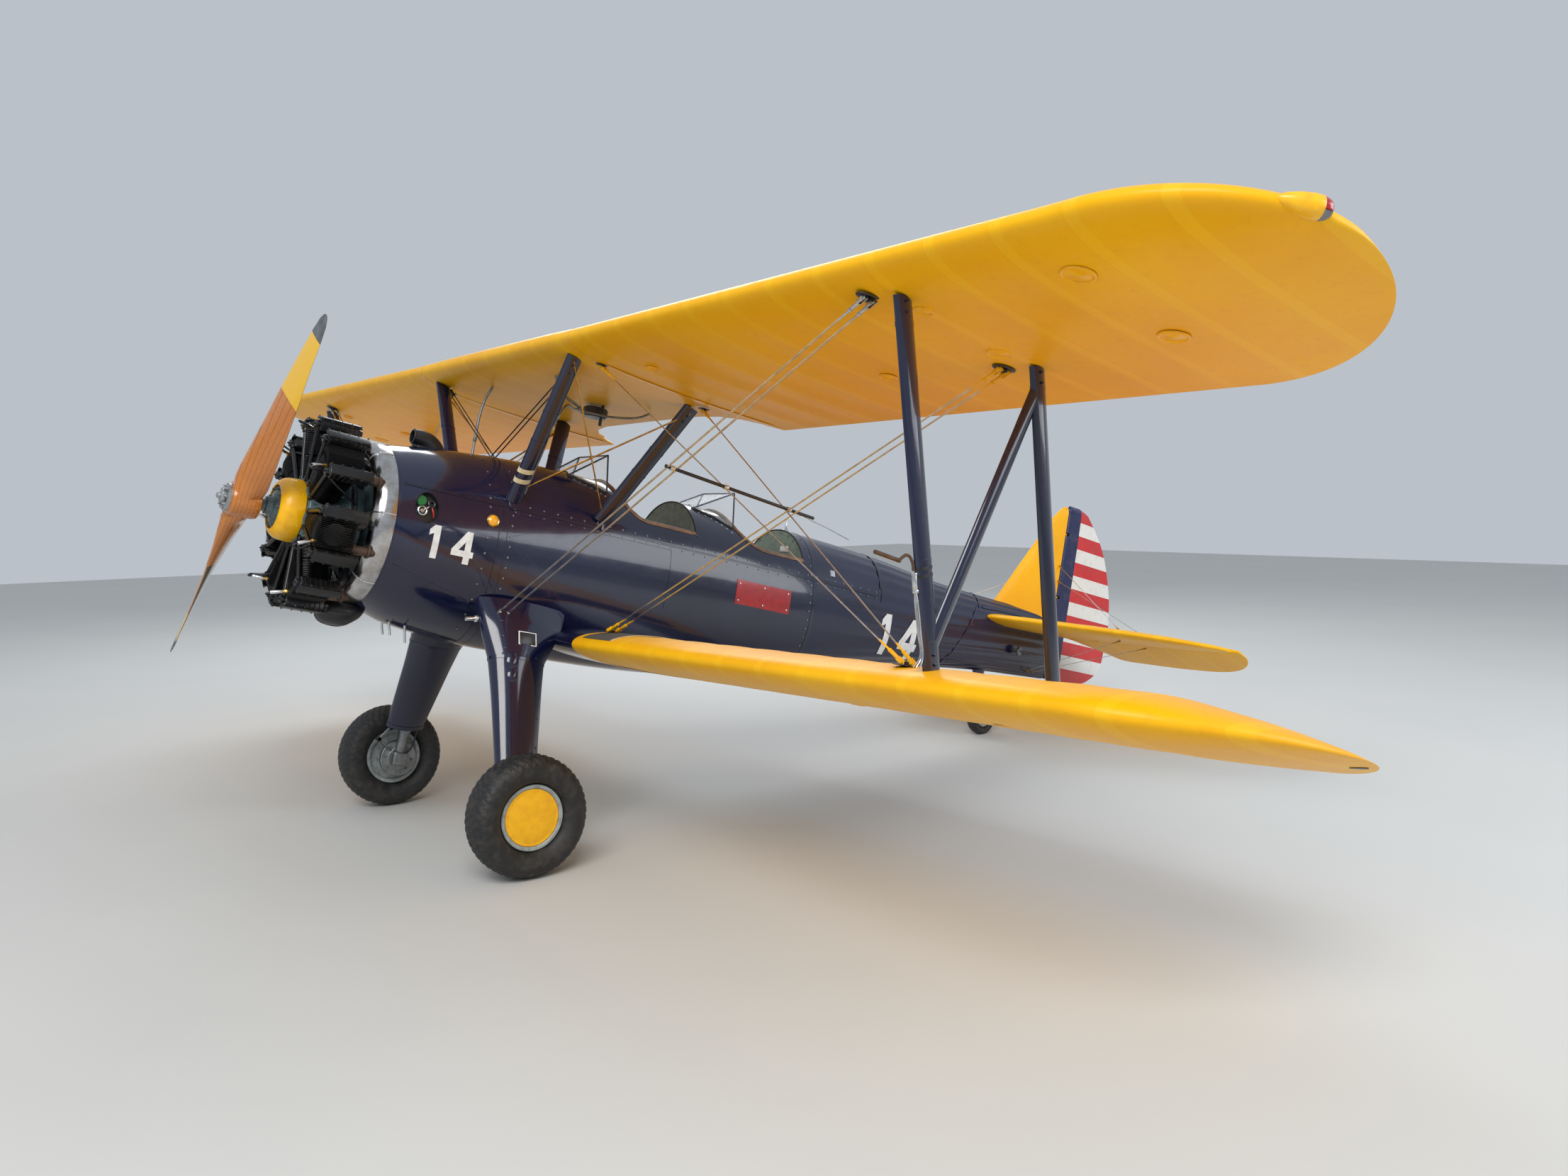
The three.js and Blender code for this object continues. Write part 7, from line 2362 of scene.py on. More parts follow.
rudder_rows = [(z, y - RUDDER_HINGE_Y, 0.028 * closing(z)) for z, y in RUDDER_ROWS]
rudder = moving_skin(rudder_rows, lambda row, ahead, side: Vector((side, RUDDER_HINGE_Y + ahead, row[0])),
                     180, 0.06)
for z in RUDDER_EYES:
    rudder = hinge_cut(rudder, ABOVE, Vector((0, RUDDER_HINGE_Y, z)))
piece(rudder, "rudder_skin", "striped_fabric", rudder_stripes, 40, body="rudder")
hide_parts("rudder")
print("fin and rudder done")

# %% [markdown]
# The tailplane halves and the elevators repeat the fin and the rudder, lying down. The elevators hang on
# their lower stop in the photo, so each finished half is turned about the hinge line by the droop.

# %% Tailplane and elevators
def tailplane_skin():
    def place(u, v):
        x, front, half_max = along_rows(TAILPLANE_ROWS, v)
        chord = TAILPLANE_END_Y - front
        share, side = tail_section(u)
        half = nosed(share, half_max, min(half_max, 0.030))
        return Vector((x, front + share * chord, TAILPLANE_Z + side * max(0.0, half - dip(x, share, 0.1))))
    return wrapped(52, 116, place)

ELEVATOR_EYES = [0.480, 1.380]
to_hinge = Matrix.Translation((0, ELEVATOR_HINGE_Y, TAILPLANE_Z))
droop = to_hinge @ Matrix.Rotation(-DROOP, 4, "X") @ to_hinge.inverted()
elevator_rows = [(x, y - ELEVATOR_HINGE_Y, half) for x, y, half in ELEVATOR_ROWS]

def elevator_point(row, ahead, rise):
    return Vector((row[0], ELEVATOR_HINGE_Y + ahead, TAILPLANE_Z + rise))

for side, mirror in SIDES.items():
    plane = tailplane_skin()
    hinges = [Vector((x, ELEVATOR_HINGE_Y, TAILPLANE_Z)) for x in ELEVATOR_EYES]
    eyes = [eye(at, PORT, Vector((at.x, TAILPLANE_END_Y - 0.03, TAILPLANE_Z))) for at in hinges]
    plane = moved(joined(plane, *eyes), mirror)
    piece(plane, f"tailplane_skin_{side}", "yellow_fabric", tail_fabric, 40)
    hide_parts(f"tailplane_{side}")
    flap = moving_skin(elevator_rows, elevator_point, 170, 0.1)
    for at in hinges:
        flap = hinge_cut(flap, PORT, at)
    moved(moved(flap, droop), mirror)
    piece(flap, f"elevator_skin_{side}", "yellow_fabric", tail_fabric, 40, body="elevators")
    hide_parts(f"elevator_{side}")
print("tailplane and elevators done")

# %% [markdown]
# Two wires above and two below brace each half of the tailplane to the fin and to the fuselage, with the
# same forks as the wings at a smaller size. A handle bar for lifting the tail shows on each side below
# them.

# %% Tail wires and the lifting bar
TAIL_WIRES = [
    # one end on the fin or fuselage, the other on the tailplane
    ((0.030, 6.630, 0.891), (1.040, 6.200, 0.345)), ((0.032, 6.640, 0.759), (1.050, 6.500, 0.345)),
    ((0.055, 6.360, -0.072), (1.030, 6.250, 0.258)), ((0.050, 6.450, -0.066), (1.060, 6.560, 0.246)),
]
thin_wires, thin_ends = [], []
for a, b in TAIL_WIRES:
    for side in (1, -1):
        body, ends = brace_wire((a[0] * side, a[1], a[2]), (b[0] * side, b[1], b[2]), 0.010, 0.004, 0.55)
        thin_wires.append(body)
        thin_ends.append(ends)
piece(joined(*thin_wires), "tail_brace_wires", "bare_steel", bare_steel, 30)
piece(joined(*thin_ends), "tail_brace_forks", "yellow_paint", brass, 30)

lift_bars = []
LIFT_DISC = [(0, -0.006), (0.040, -0.006), (0.046, -0.001), (0.040, 0.005), (0.010, 0.007), (0, 0.007)]
for side in (1, -1):
    disc = turned(LIFT_DISC, (0.150 * side, 6.130, 0.080), (side, 0.25, 0), 36)
    lift_bars += [disc, bar((0.152 * side, 6.150, 0.080), (0.112 * side, 6.440, 0.066), 0.007, 14)]
piece(joined(*lift_bars), "tail_lift_bars", "navy_strut", navy_strut)

def root_line(t):
    return 5.640 + 0.95 * t, 0.370 + 0.015 * math.sin(math.pi * t)

root_gaps = []
for side in (1, -1):
    root_gaps.append(skin_strip(root_line, 0.018, 0.002, side))
    root_gaps.append(skin_strip(straight(5.560, 0.360, 5.210, -0.160), 0.016, 0.002, side))
root_gaps.append(band_round(5.600, 0.026, 0.0018, from_angle=0.75, to_angle=math.pi - 0.75))
piece(joined(*root_gaps), "tail_root_strips", "navy_fabric", navy_strut)
print("tail wires done")

# %% [markdown]
# The tail wheel stands on a short streamlined post. Its fork turns with the rudder: a turned head, two
# pressed arms that narrow to the axle, and a plain small tyre.

# %% Tail wheel
TAIL_POST_ROWS = [
    # x, y, z, chord, thickness
    (0, 5.850, -0.095, 0.150, 0.105), (0, 5.850, -0.150, 0.125, 0.086), (0, 5.850, -0.215, 0.104, 0.080),
    (0, 5.850, -0.2695, 0.096, 0.080),
]
TAIL_AT = Vector((0, 5.960, -0.5181))
post = leg_body(TAIL_POST_ROWS, 48, 16)
piece(post, "tail_post_skin", "navy_strut", navy_strut, 40)
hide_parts("tail_wheel_bracket")

def fork_arm(side):
    a, b = Vector((0.058 * side, 5.860, -0.300)), Vector((0.058 * side, TAIL_AT.y, TAIL_AT.z))
    way = (b - a).normalized()
    flat = way.cross(PORT).normalized()
    def place(u, v):
        along, across = streamline(u)
        wide = 0.062 - 0.022 * v + 0.012 * max(0, v - 0.85) / 0.15
        return a.lerp(b + way * 0.018, v) + flat * along * wide + PORT * across * 0.014
    return wrapped(36, 20, place)

FORK_HEAD = [(0, 0), (0.040, 0), (0.046, -0.004), (0.046, -0.028), (0.042, -0.034), (0, -0.034)]
head = turned(FORK_HEAD, (0, 5.850, -0.2703), ABOVE, 40)
cross = block((-0.066, 5.830, -0.306), (0.066, 5.888, -0.284), 0.006, 3)
axle_pin = bar(TAIL_AT - PORT * 0.072, TAIL_AT + PORT * 0.072, 0.009, 20, 0.001)
nuts = [bar(TAIL_AT + PORT * 0.064 * side, TAIL_AT + PORT * 0.076 * side, 0.017, 6, 0.002)
        for side in (1, -1)]
fork = joined(head, cross, axle_pin, *nuts, fork_arm(1), fork_arm(-1))
piece(fork, "tail_fork_forging", "bare_steel", dull_alloy, 35, body="tail_fork")
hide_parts("tail_wheel_fork")

HALF_HUB = [
    # radius, distance from the middle
    (0.0095, -0.040), (0.024, -0.040), (0.026, -0.022), (0.058, -0.022), (0.062, -0.030), (0.069, -0.034),
    (0.072, -0.030), (0.0700, -0.026),
]
TAIL_HUB = HALF_HUB + [(radius, -along) for radius, along in reversed(HALF_HUB)] + HALF_HUB[:1]
hub = turned(TAIL_HUB, TAIL_AT, PORT, 56)
bolt_places = [TAIL_AT + Vector((0.022, 0.042 * math.cos(angle), 0.042 * math.sin(angle)))
               for angle in turns(6)]
hub_bolts = scattered(bolt_pattern(), [aim(place, PORT) for place in bolt_places])
hub = piece(joined(hub, hub_bolts), "tail_hub_turned", "wheel_grey", wheel_grey, 30, body="tail_wheel")
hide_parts("tail_wheel_hub")
small_tyre = tyre_body(TAIL_AT, 0.135, 0.0704, 0.092, 0, 0.0, 48, 96)
piece(small_tyre, "tail_tyre_rubber", "tyre", tyre_rubber, 40, body="tail_wheel")
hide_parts("tail_wheel_tyre")
POST_BOOT = [
    (0.058, 0.0), (0.062, -0.006), (0.052, -0.018), (0.058, -0.026), (0.048, -0.038), (0.053, -0.046),
    (0.046, -0.056),
]
boot = turned(POST_BOOT, (0, 5.850, -0.210), ABOVE, 40)
piece(modified(boot, "SOLIDIFY", thickness=0.002, offset=-1), "tail_post_boot", "tyre", tyre_rubber, 60)
print("tail wheel done")

# %% [markdown]
# On top of the cowl stands a black horn that feeds warm air, below it hangs a round-nosed scoop. Both are
# beaten sheet: rings lofted along a bent line, which the wrapped grid does when each row is a ring.

# %% Horn and scoop
HORN_ROWS = [
    # y, z, radius, lean in degrees
    (0.832, 0.556, 0.042, 0), (0.875, 0.556, 0.046, 0), (0.925, 0.544, 0.050, 22), (0.962, 0.516, 0.053, 48),
    (0.982, 0.480, 0.054, 75), (0.986, 0.430, 0.054, 85),
]
def horn_place(u, v):
    y, z, radius, lean = along_rows(HORN_ROWS, v)
    lean, angle = math.radians(lean), 2 * math.pi * u
    up_way = Vector((0, math.sin(lean), math.cos(lean)))
    return Vector((radius * math.cos(angle), y, z)) + up_way * radius * math.sin(angle)

LIP_RING = [
    (0.0335, -0.002), (0.0345, -0.006), (0.040, -0.006), (0.044, -0.002), (0.043, 0.004), (0.0335, 0.004),
    (0.0335, -0.002),
]
horn = cut_by(wrapped(48, 40, horn_place), bar((0, 0.80, 0.556), (0, 0.882, 0.556), 0.034, 48))
lip = turned(LIP_RING, (0, 0.832, 0.556), THRUST, 48)
foot = block((-0.044, 0.850, 0.486), (0.044, 1.040, 0.512), 0.010, 4)
stay = block((-0.012, 0.835, 0.470), (0.012, 0.975, 0.530), 0.004, 2)
horn = piece(joined(horn, lip, foot, stay), "horn_skin", "black_metal", black_metal, 40)
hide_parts("vent_horn")

SCOOP_ROWS = [
    # y, half width, half height, z
    (0.478, 0.010, 0.008, -0.500), (0.482, 0.030, 0.025, -0.500), (0.494, 0.060, 0.050, -0.500),
    (0.530, 0.088, 0.072, -0.498),
    (0.590, 0.102, 0.080, -0.497), (0.650, 0.096, 0.074, -0.492), (0.705, 0.076, 0.050, -0.478),
    (0.725, 0.060, 0.030, -0.470),
]
def scoop_place(u, v):
    y, wide, high, z = along_rows(SCOOP_ROWS, v)
    angle = 2 * math.pi * u
    return Vector((wide * math.cos(angle), y, z + high * math.sin(angle)))

scoop = wrapped(64, 60, scoop_place)
scoop_lips = [tube([scoop_place(u, v) for v in (0.12, 0.3, 0.5, 0.7, 0.88)], 0.0035, 3, smooth=True)
              for u in (0.25, 0.0, 0.5, 0.75)]
scoop = piece(joined(scoop, *scoop_lips), "scoop_skin", "black_metal", black_metal, 45)
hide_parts("air_scoop")
print("horn and scoop done")

# %% [markdown]
# The port side of the cowl has an egg-shaped recess. It is cut into the skin and lined with a black cup that
# holds a green cap, a round silver valve, an open mouth and a red handle; the cup's black is painted shade
# for the dark inside of the hole. Beside it sit a round amber lens and a small handle, and under the cowl
# three drain tubes.

# %% Fittings on the cowl
def on_side(y, z, lift=0.0, side=1):
    spot, normal = skin_at(y, z, side)
    return aim(spot + normal * lift, normal)

RECESS = {"y": 0.822, "z": 0.138, "wide": 0.068, "high": 0.086, "deep": 0.035}
def recess_body(steps):
    """A closed body of egg-shaped rings, each a share of the full size and a depth under the skin."""
    def place(u, v):
        size, deep = steps[round(v * (len(steps) - 1))]
        angle = 2 * math.pi * u
        swell = 1 - 0.12 * math.sin(angle)
        y = RECESS["y"] + RECESS["wide"] * size * swell * math.cos(angle)
        spot, normal = skin_at(y, RECESS["z"] + RECESS["high"] * size * math.sin(angle))
        return spot - normal * deep
    return wrapped(64, len(steps) - 1, place)

full = RECESS["deep"]
cut_by(bpy.data.objects["nose_cowl_skin"], moved(recess_body([(1, -0.02), (1, full)]), LEVEL))
# the black lining: painted shade for the dark inside of the recess
recess_shade_lining = recess_body([(0.02, full - 0.006), (0.90, full - 0.006), (0.95, full - 0.012), (0.955, 0.001),
                   (0.985, 0.001), (0.985, full - 0.001),
                   (0.02, full - 0.001)])
piece(recess_shade_lining, "filler_recess_shade", "black_metal", black_metal, 40)
FLOOR_OF_CUP = 0.006 - full
cap = turned([(0, 0), (0.030, 0), (0.030, 0.016), (0.026, 0.021), (0, 0.021)], steps=36)
moved(cap, on_side(0.792, 0.176, FLOOR_OF_CUP))
piece(cap, "filler_cap", "navy_panel", green_paint)
knob = joined(turned([(0.020, 0), (0.027, 0), (0.027, 0.012), (0.023, 0.014), (0.020, 0.012), (0.020, 0)],
                     steps=36),
              turned([(0, 0.001), (0.012, 0.001), (0.012, 0.010), (0.009, 0.014), (0, 0.014)], steps=30),
              block((-0.004, 0.010, 0.002), (0.004, 0.046, 0.010), 0.002))
moved(knob, on_side(0.803, 0.122, FLOOR_OF_CUP) @ Matrix.Rotation(-0.9, 4, "Z"))
piece(knob, "filler_knob", "bare_steel", bright_steel)
mouth_ring = turned([(0.013, 0), (0.023, 0), (0.022, 0.014), (0.018, 0.016), (0.013, 0.013), (0.013, 0)],
                    steps=30)
moved(mouth_ring, on_side(0.852, 0.168, FLOOR_OF_CUP))
piece(mouth_ring, "filler_mouth", "black_metal", dark_steel)
tag = tube([(0, -0.026, 0.008), (0.001, 0.0, 0.013), (0, 0.026, 0.008)], 0.0045, 4, smooth=True)
moved(tag, on_side(0.862, 0.120, 0.008 - full) @ Matrix.Rotation(0.25, 4, "Z"))
piece(tag, "filler_tag", "navy_panel", red_paint)
print("recess done,", round(full * 1000), "mm deep")

# %% [markdown]
# The lens is rippled amber glass in a brass ring. The handle is a bent rod with both feet on the skin, on
# each side. The drain tubes start just inside the belly and bend backwards.

# %% Lens, handles and drain tubes
def amber_glass():
    finish = Finish("amber_lens")
    ribs = finish.noise(160, 2)
    finish.relief(ribs, 0.0008)
    colour = finish.mix(ribs, (250, 186, 40), (232, 150, 20))
    return finish.paint(Base_Color=colour, Roughness=finish.ramp(ribs, 0, 1, 0.08, 0.18), Coat_Weight=0.8)

amber_lens = amber_glass()
LENS_AT = (1.205, 0.145)
lens = turned([(0, 0), (0.030, 0), (0.029, 0.008), (0.020, 0.015), (0.008, 0.018), (0, 0.0185)], steps=40)
ring = turned([(0.029, 0.0), (0.037, 0.0), (0.037, 0.006), (0.033, 0.010), (0.029, 0.008), (0.029, 0.0)],
              steps=40)
for obj, name, slot, finish in ((lens, "side_lens", "yellow_paint", amber_lens),
                                (ring, "side_lens_ring", "bare_steel", brass)):
    moved(obj, on_side(*LENS_AT, 0.001))
    piece(obj, name, slot, finish)
HANDLE_LINE = [(0, -0.045, 0), (0, -0.040, 0.022), (0, 0, 0.028), (0, 0.040, 0.022), (0, 0.045, 0)]
handles = [moved(tube(HANDLE_LINE, 0.004, 3, smooth=True), on_side(1.34, 0.385, 0.0, side))
           for side in (1, -1)]
piece(joined(*handles), "side_handles", "bare_steel", dull_alloy)
drains = []
for x, y, length in ((0.10, 0.86, 0.060), (0.16, 0.93, 0.075), (-0.12, 0.90, 0.060)):
    top = Vector((x, y, station(y)[3] + 0.02))
    line = [top, top + Vector((0, 0.004, -0.03)), top + Vector((0, 0.018, -0.02 - length))]
    drains.append(tube(line, 0.007, 3, smooth=True))
piece(joined(*drains), "drain_tubes", "bare_steel", bright_steel)
print("cowl fittings done")

# %% [markdown]
# Painted marks on the sides: a plain number, a little proud of the skin. Its digits are straight strokes on
# a grid, as stencilled numbers are, and each point is then laid on the curved skin. The number is invented.
# The red plate behind the cockpit door and the small steel plates are left bare.

# %% Numbers and plates
DIGITS = {
    # the four corners of every stroke, across and up, on a block that is 4 wide and 7 high
    "1": [((1.3, 0), (2.7, 0), (2.7, 7), (1.3, 7)), ((0.3, 4.7), (1.32, 5.3), (1.32, 7), (0.3, 5.9))],
    "4": [((2.6, 0), (4.0, 0), (4.0, 7), (2.6, 7)), ((-0.3, 1.5), (4.7, 1.5), (4.7, 2.8), (-0.3, 2.8)),
          ((-0.3, 2.78), (1.25, 2.78), (2.62, 4.75), (2.62, 7))],
}
def number_on_skin(text, begin_y, base_z, height, side, lift=0.0012):
    unit = height / 7
    strokes, order = [], 0
    for k, letter in enumerate(text):
        for corners in DIGITS[letter]:
            a, b, c, d = (Vector(corner) for corner in corners)
            order += 1
            def place(u, v):
                across, up = a.lerp(b, u).lerp(d.lerp(c, u), v)
                along = (across + k * 6.0) * unit
                y = begin_y + along if side > 0 else begin_y + (len(text) * 6.0 - 2.0) * unit - along
                spot, normal = skin_at(y, base_z + up * unit, side)
                return spot + normal * (lift + 0.0001 * order)
            strip = wrapped(6, 14, place, caps=False)
            strokes.append(modified(strip, "SOLIDIFY", thickness=0.0008, offset=-1))
    return strokes

marks = []
for side in (1, -1):
    marks += number_on_skin("14", 0.845, -0.125, 0.180, side)
    marks += number_on_skin("14", 4.360, -0.170, 0.300, side)
piece(joined(*marks), "plain_numbers", "navy_panel", white_paint, 40)
print("numbers done:", len(marks), "strokes")

# %% [markdown]
# A plate is a patch of the skin's own surface, lifted by its thickness. The same function lays the raised
# edges of the access panels, which are only very narrow plates.

# %% Plates and edges
def plate_on_skin(y0, y1, z0, z1, side=1, thickness=0.002):
    def place(u, v):
        spot, normal = skin_at(y0 + (y1 - y0) * v, z0 + (z1 - z0) * u, side)
        return spot + normal * thickness
    plate = wrapped(12, 24, place, caps=False)
    return modified(plate, "SOLIDIFY", thickness=thickness, offset=-1)

red_plate = plate_on_skin(2.950, 3.420, -0.030, 0.130)
piece(red_plate, "red_blank_plate", "navy_panel", red_paint, 40)
corners = [(2.975, 0.105), (3.395, 0.105), (2.975, -0.005), (3.395, -0.005), (3.185, 0.108), (3.185, -0.008)]
plate_screws = scattered(screw_head(0.006), [on_side(y, z, 0.002) for y, z in corners])
EDGES = [
    # from y, to y, from z, to z
    (1.36, 2.42, 0.214, 0.222), (2.414, 2.424, -0.16, 0.22), (1.36, 2.42, -0.164, -0.156),
    (3.66, 4.30, 0.250, 0.258),
]
panel_edges = [plate_on_skin(*edge, thickness=0.0022) for edge in EDGES]
piece(plate_screws, "red_plate_screws", "bare_steel", bright_steel)
piece(joined(*panel_edges), "panel_edges", "navy_panel", navy_strut, 40)
grey_plates = [plate_on_skin(3.80, 3.84, 0.30, 0.34, side, 0.0035) for side in (1, -1)]
piece(joined(*grey_plates), "small_steel_plates", "bare_steel", bright_steel)
print("numbers and plates done")

# %% [markdown]
# Where people climb in there is a rough grey walkway on the lower wing, with a cream edge. Under both wings
# yellow rings frame the inspection holes, a black patch under each lower tip is painted shade for the slot
# that takes a hand, and small lamps sit at the upper tips.

# %% Wing fittings
def on_wing(wing, x, share, top=True, lift=0.0, bows=None):
    """A place on a wing's surface and its outward direction."""
    lead, chord = plan(wing, bows, x) if bows else (0.0, CHORD)
    pick_height = lambda s: section_heights(min(1.0, max(0.0, s)))[0 if top else 1]
    spot = wing_point(wing, x, share, pick_height(share), lead, chord)
    ahead, behind = (wing_point(wing, x, share + ds, pick_height(share + ds), lead, chord)
                     for ds in (-0.01, 0.01))
    normal = PORT.cross(behind - ahead).normalized()
    if (normal.z < 0) == top:
        normal = -normal
    return spot + normal * lift, normal

def patch_on_lower(place_of, top=True, thickness=0.002, columns=8, rows=24, bows=None):
    """A thin patch on the lower wing; place_of(u, v) gives x and the share of the chord."""
    patch = wrapped(columns, rows, lambda u, v: on_wing(LOWER, *place_of(u, v), top, thickness, bows)[0],
                    caps=False)
    outward(patch)
    return modified(patch, "SOLIDIFY", thickness=thickness, offset=0)
print("places on the wings ready")

# %% [markdown]
# The walkway tapers towards the rear, so its outer edge is a straight line in the wing's plan. The cream
# edge is a second, narrow patch along that line.

# %% Walkways
WALK_FROM, WALK_WIDE, WALK_EDGE, WALK_TAPER = 0.785, 0.300, 0.014, 0.35

def walk_place(across, v):
    return WALK_FROM + across * (1 - WALK_TAPER * v), 0.018 + 0.752 * v

walks, borders = [], []
for mirror in SIDES.values():
    walk = patch_on_lower(lambda u, v: walk_place(WALK_WIDE * u, v), rows=60)
    border = patch_on_lower(lambda u, v: walk_place(WALK_WIDE + WALK_EDGE * u, v), thickness=0.0024,
                            columns=3, rows=60)
    walks.append(moved(walk, mirror))
    borders.append(moved(border, mirror))
piece(joined(*walks), "wing_walkways", "yellow_fabric", walk_grey, 40)
piece(joined(*borders), "walkway_edges", "yellow_fabric", cream_paint, 40)
print("walkways done")

# %% [markdown]
# A ring is a turned profile and its cover a shallow dish. Both stand on the cloth, which curves, so each is
# turned to the surface's own direction.

# %% Inspection rings
RINGS = [
    # x, share, radius; all under the upper wing
    (4.106, 0.193, 0.064), (4.092, 0.585, 0.062), (3.317, 0.537, 0.056), (3.343, 0.219, 0.042),
    (2.561, 0.593, 0.044),
    (1.30, 0.25, 0.036),
]
inspection = []
ring_section = [(0.80, 0.0), (1.0, 0.0), (0.98, 0.005), (0.91, 0.0075), (0.83, 0.005), (0.80, 0.0)]
for x, share, radius in RINGS:
    for side in (1, -1):
        spot, normal = on_wing(UPPER, x * side, share, top=False, lift=-0.001)
        ring = turned([(r * radius, h) for r, h in ring_section], steps=28)
        inspection.append(moved(ring, aim(spot, normal)))
        disc = turned([(0, 0), (radius * 0.84, 0), (radius * 0.84, 0.0015), (radius * 0.30, 0.004),
                       (radius * 0.22, 0.007), (0, 0.008)], steps=28)
        inspection.append(moved(disc, aim(spot, normal)))
for x, share, radius in ((1.4, 0.3, 0.036), (2.4, 0.45, 0.036), (3.5, 0.3, 0.036)):
    for side in (1, -1):
        spot, normal = on_wing(LOWER, x * side, share, top=False, lift=-0.001)
        ring = turned([(r * radius, h * 0.45) for r, h in ring_section], steps=36)
        inspection.append(moved(joined(ring, peg(0, 0.0015, radius * 0.84, 36)), aim(spot, normal)))
piece(joined(*inspection), "inspection_rings", "yellow_paint", yellow_paint)
print("rings and covers:", len(inspection))

# %% [markdown]
# A navigation lamp is a teardrop: a fairing behind and a coloured glass in front, with a metal shield in
# place of its lower part. Glass and shield are the same turned body, cut by parallel planes and kept on
# opposite sides.

# %% Lamps at the tips
def lamp_glass(name, light, dark):
    finish = Finish(name)
    cells = finish.noise(260, 2)
    finish.relief(cells, 0.0006)
    return finish.paint(Base_Color=finish.mix(cells, light, dark),
                        Roughness=finish.ramp(cells, 0, 1, 0.06, 0.16), Coat_Weight=0.8)

red_glass = lamp_glass("red_glass", (190, 20, 24), (140, 10, 16))
green_glass = lamp_glass("green_glass", (24, 140, 84), (14, 96, 60))
LAMP_FROM, LAMP_TO = 4.745, 4.862  # x where the fairing begins and where the glass meets it
FAIRING = [(0, -0.140), (0.010, -0.136), (0.022, -0.112), (0.033, -0.070), (0.038, -0.030), (0.038, -0.002),
           (0.036, 0), (0, 0)]
GLASS = [(0, 0.0005), (0.0355, 0.0005), (0.0350, 0.010), (0.031, 0.022), (0.023, 0.032), (0.012, 0.037),
         (0, 0.0385)]
lamp_bases, lamp_shields = [], []
for side, glass, label in ((1, red_glass, "left"), (-1, green_glass, "right")):
    begin, end = (on_wing(UPPER, x * side, 0.0, True, 0.0, UPPER_BOWS)[0] for x in (LAMP_FROM, LAMP_TO))
    ahead_of_edge = Vector((0, -0.006, 0.006))
    along = (end - begin).normalized()
    lamp_at = aim(end + ahead_of_edge, along)
    whole_glass = turned(GLASS, steps=40)
    shield = moved(copy_of(whole_glass), Matrix.Diagonal((1.012, 1.012, 1.008, 1)))
    for body, keep in ((whole_glass, 1), (shield, -1)):
        half_space = block((-0.08, -0.08, -0.08), (0.08, 0.08, 0.08), 0)
        upward = lamp_at.to_3x3().inverted() @ Vector((0, 0, 1))
        turn = upward.to_track_quat("X", "Z").to_matrix().to_4x4()
        moved(half_space, turn @ Matrix.Translation((0.08 * keep - (0.0125 if keep > 0 else 0.0145), 0, 0)))
        cut_by(body, half_space, "INTERSECT")
        moved(body, lamp_at)
    piece(whole_glass, f"nav_lamp_{label}", "clear_pane", glass)
    lamp_shields.append(shield)
    lamp_bases.append(moved(turned(FAIRING, steps=40), lamp_at))
piece(joined(*lamp_shields), "nav_lamp_shields", "bare_steel", dull_alloy)
piece(joined(*lamp_bases), "nav_lamp_bases", "yellow_paint", yellow_paint, 60)
print("lamps done")

# %% [markdown]
# Under each lower tip is a slot to hold the wing by. It is drawn as a black patch in the shape of a long oval
# that lies on the surface: painted shade for the dark inside of the slot.

# %% Hand holds
HOLD_FROM, HOLD_TO = (4.588, 0.772), (4.624, 0.900)  # x and share of the chord, under the lower wing's tip
HOLD_HALF = 0.013

def hold_width(u, v):
    return HOLD_HALF * math.sqrt(max(0.0, 1 - (2 * v - 1) ** 2)) * (2 * u - 1)

def hold_place(u, v):
    x, share = (begin + (end - begin) * v for begin, end in zip(HOLD_FROM, HOLD_TO))
    return x - hold_width(u, v) * 0.95, share + hold_width(u, v) * 0.35

# black oval patches: painted shade for the hand slots
hold_shade_patches = [moved(patch_on_lower(hold_place, top=False, bows=LOWER_BOWS), mirror) for mirror in SIDES.values()]
piece(joined(*hold_shade_patches), "hand_hold_shade", "black_metal", black_metal)
print("wing fittings done")

# %% [markdown]
# Between the centre section and the fuselage hang the fuel pipes with their unions, a sight tube and the
# black gauge; a pressure head with its pipes stands on the port strut, and a bent aerial wire is fixed
# behind the rear seat.

# %% Pipes, gauge and pressure head
def port_strut_at(share):
    return front_foot.lerp(under_upper(0.897, 0.088), share) + Vector((-0.03, 0.06, 0))

tee = under_upper(0.30, 0.36, 0.11)
pipes = [
    tube([under_upper(0.42, 0.18, -0.01), under_upper(0.40, 0.22, 0.06), tee + Vector((0.02, -0.03, 0.01)),
          tee], 0.008, 3, smooth=True),
    tube([tee, tee + Vector((0.10, -0.10, -0.02)), port_strut_at(0.62), port_strut_at(0.35),
          port_strut_at(0.06)], 0.008, 3, smooth=True),
    tube([tee, tee + Vector((-0.02, 0.25, 0.03)), under_upper(0.30, 0.62, 0.03),
          under_upper(0.30, 0.66, -0.01)], 0.007, 3, smooth=True),
    tube([under_upper(-0.42, 0.18, -0.01), under_upper(-0.44, 0.16, 0.10), Vector((-0.44, 1.38, 0.70)),
          Vector((-0.41, 1.38, 0.40))],
         0.008, 3, smooth=True),
]
unions = []
for at, way in ((tee, (0, 0, 1)), (tee + Vector((0.02, -0.03, 0.01)), (1, -1, 0)),
                (port_strut_at(0.62), (0.4, 0, 1)),
                (Vector((-0.44, 1.38, 0.70)), (0, 0, 1))):
    way = Vector(way).normalized()
    unions.append(bar(at - way * 0.014, at + way * 0.014, 0.0135, 6, 0.002))
piece(joined(*pipes, *unions), "fuel_pipes", "bare_steel", dull_alloy, 40)
print("fuel pipes:", len(pipes), "with", len(unions), "unions")

# %% [markdown]
# The gauge hangs below the tank in the centre section, with its sight tube beside it.

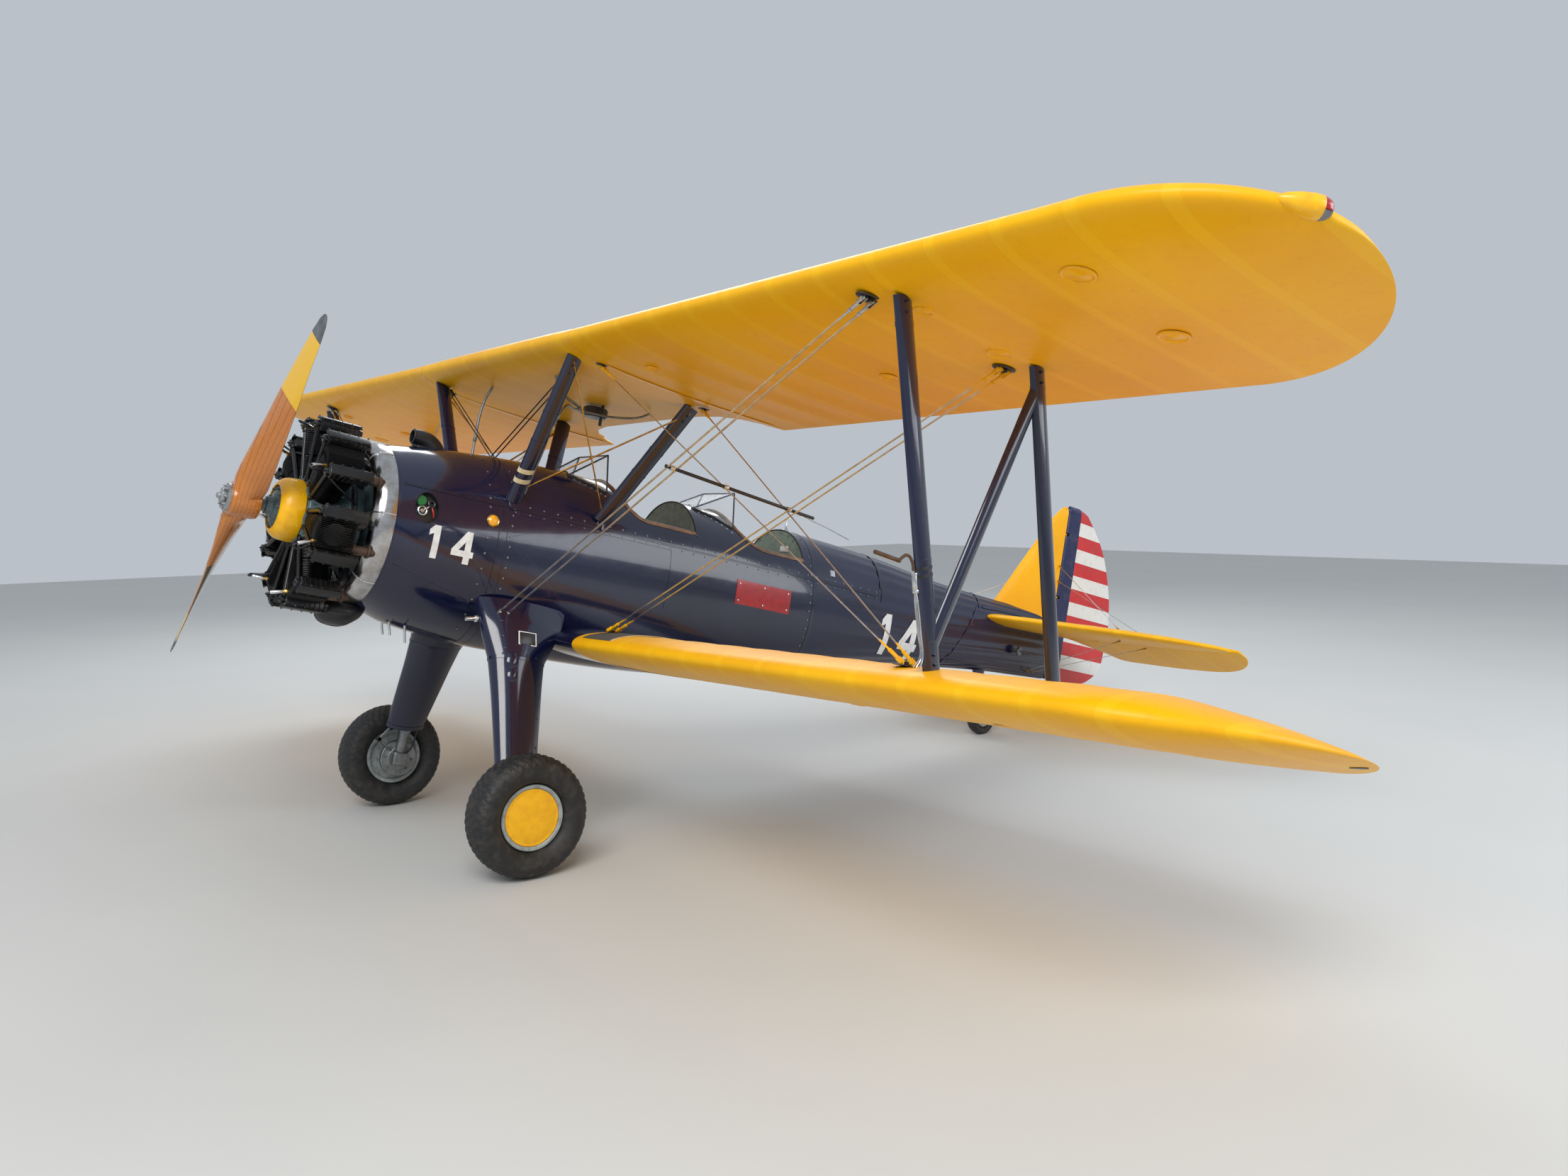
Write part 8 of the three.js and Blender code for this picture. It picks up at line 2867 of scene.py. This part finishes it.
# %% Fuel gauge
GAUGE_AT = under_upper(0.0, 0.52, 0.0)
gauge = turned([(0, 0), (0.070, 0), (0.078, -0.008), (0.078, -0.050), (0.066, -0.062), (0, -0.066)],
               GAUGE_AT + Vector((0, 0, 0.004)), (0, 0, 1), 48)
sight = bar(GAUGE_AT + Vector((0.16, -0.04, 0.0)), GAUGE_AT + Vector((0.16, -0.04, -0.13)), 0.010, 20, 0.002)
piece(joined(gauge, sight), "fuel_gauge", "black_metal", black_metal)
print("fuel gauge done")

# %% [markdown]
# On the port front strut, ahead of its section, sits the pressure head: a bent tube with a probe, its
# holder, clamps round the strut and thin lines down to the wing. Places are given as a share of the strut's
# length and a distance ahead of it.

# %% Pressure head
foot_front, top_front = on_lower(STRUT_X, 0.1, -0.004), under_upper(STRUT_X, 0.131, -0.004)

def before_strut(share, ahead, shift=0.0, lift=0.0):
    return foot_front.lerp(top_front, share) + Vector((shift, -ahead, lift))

head_tube = tube([before_strut(0.268, 0.058), before_strut(0.292, 0.062), before_strut(0.306, 0.085),
                  before_strut(0.295, 0.118),
                  before_strut(0.285, 0.135)], 0.0065, 3, smooth=True)
probe = bar(before_strut(0.285, 0.130), before_strut(0.292, 0.265), 0.0085, 20, 0.002)
piece(joined(head_tube, probe), "pressure_head", "bare_steel", burnt_pipe)
holder = [bar(before_strut(0.215, 0.058), before_strut(0.258, 0.058), 0.0115, 20, 0.002),
          bar(before_strut(0.208, 0.058), before_strut(0.216, 0.058), 0.014, 6, 0.001),
          bar(before_strut(0.256, 0.058), before_strut(0.262, 0.058), 0.014, 6, 0.001)]
clamps = [dark_band(foot_front, top_front, share, STRUT_CHORD, STRUT_THICK, 0.012)
          for share in (0.262, 0.282)]
lines = [tube([before_strut(0.212, 0.058, shift * 0.4), before_strut(0.18, 0.056, shift),
               before_strut(0.10, 0.053, shift),
               before_strut(0.03, 0.055, shift), before_strut(0.002, 0.085, shift * 2.2)], 0.0035, 3,
               smooth=True)
         for shift in (-0.008, 0.0, 0.008)]
piece(joined(*holder, *lines), "pressure_lines", "bare_steel", bare_steel)
piece(joined(*clamps), "pressure_clamps", "black_metal", black_metal)
print("pressure head done")

# %% [markdown]
# The aerial is a stiff bent wire in a small turned foot on the centre line of the deck.

# %% Aerial wire
aerial = tube([on_deck(0.0, 3.60, -0.005)[0], on_deck(0.0, 3.60, 0.06)[0], on_deck(0.0, 3.66, 0.13)[0],
               on_deck(0.0, 3.85, 0.125)[0],
               on_deck(0.0, 4.20, 0.075)[0]], 0.0035, 3, smooth=True)
spike = turned([(0, 0), (0.030, 0.0), (0.022, 0.010), (0.010, 0.022), (0.004, 0.060), (0.0, 0.062)],
               on_deck(0.0, 3.600, -0.002)[0], (0, 0, 1), 24)
piece(joined(aerial, spike), "aerial_wire", "bare_steel", bare_steel, 40)
print("pipes, gauge and pressure head done")

# %% [markdown]
# What the frame already shapes well keeps its solid and only gets a finish. The table names the finish for
# each kind of node, and every node gets one, also those that a piece has replaced and hidden. The table names
# the finish for
# each kind of node; a node that a piece has replaced is left as it is.

# %% Finishes for the solids that stay
NODE_FINISH = {
    "nose_cowl": navy_panel, "fuselage_front": navy_panel, "fuselage_rear": navy_fabric,
    "root_fairing": navy_panel, "gear_leg": navy_strut, "cabane_strut": navy_strut,
    "interplane_strut": navy_strut, "tail_wheel_bracket": navy_strut,
    "cockpit_floor": cockpit_green, "seat": cockpit_green, "instrument_panel": black_metal,
    "wing_centre_section": yellow_fabric, "upper_wing": yellow_fabric, "lower_wing": yellow_fabric,
    "aileron": yellow_fabric, "fin": tail_fabric, "tailplane": tail_fabric, "elevator": tail_fabric,
    "rudder": rudder_stripes, "flying_wire": bare_steel, "landing_wire": bare_steel,
    "axle": dull_alloy, "wheel": wheel_grey, "hub_cap": yellow_paint, "tyre": black_metal,
    "tail_wheel_hub": wheel_grey, "tail_wheel_tyre": black_metal, "tail_wheel_fork": dull_alloy,
    "engine": cylinder_black, "nose_dome": yellow_paint, "exhaust_ring": polished_ring,
    "air_scoop": black_metal, "vent_horn": black_metal, "propeller": brass, "propeller_hub": bright_steel,
    "windscreen": bright_steel,
}

def finish_for(node):
    kinds = [kind for kind in NODE_FINISH if node.startswith(kind)]
    return NODE_FINISH[max(kinds, key=len)]

for name, node in nodes.items():
    node.data.materials.clear()
    node.data.materials.append(finish_for(name))
print(len(nodes), "solids have a finish")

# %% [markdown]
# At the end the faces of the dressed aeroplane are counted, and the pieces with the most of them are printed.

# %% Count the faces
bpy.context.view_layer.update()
print("faces:", sum(total_faces.values()), "most:",
      sorted(total_faces.items(), key=lambda item: -item[1])[:6])
